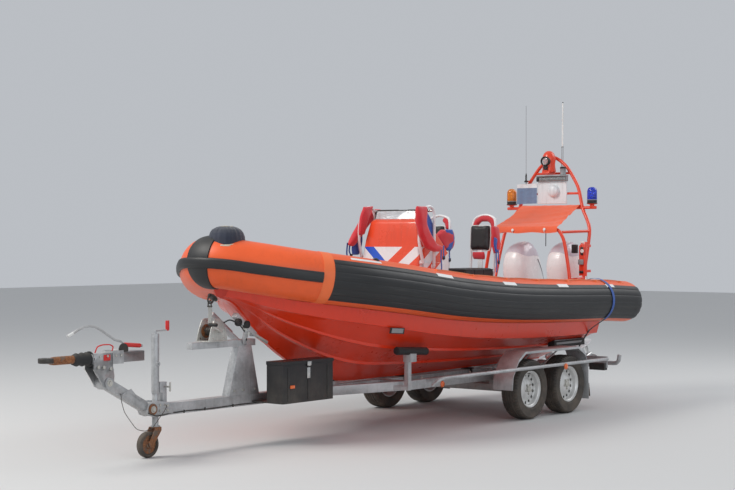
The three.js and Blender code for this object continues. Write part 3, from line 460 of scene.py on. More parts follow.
# %% Paints, plastics and rubbers
PAINTS = [
    # name, colour, slot, rough, coat, uneven, dust, top, streak, grain
    ("hull_gelcoat", (0.76, 0.040, 0.008), "hull_orange", 0.30, 0.22, 0.06, 0.16, 0.02, 0.12,
     (60.0, 0.02)),
    ("seat_gelcoat", (0.66, 0.045, 0.014), "seat_base", 0.3, 0.3, 0.06, 0.2, 0.1, 0.1,
     (60.0, 0.03)),
    ("helm_grip", (0.012, 0.012, 0.013), "wheel_black", 0.5, 0.0, 0.1, 0.1, 0.1, 0.0,
     (400.0, 0.3)),
    ("rail_powder", (0.78, 0.79, 0.80), "rail_white", 0.3, 0.2, 0.05, 0.3, 0.05, 0.25,
     (300.0, 0.08)),
    ("arch_powder", (0.78, 0.062, 0.022), "arch_red", 0.32, 0.25, 0.08, 0.2, 0.06, 0.12,
     (300.0, 0.1)),
    ("lamp_paint", (0.80, 0.060, 0.018), "lamp_red", 0.3, 0.3, 0.08, 0.2, 0.06, 0.15,
     (300.0, 0.08)),
    ("panel_powder", (0.78, 0.055, 0.020), "panel_red", 0.35, 0.2, 0.06, 0.2, 0.06, 0.15,
     (300.0, 0.1)),
    ("board_plastic", (0.74, 0.76, 0.78), "board_white", 0.38, 0.1, 0.05, 0.2, 0.05, 0.3,
     (200.0, 0.06)),
    ("bracket_paint", (0.02, 0.021, 0.024), "bracket_black", 0.4, 0.15, 0.15, 0.3, 0.15, 0.1,
     (220.0, 0.2)),
    ("engine_paint", (0.74, 0.755, 0.77), "engine_white", 0.28, 0.4, 0.05, 0.2, 0.06, 0.3,
     (260.0, 0.05)),
    ("cowl_paint", (0.88, 0.88, 0.88), "cowl_white", 0.26, 0.3, 0.03, 0.05, 0.02, 0.08,
     (90.0, 0.02)),
    ("box_plastic", (0.014, 0.014, 0.016), "box_plastic", 0.48, 0.0, 0.2, 0.5, 0.25, 0.25,
     (350.0, 0.35)),
    ("black_plastic", (0.012, 0.012, 0.013), None, 0.42, 0.0, 0.2, 0.4, 0.2, 0.1, (350.0, 0.25)),
    ("black_rubber", (0.016, 0.016, 0.017), None, 0.62, 0.0, 0.25, 0.4, 0.25, 0.15,
     (240.0, 0.35)),
    ("white_plastic", (0.76, 0.76, 0.74), None, 0.35, 0.1, 0.06, 0.3, 0.08, 0.25, (200.0, 0.06)),
    ("red_plastic", (0.62, 0.02, 0.018), None, 0.35, 0.1, 0.1, 0.3, 0.1, 0.1, (200.0, 0.08)),
    ("grey_plastic", (0.26, 0.27, 0.28), None, 0.42, 0.0, 0.1, 0.3, 0.12, 0.2, (260.0, 0.15)),
    ("flap_rubber", (0.10, 0.075, 0.055), None, 0.75, 0.0, 0.3, 0.6, 0.3, 0.3, (150.0, 0.4)),
    ("orange_lens", (0.85, 0.15, 0.02), None, 0.18, 0.6, 0.05, 0.2, 0.0, 0.0, (60.0, 0.02)),
    ("red_lens", (0.55, 0.01, 0.01), None, 0.18, 0.6, 0.05, 0.2, 0.0, 0.0, (60.0, 0.02)),
]
for row in PAINTS:
    paint(*row)
print(len(FINISHES), "finishes")

# %% [markdown]
# Bare and plated metals are metallic, and what tells them apart is roughness and dirt. Zinc
# is dull with crystals and white bloom, stainless tube is clean, and the tow shaft is rusty.

# %% Metals
def metal(name, color, slot, zinc, rust, dust, rough, metallic):
    tree, shader, place, _ = finish(name, slot, metallic=metallic)
    base = (*color, 1)
    roughness = rough
    if zinc:
        crystals = use(tree, "Zinc crystals", Vector=place, Color=base)
        base, roughness = crystals["Color"], crystals["Roughness"]
    tone = use(tree, "Uneven tone", Vector=place, Color=base, Scale=2.5, Amount=0.14)
    rain = use(tree, "Rain streaks", Vector=place, Color=tone["Color"], Stain=DARK_STAIN,
               Amount=0.3)
    spots = use(tree, "Rust", Vector=place, Color=rain["Color"], Spread=rust)
    dust_and_top_light = use(tree, "Road dust and top light", Vector=place, Color=spots["Color"], Dust=ROAD_DUST_AND_TOP_LIGHT,
                Height=0.6, Low=dust, Top=0.15)
    dirt = math_node(tree, "ADD", dust_and_top_light["Mask"], spots["Mask"], True)
    total = math_node(tree, "ADD", roughness, math_node(tree, "MULTIPLY", dirt, 0.4), True)
    shine = math_node(tree, "MULTIPLY", math_node(tree, "SUBTRACT", 1.0, dirt), metallic)
    grained = use(tree, "Grain", Vector=place, Scale=160.0, Depth=0.15)
    feed(tree, shader, Base_Color=dust_and_top_light["Color"], Roughness=total, Metallic=shine,
         Normal=grained["Normal"])


METALS = [
    # name, colour, slot, zinc, rust, dust, rough, metallic
    ("zinc_frame", (0.50, 0.51, 0.52), "galvanised", True, 0.12, 0.3, 0.4, 0.55),
    ("zinc_axle", (0.36, 0.36, 0.36), "axle_zinc", True, 0.3, 0.8, 0.45, 0.5),
    ("zinc_coupling", (0.47, 0.475, 0.48), "coupling_steel", True, 0.2, 0.2, 0.4, 0.5),
    ("rusty_steel", (0.18, 0.13, 0.10), None, False, 0.75, 0.2, 0.45, 0.6),
    ("stainless", (0.62, 0.62, 0.61), None, False, 0.0, 0.2, 0.2, 0.9),
    ("bolt_zinc", (0.55, 0.54, 0.50), None, False, 0.15, 0.3, 0.35, 0.7),
    ("dark_steel", (0.07, 0.065, 0.06), None, False, 0.35, 0.4, 0.45, 0.6),
    ("propeller_steel", (0.52, 0.52, 0.52), "propeller_steel", False, 0.05, 0.1, 0.24, 0.9),
    ("rim_silver", (0.74, 0.74, 0.73), "rim_steel", False, 0.06, 0.25, 0.34, 0.5),
    ("winch_silver", (0.60, 0.60, 0.57), None, True, 0.25, 0.1, 0.35, 0.6),
]
for row in METALS:
    metal(*row)
print(len(FINISHES), "finishes")

# %% [markdown]
# The tubes are coated fabric: a satin skin over a weave that just shows. The black cover is
# rubber, scuffed grey along its ribs, and its upward faces are lightened by dust that also paints
# the light falling on them. Cloth, webbing and upholstery read their weave from the UV map.

# %% Tube fabric, cloth and upholstery
def fabric(name, color, slot, rough, threads, depth, uneven, dust, top, sheen, streak, scuff):
    tree, shader, place, uv = finish(name, slot, sheen=sheen)
    weave = use(tree, "Woven cloth", Vector=uv, Threads=threads, Depth=depth)
    tone = use(tree, "Uneven tone", Vector=place, Color=(*color, 1), Scale=1.3, Amount=uneven)
    rain = use(tree, "Rain streaks", Vector=place, Color=tone["Color"], Stain=DARK_STAIN,
               Amount=streak)
    base = rain["Color"]
    if scuff:
        rub = ramp(tree, noise(tree, stretched(tree, uv, (1.5, 30.0, 1.0)), 1.0, 6.0, 0.7),
                   0.54, 0.74, 0.0, 0.5)
        base = mix(tree, rub, base, (*scuff, 1))
    dust_and_top_light = use(tree, "Road dust and top light", Vector=place, Color=base, Dust=ROAD_DUST_AND_TOP_LIGHT, Height=0.9,
                Low=dust, Top=top)
    roughness = ramp(tree, tone["Mask"], 0.3, 0.7, rough - 0.07, rough + 0.08)
    feed(tree, shader, Base_Color=dust_and_top_light["Color"], Roughness=roughness, Normal=weave["Normal"])


FABRICS = [
    # name, colour, slot, rough, threads, depth, uneven, dust, top, sheen, streak, scuff
    ("tube_orange", (0.86, 0.115, 0.022), "tube_orange", 0.42, 700.0, 0.03, 0.07, 0.1, 0.05, 0.0,
     0.08, None),
    ("tube_seam", (0.90, 0.17, 0.045), "tube_orange", 0.45, 700.0, 0.04, 0.05, 0.1, 0.05, 0.0,
     0.05, None),
    # The black cover's top dust (0.16) is real dust and also a painted highlight on its upward faces.
    ("tube_black", (0.016, 0.017, 0.019), "tube_black", 0.5, 600.0, 0.06, 0.15, 0.2, 0.16, 0.0,
     0.15, (0.07, 0.068, 0.065)),
    ("bag_cloth", (0.022, 0.028, 0.05), "bag_cloth", 0.85, 500.0, 0.5, 0.2, 0.1, 0.15, 0.3,
     0.05, None),
    ("vinyl_black", (0.016, 0.016, 0.017), "seat_vinyl", 0.45, 900.0, 0.12, 0.15, 0.1, 0.12, 0.0,
     0.05, None),
    ("jacket_red", (0.62, 0.022, 0.035), "jacket_cloth", 0.75, 450.0, 0.45, 0.14, 0.0, 0.05, 0.4,
     0.05, None),
    ("jacket_blue", (0.03, 0.10, 0.42), None, 0.8, 450.0, 0.4, 0.14, 0.0, 0.05, 0.3, 0.05, None),
    ("strap_blue", (0.02, 0.09, 0.38), None, 0.8, 300.0, 0.5, 0.15, 0.1, 0.1, 0.2, 0.05, None),
    ("strap_grey", (0.34, 0.34, 0.33), None, 0.85, 300.0, 0.5, 0.2, 0.2, 0.15, 0.2, 0.1, None),
    ("cover_cloth", (0.86, 0.13, 0.045), "cover_cloth", 0.7, 500.0, 0.35, 0.1, 0.0, 0.05, 0.2,
     0.08, None),
    ("rope_cream", (0.66, 0.60, 0.48), None, 0.9, 220.0, 0.9, 0.15, 0.0, 0.05, 0.1, 0.1, None),
    ("lifeline", (0.80, 0.26, 0.10), None, 0.8, 220.0, 0.9, 0.2, 0.0, 0.05, 0.1, 0.1, None),
    ("bar_white", (0.82, 0.83, 0.82), None, 0.4, 350.0, 0.12, 0.06, 0.1, 0.05, 0.0, 0.15, None),
]
for row in FABRICS:
    fabric(*row)
print(len(FINISHES), "finishes")

# %% [markdown]
# Road tyres are matt with a brown bloom of dust. The lenses are clear or tinted plastic: light
# passes in, so they use transmission.

# %% Tyres and lenses
def build_tyre(name, slot, dust):
    tree, shader, place, _ = finish(name, slot)
    tone = use(tree, "Uneven tone", Vector=place, Color=(0.022, 0.02, 0.019, 1), Scale=4.0,
               Amount=0.25)
    dust_and_top_light = use(tree, "Road dust and top light", Vector=place, Color=tone["Color"], Dust=(0.17, 0.135, 0.105, 1),
                Height=1.1, Low=dust, Top=0.1)
    grained = use(tree, "Grain", Vector=place, Scale=300.0, Depth=0.4)
    roughness = ramp(tree, dust_and_top_light["Mask"], 0.0, 1.0, 0.6, 0.92)
    feed(tree, shader, Base_Color=dust_and_top_light["Color"], Roughness=roughness, Normal=grained["Normal"])


def build_lens(name, slot, color):
    tree, shader, place, _ = finish(name, slot, coat=0.3, coat_rough=0.05)
    tone = use(tree, "Uneven tone", Vector=place, Color=(*color, 1), Scale=12.0, Amount=0.08)
    feed(tree, shader, Base_Color=tone["Color"], Transmission_Weight=0.65, Roughness=0.12,
         IOR=1.49)


build_tyre("tyre_road", "tyre", 0.85)
build_tyre("tyre_jockey", "jockey_tyre", 1.0)
build_lens("lens_blue", "lens_blue", (0.02, 0.06, 0.75))
build_lens("lens_amber", "lens_amber", (1.0, 0.30, 0.01))
build_lens("lens_clear", None, (0.85, 0.88, 0.9))
print(len(FINISHES), "finishes")

# %% [markdown]
# # Camera, light and floor
# The camera stands where the photographer stood: low, at the port bow, with a long lens. Its
# place was worked out from the wheels and from the heights of the seats and the console. A big
# soft light high on the camera's left shades the bow, a weak one on the other side keeps the
# shadows open, and a third one behind lights the stern.

# %% Camera
CAMERA = Vector((12.1645, 9.7741, 1.857))
YAW, PITCH = 0.6708, 0.0024
forward = Vector((-math.cos(YAW) * math.cos(PITCH), -math.sin(YAW) * math.cos(PITCH),
                  -math.sin(PITCH)))
bpy.ops.object.camera_add(location=CAMERA)
camera = bpy.context.object
camera.name = "camera"
camera.rotation_euler = forward.to_track_quat("-Z", "Y").to_euler()
camera.data.sensor_width = 36.0
camera.data.lens = 76.31
camera.data.clip_end = 200
bpy.context.scene.camera = camera
bpy.context.scene.view_settings.view_transform = "Standard"
print("camera at", [round(v, 2) for v in camera.location])


# %% Floor and lights
def area_light(name, place, target, size, power, color=(1, 1, 1)):
    bpy.ops.object.light_add(type="AREA", location=place)
    light = bpy.context.object
    light.name = name
    light.data.shape = "SQUARE"
    light.data.size = size
    light.data.energy = power
    light.data.color = color
    light.rotation_euler = (Vector(target) - Vector(place)).to_track_quat("-Z", "Y").to_euler()


def build_floor():
    material = bpy.data.materials.new("floor_paper")
    material.use_nodes = True
    shader = material.node_tree.nodes["Principled BSDF"]
    shader.inputs["Base Color"].default_value = (0.62, 0.62, 0.615, 1)
    shader.inputs["Roughness"].default_value = 0.8
    bpy.ops.mesh.primitive_plane_add(size=80, location=(0, 0, -0.001))
    floor = bpy.context.object
    floor.name = "floor"
    floor.data.materials.append(material)


def build_world():
    world = bpy.data.worlds.new("studio")
    bpy.context.scene.world = world
    world.use_nodes = True
    background = world.node_tree.nodes["Background"]
    background.inputs["Color"].default_value = (0.90, 0.94, 1.0, 1)
    background.inputs["Strength"].default_value = 0.55


build_floor()
build_world()
area_light("key", (9, -5, 11), (0, 0, 1.2), 6.0, 1250, (1.0, 0.97, 0.92))
area_light("fill", (6, 12, 5), (0, 0, 1.2), 8.0, 260, (0.92, 0.96, 1.0))
area_light("back", (-9, 4, 8), (-1, 0, 1.5), 5.0, 300)
print("floor and lights ready")

# %% [markdown]
# # Steelwork
# The trailer's beams, brackets and stays already have their true shapes in the construction
# model. What they lack is the small round on every edge, where steel catches the light. A copy
# of each node has its doubled points merged, its flat faces made whole, and its edges bevelled.

# %% Softened copies of construction nodes
def softened(source, name, finish, body="root", width=0.0025, segments=2):
    only(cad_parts[source])
    bpy.ops.object.duplicate()
    piece = bpy.context.object
    piece.parent = None
    for key in list(piece.keys()):
        del piece[key]
    tidy(piece)
    bpy.ops.object.mode_set(mode="EDIT")
    bpy.ops.mesh.select_all(action="SELECT")
    bpy.ops.mesh.dissolve_limited(angle_limit=math.radians(1.0))
    bpy.ops.object.mode_set(mode="OBJECT")
    modify(piece, "BEVEL", width=width, segments=segments, limit_method="ANGLE",
           angle_limit=math.radians(28), harden_normals=False)
    return keep(piece, name, finish, body, source, angle=32)


STEEL = [
    # node, piece, finish, edge round
    ("chassis", "main_beam", "zinc_frame", 0.004),
    ("side_frame_port", "frame_port", "zinc_frame", 0.003),
    ("side_frame_starboard", "frame_starboard", "zinc_frame", 0.003),
    ("axle_front", "axle_beam_front", "zinc_axle", 0.003),
    ("axle_rear", "axle_beam_rear", "zinc_axle", 0.003),
    ("mudguard_port", "wing_port", "zinc_frame", 0.0015),
    ("mudguard_starboard", "wing_starboard", "zinc_frame", 0.0015),
    ("winch_post", "bow_post", "zinc_frame", 0.004),
    ("toolbox", "box_tray", "box_plastic", 0.002),
    ("jockey_leg", "leg_outer", "zinc_frame", 0.002),
]
for source, name, finish_name, width in STEEL:
    piece = softened(source, name, finish_name, width=width)
    print(name, len(piece.data.polygons), "faces")

# %% [markdown]
# # Inflated tubes
# The collar is one long tube that runs from each stern cone round the bow. Its middle line is a
# smooth curve through a few chosen points. Points on the skin are found by their distance along
# that line, an angle round it (0 is straight outwards, 90 is the top) and a lift off the skin.

# %% The collar's middle line
COLLAR_R = 0.232
TAIL = 0.185
COLLAR_LINE = [
    # x, y, z of the port tube's middle, from the stern
    (-2.07, 0.93, 1.168), (-1.56, 0.93, 1.194), (-0.5, 0.93, 1.22), (0.46, 0.93, 1.258),
    (1.35, 0.93, 1.326), (2.15, 0.905, 1.42), (2.75, 0.8, 1.492), (3.18, 0.59, 1.553),
    (3.5, 0.3, 1.62)]
NOSE = (3.69, 0.0, 1.668)
SEAM_SHARE = 0.42


def hermite(p0, p1, p2, p3, t, power=0.5):
    """A point on the curve that bends evenly through four points (centripetal at power 0.5)."""
    d0, d1, d2 = ((a - b).length ** power for a, b in ((p1, p0), (p2, p1), (p3, p2)))
    t1 = ((p1 - p0) / d0 - (p2 - p0) / (d0 + d1) + (p2 - p1) / d1) * d1
    t2 = ((p2 - p1) / d1 - (p3 - p1) / (d1 + d2) + (p3 - p2) / d2) * d1
    return ((2 * p1 - 2 * p2 + t1 + t2) * t ** 3 + (-3 * p1 + 3 * p2 - 2 * t1 - t2) * t ** 2
            + t1 * t + p1)


def fair_curve(points, steps=40):
    points = [Vector(p) for p in points]
    ends = [points[0] * 2 - points[1], *points, points[-1] * 2 - points[-2]]
    curve = [hermite(*ends[k:k + 4], j / steps) for k in range(len(points) - 1)
             for j in range(steps)]
    return [*curve, points[-1]]


starboard_line = [(x, -y, z) for x, y, z in reversed(COLLAR_LINE)]
MIDDLE = fair_curve([at(*p) for p in [*COLLAR_LINE, NOSE, *starboard_line]])
RUN = lengths(MIDDLE)
COLLAR_LENGTH = RUN[-1]
SEAM = COLLAR_LENGTH * SEAM_SHARE
print("collar:", round(COLLAR_LENGTH, 3), "m along its middle, seam at", round(SEAM, 3))


# %% Points on the tubes
def along_middle(s):
    s = min(max(s, 0.0), COLLAR_LENGTH)
    k = next((i for i in range(1, len(RUN)) if RUN[i] >= s), len(RUN) - 1)
    a, b = MIDDLE[k - 1], MIDDLE[k]
    share = (s - RUN[k - 1]) / (RUN[k] - RUN[k - 1])
    return a.lerp(b, share), (b - a).normalized()


def collar_frame(s):
    """Middle, outward and upward at distance s, with the radius there."""
    middle, forward = along_middle(s)
    over = max(-s, s - COLLAR_LENGTH, 0.0)
    if over:
        middle = middle + forward * (over if s > 0 else -over)
    ahead, behind = along_middle(s + 0.06)[0], along_middle(s - 0.06)[0]
    forward = (ahead - behind).normalized()
    outward = Vector((-forward.y, forward.x, 0)).normalized()
    radius = COLLAR_R * math.sqrt(max(1 - (over / TAIL) ** 2, 0.0))
    return middle, outward, forward.cross(outward), radius


def on_collar(s, angle, lift=0.0):
    middle, outward, upward, radius = collar_frame(s)
    turn = math.radians(angle)
    return middle + (outward * math.cos(turn) + upward * math.sin(turn)) * (radius + lift)


def spaced(start, end, step):
    count = max(2, round(abs(end - start) / step))
    return [start + (end - start) * k / count for k in range(count + 1)]


def mirrored(rows):
    return [[Vector((p.x, -p.y, p.z)) for p in row] for row in rows]


def each_side(rows):
    return {"port": rows, "starboard": mirrored(rows)}


print("top of the nose:", [round(v, 3) for v in on_collar(COLLAR_LENGTH / 2, 90)])

# %% [markdown]
# The skin itself is a net wrapped round the middle line. The bow piece and the two side tubes
# are separate, as they are glued up from separate panels, and the stern cones are ellipses.

# %% Bow tube and side tubes
ROUND = [k * 7.5 for k in range(48)]


def wrap(stations):
    return [[on_collar(s, angle) for angle in ROUND] for s in stations]


bow = skin(wrap(spaced(SEAM, COLLAR_LENGTH - SEAM, 0.045)), closed=True, caps=True)
keep(bow, "tube_bow", "tube_orange", stands_for="collar_bow")
cone = [-TAIL * math.sin(math.radians(a)) for a in (89.8, 82, 72, 60, 46, 30, 15)]
side_rows = each_side(wrap([*cone, *spaced(0.0, SEAM - 0.0006, 0.07)]))
for side, rows in side_rows.items():
    tube = skin(rows, closed=True, caps=True)
    keep(tube, f"tube_{side}", "tube_orange", stands_for=f"collar_{side}")
print("tubes laid up")

# %% [markdown]
# The rubber cover on each side tube is a sheet with shallow pads between grooves, glued on the
# outer face only. A strip helper lays such bands over the skin: it takes the distances along,
# the angles across and a lift for each angle, and folds the long edges down onto the tube.

# %% Bands glued on the tubes
BAND_DROP = 0.004


def band(s_values, angles, lift):
    """A strip on the skin, tucked in all round. lift is a number or a function of the angle."""
    height = lift if callable(lift) else (lambda angle: lift)

    def low_row(s):
        return [on_collar(s, a, -BAND_DROP) for a in (angles[0], *angles, angles[-1])]

    rows = [[on_collar(s, angles[0], -BAND_DROP),
             *(on_collar(s, angle, height(angle)) for angle in angles),
             on_collar(s, angles[-1], -BAND_DROP)] for s in s_values]
    return [low_row(s_values[0]), *rows, low_row(s_values[-1])]


PAD_ANGLES = (-58, -40, -21.5, -3, 15.5, 34, 48)
COVER_LIFT = 0.0065


def pad_lift(angle):
    """Pads bulge between the grooves and meet them at a tight valley."""
    for low_edge, high_edge in zip(PAD_ANGLES, PAD_ANGLES[1:]):
        if low_edge <= angle <= high_edge:
            share = (angle - low_edge) / (high_edge - low_edge)
            return 0.0012 + (COVER_LIFT - 0.0012) * math.sin(math.pi * share) ** 0.42
    return 0.001


PAD_STEPS = (0, 0.04, 0.12, 0.3, 0.5, 0.7, 0.88, 0.96)
cover_angles = [a + (b - a) * t for a, b in zip(PAD_ANGLES, PAD_ANGLES[1:]) for t in PAD_STEPS]
cover_angles.append(PAD_ANGLES[-1])
cone_cover = [-TAIL * math.sin(math.radians(a)) for a in (64, 56, 46, 30, 15)]
cover_run = [*cone_cover, *spaced(0.0, SEAM - 0.05, 0.08)]
for side, rows in each_side(band(cover_run, cover_angles, pad_lift)).items():
    keep(skin(rows), f"rubber_cover_{side}", "tube_black", angle=75)
print("covers with", len(PAD_ANGLES) - 1, "pads")

# %% [markdown]
# Where the panels meet, a lighter tape covers the seam all the way round. White reflective
# bars sit on the bow tube and along the top edge of the cover, at distances along the boat.

# %% Seam tapes and reflective bars
full_turn = [k * 7.5 - 180 for k in range(49)]
for side, rows in each_side(band(spaced(SEAM - 0.05, SEAM + 0.045, 0.02), full_turn,
                                 0.003)).items():
    keep(skin(rows), f"seam_tape_{side}", "tube_seam")


def distance_at(x):
    """How far along the collar the port tube is when it passes a place x."""
    return next(RUN[k] for k in range(len(MIDDLE)) if MIDDLE[k].x - AXLE_X >= x)


REFLECTORS = [
    # front x, rear x, lower angle, upper angle
    (2.815, 2.50, 55, 63), (1.79, 1.545, 39, 49), (0.65, 0.43, 39, 49), (-0.38, -0.60, 39, 49),
    (-1.41, -1.57, 39, 49)]
for number, (front, rear, lower, upper) in enumerate(REFLECTORS):
    run = spaced(distance_at(rear), distance_at(front), 0.04)
    lift = 0.002 if number == 0 else 0.0078
    for side, rows in each_side(band(run, [lower, (lower + upper) / 2, upper], lift)).items():
        keep(skin(rows), f"reflector_{number + 1}_{side}", "bar_white")
print("reflectors:", 2 * len(REFLECTORS))

# %% [markdown]
# A thick rubber strake takes the knocks round the bow. It is a D-shaped section swept along
# the widest line, with a broad strip of the same rubber that climbs over the nose.

# %% Bow strake and nose strip
STRAKE_HALF, STRAKE_STEPS = 0.048, 10
NOSE_HALF, NOSE_LIFT = 0.058, 0.012


def strake_section(s):
    middle, outward, upward, radius = collar_frame(s)
    points = []
    for k in range(STRAKE_STEPS + 1):
        turn = math.pi * (k / STRAKE_STEPS - 0.5)
        rise = STRAKE_HALF * math.copysign(abs(math.sin(turn)) ** 0.6, turn)
        reach = radius + 0.026 * abs(math.cos(turn)) ** 0.35
        back = radius - math.sqrt(radius ** 2 - rise ** 2)
        points.append(middle + outward * (reach - back) + upward * rise)
    inner = [middle + outward * (radius - 0.015) + upward * h for h in (0.044, -0.044)]
    return [*points, *inner]


strake_run = spaced(SEAM + 0.05, COLLAR_LENGTH - SEAM - 0.05, 0.05)
strake = skin([strake_section(s) for s in strake_run], closed=True, caps=True)
keep(strake, "bow_rubber", "tube_black", stands_for="bow_strake")


def nose_strip(angles):
    rows = []
    for angle in angles:
        turn = math.radians(angle)
        row = []
        for share in (-1.02, -0.96, -0.6, 0, 0.6, 0.96, 1.02):
            offset = share * NOSE_HALF
            height = -BAND_DROP if abs(share) > 1 else NOSE_LIFT * (1 - 0.25 * share ** 2)
            s = COLLAR_LENGTH / 2 + offset * 0.95
            middle, outward, upward, radius = collar_frame(s)
            reach = radius + height
            row.append(middle + (outward * math.cos(turn) + upward * math.sin(turn)) * reach)
        rows.append(row)
    return rows


keep(skin(nose_strip(spaced(-100, 92, 6))), "nose_rubber", "tube_black")
print("strake:", round(strake_run[-1] - strake_run[0], 2), "m")

# %% [markdown]
# Small fittings make the tubes believable: a lifeline that sags between glued patches, and
# three inflation valves, one at the bow and two on the inside of the port tube.

# %% Tubes, ropes and patches from a line of points
def rounded(points, steps=6, tension=0.35):
    """A line through the points with softly rounded corners."""
    points = [Vector(p) for p in points]
    ends = [points[0] * 2 - points[1], *points, points[-1] * 2 - points[-2]]
    line = []
    for k in range(len(points) - 1):
        p0, p1, p2, p3 = ends[k:k + 4]
        a, b = (p2 - p0) * tension, (p3 - p1) * tension
        for j in range(steps):
            t = j / steps
            line.append((2 * p1 - 2 * p2 + a + b) * t ** 3
                        + (-3 * p1 + 3 * p2 - 2 * a - b) * t ** 2 + a * t + p1)
    return [*line, points[-1]]


def pipe(points, radius, sides=12, ends=True):
    """A round bar, hose or rope along a line of points, made from a bevelled curve."""
    bpy.ops.curve.primitive_nurbs_path_add()
    piece = bpy.context.object
    curve = piece.data
    curve.splines.clear()
    spline = curve.splines.new("POLY")
    spline.points.add(len(points) - 1)
    for knot, point in zip(spline.points, points):
        knot.co = (*point, 1)
    curve.bevel_depth = radius
    curve.bevel_resolution = max(0, sides // 4 - 1)
    curve.use_fill_caps = ends
    curve.resolution_u = 1
    only(piece)
    bpy.ops.object.convert(target="MESH")
    tidy(bpy.context.object)
    return bpy.context.object


def rod(start, end, radius, sides=16, round_edge=0.0):
    start, end = Vector(start), Vector(end)
    bpy.ops.mesh.primitive_cylinder_add(vertices=sides, radius=radius,
                                        depth=(end - start).length,
                                        location=(start + end) / 2)
    piece = bpy.context.object
    piece.rotation_mode = "QUATERNION"
    piece.rotation_quaternion = (end - start).to_track_quat("Z", "Y")
    settle(piece)
    if round_edge:
        modify(piece, "BEVEL", width=round_edge, segments=2, limit_method="ANGLE",
               angle_limit=math.radians(50))
    return piece


def block(low_corner, high_corner, round_edge=0.003, segments=2):
    low_corner, high_corner = Vector(low_corner), Vector(high_corner)
    bpy.ops.mesh.primitive_cube_add(size=1, location=(low_corner + high_corner) / 2)
    piece = bpy.context.object
    piece.scale = [abs(v) for v in high_corner - low_corner]
    settle(piece)
    if round_edge:
        modify(piece, "BEVEL", width=round_edge, segments=segments, limit_method="ANGLE",
               angle_limit=math.radians(50))
    return piece


print("pipe, rod and block ready")

# %% Lifeline with its patches, and valves
PATCH_X = [-1.85, -1.30, -0.70, -0.10, 0.50, 1.10, 1.70]
LINE_ANGLE = 66
LINE_LIFT = 0.0085


def collar_axes(s, angle):
    """Place on the skin with the skin's outward direction."""
    _, outward, upward, _ = collar_frame(s)
    turn = math.radians(angle)
    return on_collar(s, angle), outward * math.cos(turn) + upward * math.sin(turn)


def lifeline(side):
    stops = [distance_at(x) for x in PATCH_X]
    line = []
    for a, b in zip(stops, stops[1:]):
        for k in range(12):
            t = k / 12
            sag = 4 * t * (1 - t)
            line.append(on_collar(a + (b - a) * t, LINE_ANGLE + 7 * sag, LINE_LIFT))
    line.append(on_collar(stops[-1], LINE_ANGLE, LINE_LIFT))
    line = [Vector((p.x, p.y * SIDES[side], p.z)) for p in line]
    keep(pipe(line, 0.005, 8), f"lifeline_{side}", "lifeline")
    patches = []
    for s in stops:
        rows = band(spaced(s - 0.035, s + 0.035, 0.02), [LINE_ANGLE - 8, LINE_ANGLE,
                                                          LINE_ANGLE + 8], 0.002)
        patches.append(skin(each_side(rows)[side]))
        loop = band(spaced(s - 0.012, s + 0.012, 0.012),
                    [LINE_ANGLE + a for a in (-3.5, -2.4, -1, 1, 2.4, 3.5)],
                    lambda angle: 0.0155 - 0.0011 * (angle - LINE_ANGLE) ** 2)
        patches.append(skin(each_side(loop)[side]))
    keep(join("patches", patches), f"lifeline_patches_{side}", "tube_seam")


for side in SIDES:
    lifeline(side)


def valve(name, s, angle):
    place, normal = collar_axes(s, angle)
    parts = [rod(place - normal * 0.004, place + normal * 0.004, 0.034, 28, 0.002),
             rod(place, place + normal * 0.012, 0.024, 24, 0.003),
             rod(place, place + normal * 0.016, 0.012, 16, 0.002)]
    keep(join(name, parts), name, "black_plastic")


valve("valve_bow", distance_at(2.52), 74)
for number, x in enumerate((1.3, -0.9)):
    valve(f"valve_port_{number + 1}", distance_at(x), 150)
print("lifelines and valves fitted")

# %% [markdown]
# Flat steel, brackets and lids start as an outline: one point, extruded from corner to corner
# as a pen draws a line, closed with a face and extruded to its thickness. Round things start
# as half an outline that is spun about its axis, as on a lathe.

# %% Outlines, plates and turned parts
def outline(points, closed=True):
    """Leaves the new piece in edit mode, with everything selected."""
    points = [Vector(p) for p in points]
    bpy.ops.mesh.primitive_plane_add(size=0.01, location=(0, 0, 0))
    piece = bpy.context.object
    bpy.ops.object.mode_set(mode="EDIT")
    bpy.ops.mesh.select_mode(type="VERT")
    bpy.ops.mesh.select_all(action="SELECT")
    bpy.ops.mesh.merge(type="CENTER")
    bpy.ops.transform.translate(value=points[0])
    route = [*points, points[0]] if closed else points
    for a, b in zip(route, route[1:]):
        bpy.ops.mesh.extrude_region_move(TRANSFORM_OT_translate={"value": b - a})
    bpy.ops.mesh.select_all(action="SELECT")
    bpy.ops.mesh.remove_doubles(threshold=0.00005)
    bpy.ops.mesh.select_all(action="SELECT")
    return piece


def round_edges(piece, width, segments=2, angle=35):
    modify(piece, "BEVEL", width=width, segments=segments, limit_method="ANGLE",
           angle_limit=math.radians(angle))
    return piece


def slab(points, thickness, round_edge=0.002, segments=2):
    """A flat closed outline, extruded along thickness (a vector), with rounded edges."""
    piece = outline(points)
    bpy.ops.mesh.edge_face_add()
    bpy.ops.mesh.extrude_region_move(TRANSFORM_OT_translate={"value": thickness})
    bpy.ops.object.mode_set(mode="OBJECT")
    tidy(piece, merge=0.00001)
    return round_edges(piece, round_edge, segments) if round_edge else piece


def plate(points, y, thickness, round_edge=0.002, segments=2):
    """points: workshop x and z. The plate's middle is at y."""
    return slab([at(x, y - thickness / 2, z) for x, z in points], Vector((0, thickness, 0)),
                round_edge, segments)


AXES = {"x": (Vector((1, 0, 0)), Vector((0, 0, 1))), "y": (Vector((0, 1, 0)), Vector((0, 0, 1))),
        "z": (Vector((0, 0, 1)), Vector((1, 0, 0)))}


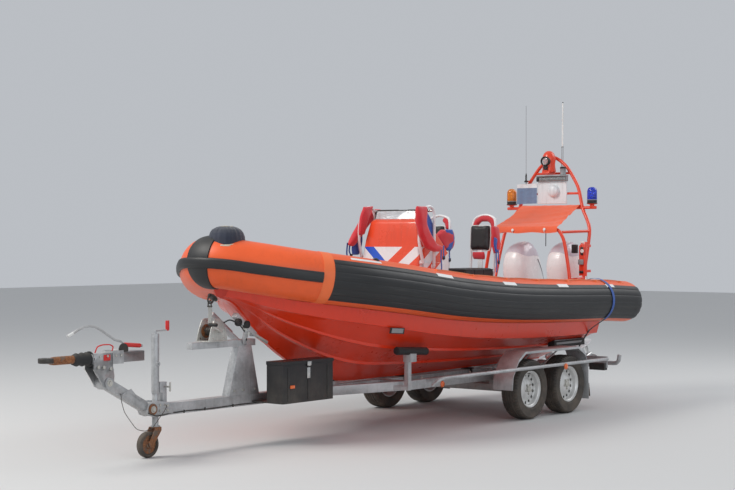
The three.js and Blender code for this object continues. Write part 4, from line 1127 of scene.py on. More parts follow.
def turned(profile, centre, axis="y", steps=32):
    """profile: (radius, height along the axis). A full turn on the lathe."""
    along, out = AXES[axis] if isinstance(axis, str) else (axis.normalized(),
                                                           axis.orthogonal().normalized())
    centre = Vector(centre)
    piece = outline([centre + along * h + out * r for r, h in profile], closed=False)
    bpy.ops.mesh.spin(steps=steps, angle=2 * math.pi, center=centre, axis=along)
    bpy.ops.object.mode_set(mode="OBJECT")
    tidy(piece, merge=0.00005)
    return piece


def copied(piece, matrix):
    """A moved copy with its own mesh."""
    twin = piece.copy()
    twin.data = piece.data.copy()
    twin.data.transform(matrix)
    bpy.context.collection.objects.link(twin)
    return twin


trial = turned([(0, 0), (1, 0), (1, 1), (0, 1)], (0, 0, 0), "y", 8)
print("trial drum:", len(trial.data.vertices), "points,", len(trial.data.polygons), "faces")
bpy.data.objects.remove(trial)

# %% [markdown]
# # Hull and deck
# The hull is moulded in one piece: a V bottom with two spray rails on each side, a hard chine,
# a bulwark under the tubes and a flat deck. Its long lines are fair curves, and a ring of
# points is read off them every few centimetres, as frames are cut for a real mould.

# %% The hull's long lines
TRANSOM_X = -1.72
HULL_STATIONS = [
    # x, keel z, chine y, chine z, inner wall y, deck z
    (TRANSOM_X, 0.492, 0.800, 0.820, 0.640, DECK_Z), (-0.6, 0.484, 0.835, 0.826, 0.650, DECK_Z),
    (0.4, 0.478, 0.840, 0.862, 0.650, DECK_Z), (1.3, 0.478, 0.832, 0.936, 0.650, DECK_Z),
    (2.0, 0.494, 0.790, 1.030, 0.610, DECK_Z), (2.02, 0.496, 0.787, 1.033, 0.608, 1.190),
    (2.42, 0.600, 0.730, 1.090, 0.545, 1.230), (2.8, 0.780, 0.620, 1.148, 0.440, 1.285),
    (3.08, 0.965, 0.480, 1.205, 0.310, 1.340), (3.33, 1.185, 0.300, 1.275, 0.150, 1.400),
    (3.48, 1.300, 0.160, 1.335, 0.060, 1.440), (3.6, 1.345, 0.060, 1.362, 0.020, 1.470)]
SPRAY_RAILS = [(0.32, 0.055), (0.64, 0.055)]
LOCKER_X = 2.01
LOCKER_STATION, CHINE_COLUMN, DECK_COLUMN = 5, 2, 5


def long_line(column, smooth_it=True):
    points = [(row[0], row[column], 0) for row in HULL_STATIONS]
    if not smooth_it:
        return [Vector(p) for p in points]
    points = [p for k, p in enumerate(points) if k != LOCKER_STATION]
    return fair_curve(points, 16)


LINES = {column: long_line(column, column != DECK_COLUMN) for column in range(1, 6)}


def read_line(column, x):
    line = LINES[column]
    for a, b in zip(line, line[1:]):
        if a.x <= x <= b.x and b.x > a.x:
            return a.y + (b.y - a.y) * (x - a.x) / (b.x - a.x)
    return line[0].y if x < line[0].x else line[-1].y


def tube_height(x):
    return along_middle(distance_at(min(x, 3.6)))[0].z


def hull_half(x):
    """Half a frame, from the keel round the bilge to the deck: (y, z)."""
    keel, chine_y, chine, inner, deck = (read_line(column, x) for column in range(1, 6))
    batten = min(0.02, chine_y * 0.2)
    half = [(0, keel - 0.004), (batten, keel - 0.004), (batten * 1.6, keel + 0.012)]
    rise = chine - keel
    for share, width in SPRAY_RAILS:
        y, z = chine_y * share, keel + rise * share
        half += [(y - 0.006, z - 0.004), (y, z - 0.002), (y + chine_y * width, z),
                 (y + chine_y * width + 0.003, z + rise * width)]
    half += [(chine_y * 0.90, chine - rise * 0.07), (chine_y * 0.955, chine - 0.006),
             (chine_y - 0.004, chine - 0.004), (chine_y, chine + 0.004)]
    tube = tube_height(x)
    half += [(chine_y + 0.032, (chine + tube - 0.15) / 2), (chine_y + 0.06, tube - 0.15),
             (inner + 0.03, tube + 0.04), (inner + 0.008, tube + 0.035), (inner, tube + 0.02),
             (inner, deck + 0.02), (inner - 0.02, deck)]
    return half


def hull_ring(x):
    half = hull_half(x)
    ring = [at(x, y, z) for y, z in half]
    return ring + [at(x, -y, z) for y, z in reversed(half[1:])]


frames = [*spaced(TRANSOM_X, 2.0, 0.09), LOCKER_X + 0.001, *spaced(2.02, 3.6, 0.05)]
hull = skin([hull_ring(x) for x in frames], closed=True, caps=True)
keep(hull, "hull_shell", "hull_gelcoat", stands_for="hull", angle=24)
print("hull:", len(frames), "frames,", len(hull.data.polygons), "faces")

# %% [markdown]
# The transom carries the engines, so it has a thick board with a clamping pad on its inner face
# for each engine. The deck has raised non-slip panels, a hatch at the bow, and a locker door.

# %% Transom, deck panels and locker
board = plate([(TRANSOM_X + 0.002, 0.9), (TRANSOM_X + 0.002, 1.08), (TRANSOM_X + 0.07, 1.08),
               (TRANSOM_X + 0.07, 0.9)], 0, 1.12, 0.008, 3)
keep(board, "transom_board", "hull_gelcoat")
for side, sign in SIDES.items():
    pad = block(at(-1.65, sign * 0.3 - 0.15, 0.97), at(-1.642, sign * 0.3 + 0.15, 1.075), 0.003)
    keep(pad, f"transom_pad_{side}", "grey_plastic")


def build_grip():
    """Non-slip paint: rows of small diamonds in a matt grey."""
    tree, shader, place, _ = finish("deck_grip", "hull_orange")
    tone = use(tree, "Uneven tone", Vector=place, Color=(0.13, 0.135, 0.14, 1), Scale=3.0,
               Amount=0.18)
    dust_and_top_light = use(tree, "Road dust and top light", Vector=place, Color=tone["Color"], Dust=ROAD_DUST_AND_TOP_LIGHT,
                Height=0.1, Low=0.0, Top=0.35)
    turned_place = node(tree, "Mapping", {"Vector": place,
                                          "Rotation": (0, 0, math.radians(45))}).outputs[0]
    stud = node(tree, "TexVoronoi", {"Vector": turned_place, "Scale": 90.0, "Randomness": 0.0},
                distance="CHEBYCHEV").outputs["Distance"]
    bump = node(tree, "Bump", {"Strength": 0.5, "Distance": 0.002,
                               "Height": ramp(tree, stud, 0.25, 0.4, 1.0, 0.0)})
    feed(tree, shader, Base_Color=dust_and_top_light["Color"], Roughness=0.8, Normal=bump.outputs[0])


build_grip()
DECK_PANELS = [(-1.38, -0.26), (1.31, 1.93)]
for number, (rear, front) in enumerate(DECK_PANELS):
    panel = block(at(rear, -0.48, DECK_Z - 0.002), at(front, 0.48, DECK_Z + 0.008), 0.004, 3)
    keep(panel, f"deck_grip_{number + 1}", "deck_grip")
locker = slab([at(LOCKER_X - 0.012, y, z) for y, z in
               ((-0.27, 0.985), (0.27, 0.985), (0.29, 1.005), (0.29, 1.15), (0.27, 1.17),
                (-0.27, 1.17), (-0.29, 1.15), (-0.29, 1.005))], Vector((0.02, 0, 0)), 0.004, 3)
keep(locker, "bow_locker_door", "white_plastic")
for side, sign in reversed(SIDES.items()):
    latch = turned([(0, 0), (0.026, 0), (0.026, 0.004), (0.02, 0.008), (0.0, 0.009)],
                   at(LOCKER_X - 0.012, sign * 0.17, 1.08), Vector((-1, 0, 0)), 24)
    keep(latch, f"locker_latch_{side}", "black_plastic")
hatch_rows = []
for x in spaced(2.28, 2.78, 0.1):
    low_z = read_line(DECK_COLUMN, x)
    hatch_rows.append([at(x, y, low_z + h) for y, h in
                       ((-0.31, -0.003), (-0.305, 0.010), (-0.29, 0.014), (0.29, 0.014),
                        (0.305, 0.010), (0.31, -0.003))])
keep(skin(hatch_rows), "anchor_hatch", "deck_grip", angle=50)
print("transom, deck and lockers done")

# %% [markdown]
# Outside, a lighter tape covers the joint between hull and tube, and a small rubber step pad
# sits on the port side above the trailer's front roller.

# %% Hull tapes and step pad
def joint_tape(s):
    return [on_collar(s, angle, 0.003) for angle in (-118, -112, -104, -97, -91)]


tape_run = spaced(distance_at(-1.68), distance_at(3.25), 0.06)
for side, rows in each_side([joint_tape(s) for s in tape_run]).items():
    keep(skin(rows), f"joint_tape_{side}", "tube_seam")
STEP_PAD = [(1.93, 0.972), (1.93, 1.030), (2.13, 1.042), (2.13, 0.985)]
middle = sum((Vector((x, z)) for x, z in STEP_PAD), Vector((0, 0))) / len(STEP_PAD)
for scale, depth, finish_name in ((1.0, 0.008, "black_rubber"), (0.8, 0.012, "grey_plastic")):
    corners = [middle + (Vector((x, z)) - middle) * scale for x, z in STEP_PAD]
    pad = slab([at(x, read_line(CHINE_COLUMN, x) + 0.002 + (z - 0.97) * 0.24, z) for x, z in corners],
               Vector((0, depth, 0)), 0.003)
    keep(pad, f"step_pad_{finish_name}", finish_name)
print("tapes laid")

# %% [markdown]
# # Helm console
# The console is a moulded box: a raked front, rounded edges, and a dash that slopes to the
# helmsman. Broad diagonal bands of blue, red and white cross its front and sides below the
# shoulder. They are one pattern: a V measured outwards from the middle and round the corners.

# %% Console finish
BAND_TOP = 1.80
BAND_RAKE = 1.15
BAND_MIDDLE = -0.04
WHITE, RED, BLUE = (0.80, 0.81, 0.82, 1), (0.80, 0.075, 0.020, 1), (0.012, 0.09, 0.60, 1)
STARBOARD_BANDS = [(0.0, WHITE), (0.182, BLUE), (0.305, WHITE), (0.45, RED), (0.61, WHITE),
                   (0.77, BLUE), (0.89, WHITE), (1.05, RED)]
PORT_BANDS = [(0.0, WHITE), (0.185, RED), (0.345, WHITE), (0.50, RED), (0.66, WHITE),
              (0.82, RED), (0.98, WHITE)]


def band_ramp(tree, value, bands):
    reach = 1.2
    made = node(tree, "ValToRGB", {"Fac": math_node(tree, "DIVIDE", value, reach)})
    made.color_ramp.interpolation = "CONSTANT"
    stops = made.color_ramp.elements
    stops.remove(stops[1])
    stops[0].position, stops[0].color = bands[0]
    for start, color in bands[1:]:
        stops.new(start / reach).color = color
    return made.outputs["Color"]


def build_console_finish():
    tree, shader, place, _ = finish("console_gelcoat", "console_gelcoat", coat=0.45)
    parts = node(tree, "SeparateXYZ", {0: place}).outputs
    across = math_node(tree, "SUBTRACT", parts["Y"], BAND_MIDDLE)
    below = math_node(tree, "SUBTRACT", BAND_TOP, parts["Z"])
    lean = math_node(tree, "MULTIPLY", math_node(tree, "SUBTRACT", below, BAND_TOP - 1.7), 0.2)
    front = math_node(tree, "ADD", lean, 1.10 + AXLE_X)
    round_corner = math_node(tree, "MAXIMUM", math_node(tree, "SUBTRACT", front, parts["X"]), 0.0)
    reach = math_node(tree, "ADD", math_node(tree, "ABSOLUTE", across, 0.0),
                      math_node(tree, "ADD", round_corner,
                                math_node(tree, "MULTIPLY", below, BAND_RAKE)))
    port_side = math_node(tree, "GREATER_THAN", across, 0.0)
    bands = mix(tree, port_side, band_ramp(tree, reach, STARBOARD_BANDS),
                band_ramp(tree, reach, PORT_BANDS))
    low_half = math_node(tree, "GREATER_THAN", below, 0.0)
    color = mix(tree, low_half, RED, bands)
    tone = use(tree, "Uneven tone", Vector=place, Color=color, Scale=2.0, Amount=0.05)
    rain = use(tree, "Rain streaks", Vector=place, Color=tone["Color"], Stain=DARK_STAIN,
               Amount=0.12)
    roughness = ramp(tree, tone["Mask"], 0.3, 0.7, 0.2, 0.34)
    grained = use(tree, "Grain", Vector=place, Scale=60.0, Depth=0.02)
    feed(tree, shader, Base_Color=rain["Color"], Roughness=roughness, Normal=grained["Normal"])


build_console_finish()
print("console finish with", len(STARBOARD_BANDS) + len(PORT_BANDS), "bands")

# %% [markdown]
# The body is laid over outlines: the same side profile at several widths, each narrowed above
# the shoulder. Its edges are then bevelled to the large radius of a moulding.

# %% Console body and screen
CONSOLE_X = 1.08
CONSOLE_HALF = 0.365
CONSOLE_TOP = 2.095
SHOULDER_Z = 1.79
CONSOLE_PROFILE = [(0.17, DECK_Z + 0.001), (0.02, 1.70), (-0.03, 2.06), (-0.09, CONSOLE_TOP),
                   (-0.33, 1.96), (-0.52, 1.72), (-0.52, DECK_Z + 0.001)]


def half_width(z):
    return CONSOLE_HALF - max(0.0, z - SHOULDER_Z) * 0.24


def console_row(share):
    points = []
    for (x, z), (next_x, next_z) in zip(CONSOLE_PROFILE,
                                        CONSOLE_PROFILE[1:] + CONSOLE_PROFILE[:1]):
        for t in (0, 0.5):
            px, pz = x + (next_x - x) * t, z + (next_z - z) * t
            points.append(at(CONSOLE_X + px, share * half_width(pz), pz))
    return points


body = skin([console_row(share) for share in (-1, -0.5, 0, 0.5, 1)], closed=True, caps=True)
round_edges(body, 0.022, 4, angle=22)
keep(body, "console_body", "console_gelcoat", stands_for="console", angle=30)

screen = [(1.018, 2.055), (0.968, 2.172), (0.962, 2.172), (1.010, 2.055)]
keep(plate(screen, 0, 0.54, 0.0012), "wind_screen", "lens_clear")
screen_edge = [at(x, y, z) for x, y, z in
               ((1.012, 0.272, 2.06), (0.972, 0.272, 2.16), (0.965, 0.262, 2.175),
                (0.965, -0.262, 2.175), (0.972, -0.272, 2.16), (1.012, -0.272, 2.06))]
keep(pipe(rounded(screen_edge, 4, 0.12), 0.006, 12), "wind_screen_trim", "black_rubber")
foot_rim = plate([(1.030, 2.045), (1.004, 2.075), (0.992, 2.078), (0.992, 2.045)], 0, 0.56, 0.004)
keep(foot_rim, "wind_screen_foot", "white_plastic")
print("console:", len(body.data.polygons), "faces")

# %% [markdown]
# The side door, the dash with its dials, the switches, the throttle levers and the compass are
# not seen in the photograph. They follow what such a boat carries. The dash lies in a plane,
# so a small frame of directions places everything on it.

# %% Dash, dials and levers
DASH_LOW, DASH_HIGH = at(0.56, 0, 1.72), at(0.75, 0, 1.96)
DASH_UP = (DASH_HIGH - DASH_LOW).normalized()
DASH_OUT = Vector((-DASH_UP.z, 0, DASH_UP.x))


def on_dash(y, up, out=0.0):
    return DASH_LOW + DASH_UP * up + DASH_OUT * out + Vector((0, y, 0))


def dash_plate(y, up, half_y, half_up, thick, round_edge=0.006):
    corners = [on_dash(y + a * half_y, up + b * half_up, -0.004)
               for a, b in ((-1, -0.8), (-0.93, -1), (0.93, -1), (1, -0.8), (1, 0.8), (0.93, 1),
                            (-0.93, 1), (-1, 0.8))]
    return slab(corners, DASH_OUT * (thick + 0.004), round_edge)


keep(dash_plate(0, 0.155, 0.31, 0.13, 0.006, 0.004), "dash_panel", "black_plastic")
keep(dash_plate(0, 0.20, 0.105, 0.07, 0.022, 0.006), "plotter_case", "black_plastic")
keep(dash_plate(0, 0.20, 0.088, 0.056, 0.024, 0.001), "plotter_glass", "lens_clear")


def dial(name, y, up, radius):
    place = on_dash(y, up, 0.004)
    ring = turned([(radius, 0), (radius, 0.008), (radius - 0.004, 0.012), (radius - 0.008, 0.008),
                   (radius - 0.008, 0)], place, DASH_OUT, 36)
    keep(ring, f"{name}_ring", "stainless")
    face = turned([(0, 0.0), (0, 0.004), (radius - 0.007, 0.004), (radius - 0.007, 0)], place,
                  DASH_OUT, 36)
    keep(face, f"{name}_face", "white_plastic")
    needle = block((-0.0012, -0.0012, 0), (0.0012, 0.0012, radius * 0.8), 0)
    needle.rotation_euler = (0.8, 0, 0)
    needle.location = on_dash(y, up, 0.0095)
    marks = []
    for k in range(11):
        turn = math.radians(-130 + 26 * k)
        inner, outer = (radius * 0.7, radius * 0.84)
        direction = DASH_UP * math.cos(turn) + Vector((0, math.sin(turn), 0))
        marks.append(rod(place + direction * inner + DASH_OUT * 0.0045,
                         place + direction * outer + DASH_OUT * 0.0045, 0.0009, 6))
    settle(needle)
    keep(join(f"{name}_marks", [needle, *marks]), f"{name}_marks", "black_plastic")


for number, y in enumerate((-0.235, -0.155, 0.155, 0.235)):
    dial(f"dial_{number + 1}", y, 0.215, 0.034)
switches = []
for k in range(10):
    y = -0.27 + 0.06 * k
    place = on_dash(y, 0.075, 0.006)
    switches.append(turned([(0, 0), (0.012, 0), (0.012, 0.006), (0.008, 0.008), (0, 0.008)],
                           place, DASH_OUT, 16))
    lever = rod(place, place + DASH_OUT * 0.022 + DASH_UP * 0.006, 0.0035, 10, 0.001)
    switches.append(lever)
keep(join("switches", switches), "dash_switches", "stainless")
lever_box = block(at(0.70, -0.33, 1.93), at(0.83, -0.24, 2.01), 0.012, 3)
keep(lever_box, "throttle_box", "black_plastic")
levers = []
for y in (-0.315, -0.255):
    stem = [at(0.765, y, 2.0), at(0.772, y, 2.06), at(0.80, y, 2.13), at(0.80, y, 2.15)]
    levers.append(pipe(rounded(stem), 0.007, 12))
    levers.append(rod(at(0.80, y - 0.024, 2.148), at(0.80, y + 0.024, 2.148), 0.012, 18, 0.004))
keep(join("throttle_levers", levers), "throttle_levers", "stainless")
bowl = turned([(0, 0), (0.055, 0), (0.06, 0.012), (0.058, 0.03), (0.046, 0.052), (0.024, 0.066),
               (0, 0.07)], at(0.90, 0.0, 2.012), "z", 32)
keep(bowl, "compass_bowl", "black_plastic")
door = slab([at(x, CONSOLE_HALF - 0.002, z) for x, z in
             ((0.66, 1.06), (1.06, 1.06), (1.08, 1.08), (1.02, 1.62), (1.0, 1.64), (0.66, 1.64),
              (0.64, 1.62), (0.64, 1.08))], Vector((0, 0.009, 0)), 0.004, 3)
keep(door, "console_door", "console_gelcoat")
print("dash fitted")

# %% [markdown]
# The steering wheel turns with its own body, so its rim, spokes and hub ride on that body. The
# rim has finger grips on the helmsman's side, made by a wave on a finely divided ring.

# %% Steering wheel
HELM_TILT = math.radians(27)
HUB = at(0.59, 0, 1.846)
HELM_AXIS = Vector((math.cos(HELM_TILT), 0, -math.sin(HELM_TILT)))


def build_helm():
    bpy.ops.mesh.primitive_torus_add(major_radius=0.165, minor_radius=0.0135, major_segments=96,
                                     minor_segments=16)
    rim = bpy.context.object
    for vertex in rim.data.vertices:
        turn = math.atan2(vertex.co.y, vertex.co.x)
        if vertex.co.z < 0:
            vertex.co.z += 0.0022 * math.sin(24 * turn)
    rim.rotation_mode = "QUATERNION"
    rim.rotation_quaternion = HELM_AXIS.to_track_quat("Z", "Y")
    rim.location = HUB
    keep(rim, "helm_rim", "helm_grip", "helm_wheel", "helm_wheel")
    spokes = [turned([(0, -0.012), (0.03, -0.012), (0.034, -0.006), (0.034, 0.008), (0.028, 0.014),
                      (0, 0.014)], HUB, HELM_AXIS, 28)]
    up = Vector((-HELM_AXIS.z, 0, HELM_AXIS.x))
    for angle in (90, 210, 330):
        turn = math.radians(angle)
        direction = Vector((0, math.cos(turn), 0)) + up * math.sin(turn)
        spokes.append(pipe([HUB + direction * 0.02, HUB + direction * 0.16], 0.009, 12))
    keep(join("spokes", spokes), "helm_spokes", "stainless", "helm_wheel")
    column = rod(HUB + HELM_AXIS * 0.0145, HUB + HELM_AXIS * 0.12, 0.034, 28, 0.004)
    keep(column, "helm_column", "black_plastic")


build_helm()
print("helm at", [round(v, 3) for v in HUB])

# %% [markdown]
# A white hoop of bent tube is bolted to each side of the console, and a steel grab rail with
# rubber grips runs across between them. A line of points is softened at its corners and given
# the tube's radius.

# %% Console hoops
RAIL_R = 0.016
HOOP_Y = 0.390
HOOP = [(0.870, 1.600), (0.868, 1.800), (0.866, 2.120), (0.890, 2.192), (0.955, 2.212),
        (1.030, 2.182), (1.105, 2.050), (1.122, 1.850), (1.060, 1.640)]
hoops = []
for sign in SIDES.values():
    hoops.append(pipe(rounded([at(x, sign * HOOP_Y, z) for x, z in HOOP], 8), RAIL_R, 20))
    for x, z in (HOOP[0], HOOP[-1]):
        wall = at(x, sign * (CONSOLE_HALF + 0.0005), z)
        outward = Vector((0, sign, 0))
        hoops.append(turned([(0, 0), (0.030, 0), (0.030, 0.004), (0.022, 0.009), (0.0165, 0.016),
                             (0.0165, 0.026), (0, 0.026)], wall, outward, 28))
        for turn in (45, 135, 225, 315):
            dx, dz = (0.024 * f(math.radians(turn)) for f in (math.cos, math.sin))
            bolt = wall + Vector((dx, 0, dz))
            hoops.append(rod(bolt, bolt + outward * 0.0085, 0.004, 6))
keep(join("hoops", hoops), "console_hoops", "rail_powder", stands_for="console_rails")
GRAB_X, GRAB_Z = 0.872, 2.172
keep(rod(at(GRAB_X, -HOOP_Y, GRAB_Z), at(GRAB_X, HOOP_Y, GRAB_Z), 0.0125, 20),
     "console_grab_rail", "stainless")
grips = [rod(at(GRAB_X, a, GRAB_Z), at(GRAB_X, b, GRAB_Z), 0.015, 20, 0.004)
         for a, b in ((0.33, 0.06), (-0.33, -0.06))]
keep(join("grips", grips), "grab_rail_grips", "black_rubber")
print("hoops bent")

# %% [markdown]
# # Soft goods
# A filled pad is thin at its sewn edge and thick in its middle. It is laid between a left and
# a right edge. Cloth simulation then blows the largest pads up as their filling does, with a cap
# on how far any point may move.

# %% Pads, webbing and their filling
CLOTH_FRAMES, CLOTH_VOXEL, CLOTH_PRESSURE = 20, 0.007, 4.0


def crown(t, power=4):
    return (1 - abs(2 * t - 1) ** power) ** 0.5


def pad_net(edges, thick, out, crease, steps=10, columns=26, seed=0):
    """edges: (left, right) pairs from top to bottom. crease: how high the cloth ripples."""
    left, right = (rounded([pair[k] for pair in edges], steps) for k in (0, 1))
    middle = [(a + b) / 2 for a, b in zip(left, right)]
    rows, total = [], len(left) - 1
    for i, (a, b) in enumerate(zip(left, right)):
        s = i / total
        row = []
        for way, order in ((1, range(columns + 1)), (-1, range(columns - 1, 0, -1))):
            for j in order:
                t = j / columns
                full = 0.10 + 0.90 * crown(s) * crown(t)
                point = a.lerp(b, t)
                wave = ripple.noise(point * 9 + Vector((seed, seed, seed))) * crease
                row.append(point + out * (way * thick / 2 * full + wave * crown(s)))
        rows.append(row)
    return skin(rows, closed=True, caps=True)


def fill_up(piece, swell):
    """Cloth simulation with pressure and no gravity; no point moves further than swell."""
    modify(piece, "REMESH", mode="VOXEL", voxel_size=CLOTH_VOXEL)
    before = [vertex.co.copy() for vertex in piece.data.vertices]
    cloth = piece.modifiers.new("Cloth", "CLOTH")
    cloth.settings.use_pressure = True
    cloth.settings.uniform_pressure_force = CLOTH_PRESSURE
    cloth.settings.effector_weights.gravity = 0
    for number in range(1, CLOTH_FRAMES + 1):
        bpy.context.scene.frame_set(number)
    only(piece)
    bpy.ops.object.modifier_apply(modifier=cloth.name)
    bpy.context.scene.frame_set(1)
    for vertex, start in zip(piece.data.vertices, before):
        step = vertex.co - start
        if step.length > swell:
            vertex.co = start + step.normalized() * swell
    modify(piece, "SMOOTH", factor=0.5, iterations=3)


def webbing(points, side, thick=0.002):
    """A flat strap: side is a vector from its middle to its edge."""
    line, rows = rounded(points, 5), []
    for k, point in enumerate(line):
        ahead = line[min(k + 1, len(line) - 1)] - line[max(k - 1, 0)]
        up = ahead.cross(side).normalized() * thick / 2
        rows.append([point - side - up, point - side * 0.96 + up, point + side * 0.96 + up,
                     point + side - up])
    return skin(rows, closed=True, caps=True)


print("soft goods helpers ready")

# %% [markdown]
# A bag is laced on the bow. Its cloth is gathered by a cord at the top, sags between its
# folds, and ends in a flat flange, and a cream rope holds the flange down.

# %% Bow bag
BAG_X, BAG_Y = 3.640, 0.110
BAG_HALF_X, BAG_HALF_Y, BAG_POWER = 0.164, 0.162, 2.6
BAG_RINGS = [
    # z, size
    (1.792, 1.0), (1.800, 1.0), (1.806, 0.965), (1.85, 0.945), (1.90, 0.915), (1.935, 0.84),
    (1.962, 0.72), (1.980, 0.54), (1.988, 0.36), (1.984, 0.20), (1.979, 0.05)]


def rounded_square(turn):
    """The radius of a square with round corners, seen in the direction turn."""
    c, s = abs(math.cos(turn)), abs(math.sin(turn))
    return (c ** BAG_POWER + s ** BAG_POWER) ** (-1 / BAG_POWER)


def bag_ring(z, size, folds):
    ring = []
    for turn in circle(96):
        c, s = math.cos(turn), math.sin(turn)
        place = Vector((c * 3, s * 3, z * 6))
        pleat = 1 + folds * (math.cos(18 * turn + 2 * ripple.noise(place)) * 0.5
                             + ripple.noise(place * 2.1) * 0.9)
        reach = size * rounded_square(turn)
        ring.append(at(BAG_X + BAG_HALF_X * reach * c * pleat,
                       BAG_Y + BAG_HALF_Y * reach * s * pleat,
                       z + 0.010 * folds * 8 * ripple.noise(place * 1.7)))
    return ring


def bag_folds(z):
    return 0.0 if z < 1.803 else 0.018 + 0.05 * max(0, z - 1.93) / 0.05


bag = skin([bag_ring(z, size, bag_folds(z)) for z, size in
            [(a[0] + (b[0] - a[0]) * t, a[1] + (b[1] - a[1]) * t)
             for a, b in zip(BAG_RINGS, BAG_RINGS[1:]) for t in (0, 0.34, 0.67)]
            + [BAG_RINGS[-1]]], closed=True, caps=True)
keep(bag, "bow_bag_cloth", "bag_cloth", stands_for="bow_bag", angle=60)


def round_bag(size, z, wobble=0.0):
    return [at(BAG_X + BAG_HALF_X * size * rounded_square(a) * math.cos(a),
               BAG_Y + BAG_HALF_Y * size * rounded_square(a) * math.sin(a),
               z + wobble * math.sin(3 * a)) for a in [*circle(48), 2 * math.pi]]


keep(pipe(round_bag(0.975, 1.806), 0.006, 8, False), "bow_bag_hem", "black_rubber")
rope = [round_bag(1.02, 1.812, 0.006), round_bag(0.99, 1.828, -0.005)]
keep(join("bag_ropes", [pipe(line, 0.0055, 10, False) for line in rope]), "bow_bag_rope",
     "rope_cream")
keep(pipe(round_bag(0.30, 1.990, 0.002), 0.004, 8, False), "bow_bag_drawcord", "rope_cream")
print("bag:", len(bag.data.polygons), "faces")

# %% Stem eye, shackle and winch strap
EYE_PLACE = at(3.735, 0, 1.335)
stem_plate = turned([(0, 0), (0.05, 0), (0.05, 0.006), (0.035, 0.012), (0, 0.012)],
                    EYE_PLACE + Vector((-0.03, 0, 0.02)), Vector((0.7, 0, -0.7)), 28)
ring = turned([(0.034 + 0.008 * math.cos(a), 0.008 * math.sin(a)) for a in
               (2 * math.pi * k / 12 for k in range(13))], EYE_PLACE, "y", 28)
shackle = pipe(rounded([EYE_PLACE + Vector((x, y, z)) for x, y, z in
                        ((0.01, -0.018, -0.06), (0.01, -0.018, -0.028), (0, 0, -0.008),
                         (0.01, 0.018, -0.028), (0.01, 0.018, -0.06))]), 0.006, 12)
pin = rod(EYE_PLACE + Vector((0.01, -0.028, -0.06)), EYE_PLACE + Vector((0.01, 0.028, -0.06)),
          0.007, 14, 0.002)
keep(join("stem_eye", [stem_plate, ring, shackle, pin]), "stem_eye", "dark_steel")
strap = webbing([EYE_PLACE + Vector((0.01, 0, -0.055)), EYE_PLACE + Vector((0.004, 0, -0.11)),
                 at(3.742, 0, 1.16), at(3.745, 0, 1.115)], Vector((0, 0.024, 0)), 0.003)
keep(strap, "winch_strap", "strap_grey")
print("stem fitted")

# %% [markdown]
# The two seats are saddle pods: an orange moulded box under a long black cushion, with a small
# back pad held by a white hoop. Piping runs along the edges of the upholstery.

# %% Seat pods and hoops
SEAT_Y = 0.30
POD = [(-0.20, DECK_Z + 0.001), (-0.20, 1.42), (-0.15, 1.469), (0.40, 1.469), (0.40, DECK_Z + 0.001)]
seat_parts = []
for sign in SIDES.values():
    pod = plate(POD, sign * SEAT_Y, 0.398, 0.024, 5)
    seat_parts.append(pod)
plinth = block(at(-0.18, -SEAT_Y, DECK_Z + 0.001), at(0.38, SEAT_Y, DECK_Z + 0.08), 0.006)
keep(join("pods", [*seat_parts, plinth]), "seat_pods", "seat_gelcoat", stands_for="seat_frame")
SEAT_HOOP = [(-0.130, 0.150, 1.44), (-0.170, 0.150, 1.98), (-0.190, 0.120, 2.105),
             (-0.195, 0.0, 2.140), (-0.190, -0.120, 2.105), (-0.170, -0.150, 1.98),
             (-0.130, -0.150, 1.44)]
hoops = []
for sign in SIDES.values():
    hoops.append(pipe(rounded([at(x, sign * SEAT_Y + y, z) for x, y, z in SEAT_HOOP], 8),
                      0.0148, 18))
    for end in (-1, 1):
        hoops.append(turned([(0, 0), (0.03, 0), (0.03, 0.004), (0.019, 0.012), (0, 0.012)],
                            at(-0.131, sign * SEAT_Y + end * 0.15, 1.466), "z", 24))
keep(join("seat_hoops", hoops), "seat_hoops", "rail_powder")
for side, sign in SIDES.items():
    for part, (rear, front) in {"front": (0.12, 0.38), "rear": (-0.17, 0.09)}.items():
        hatch = slab([at(x, sign * SEAT_Y + sign * 0.198, z) for x, z in
                      ((rear, 1.10), (rear + 0.02, 1.08), (front - 0.02, 1.08), (front, 1.10),
                       (front, 1.36), (front - 0.02, 1.38), (rear + 0.02, 1.38), (rear, 1.36))],
                     Vector((0, sign * 0.005, 0)), 0.002)
        keep(hatch, f"seat_hatch_{side}_{part}", "seat_gelcoat")
print("pods and hoops done")

# %% [markdown]
# Each seat cushion starts a little smaller than its cover, is filled by the cloth simulation,
# and gets two sewn channels pressed in afterwards. The back pads are filled without channels.

# %% Cushions and back pads
def press_seams(piece, seams, depth, width=0.010):
    """seams: (axis number, place). Points near a seam sink along their own normal."""
    normals = [vertex.normal.copy() for vertex in piece.data.vertices]
    for vertex, normal in zip(piece.data.vertices, normals):
        for axis, place in seams:
            dent = math.exp(-((vertex.co[axis] - place) / width) ** 2)
            if dent > 0.02:
                vertex.co -= normal * depth * dent


def seat_cushion(side, sign):
    y = sign * SEAT_Y
    body = plate([(-0.100, 1.474), (-0.104, 1.54), (-0.085, 1.562), (0.425, 1.562),
                  (0.443, 1.545), (0.438, 1.474)], y, 0.366, 0.020, 4)
    fill_up(body, 0.010)
    press_seams(body, [(0, AXLE_X + 0.10), (0, AXLE_X + 0.27)], 0.006)
    for vertex in body.data.vertices:
        vertex.co.z = max(vertex.co.z, 1.4705)
    keep(body, f"seat_cushion_{side}", "vinyl_black", stands_for=f"seat_{side}")
    edge = [at(x, y + a, 1.557) for x, a in
            ((-0.085, -0.176), (0.428, -0.176), (0.428, 0.176), (-0.085, 0.176), (-0.085, -0.176))]
    keep(pipe(rounded(edge, 6, 0.08), 0.0045, 8, False), f"seat_piping_{side}", "black_rubber")


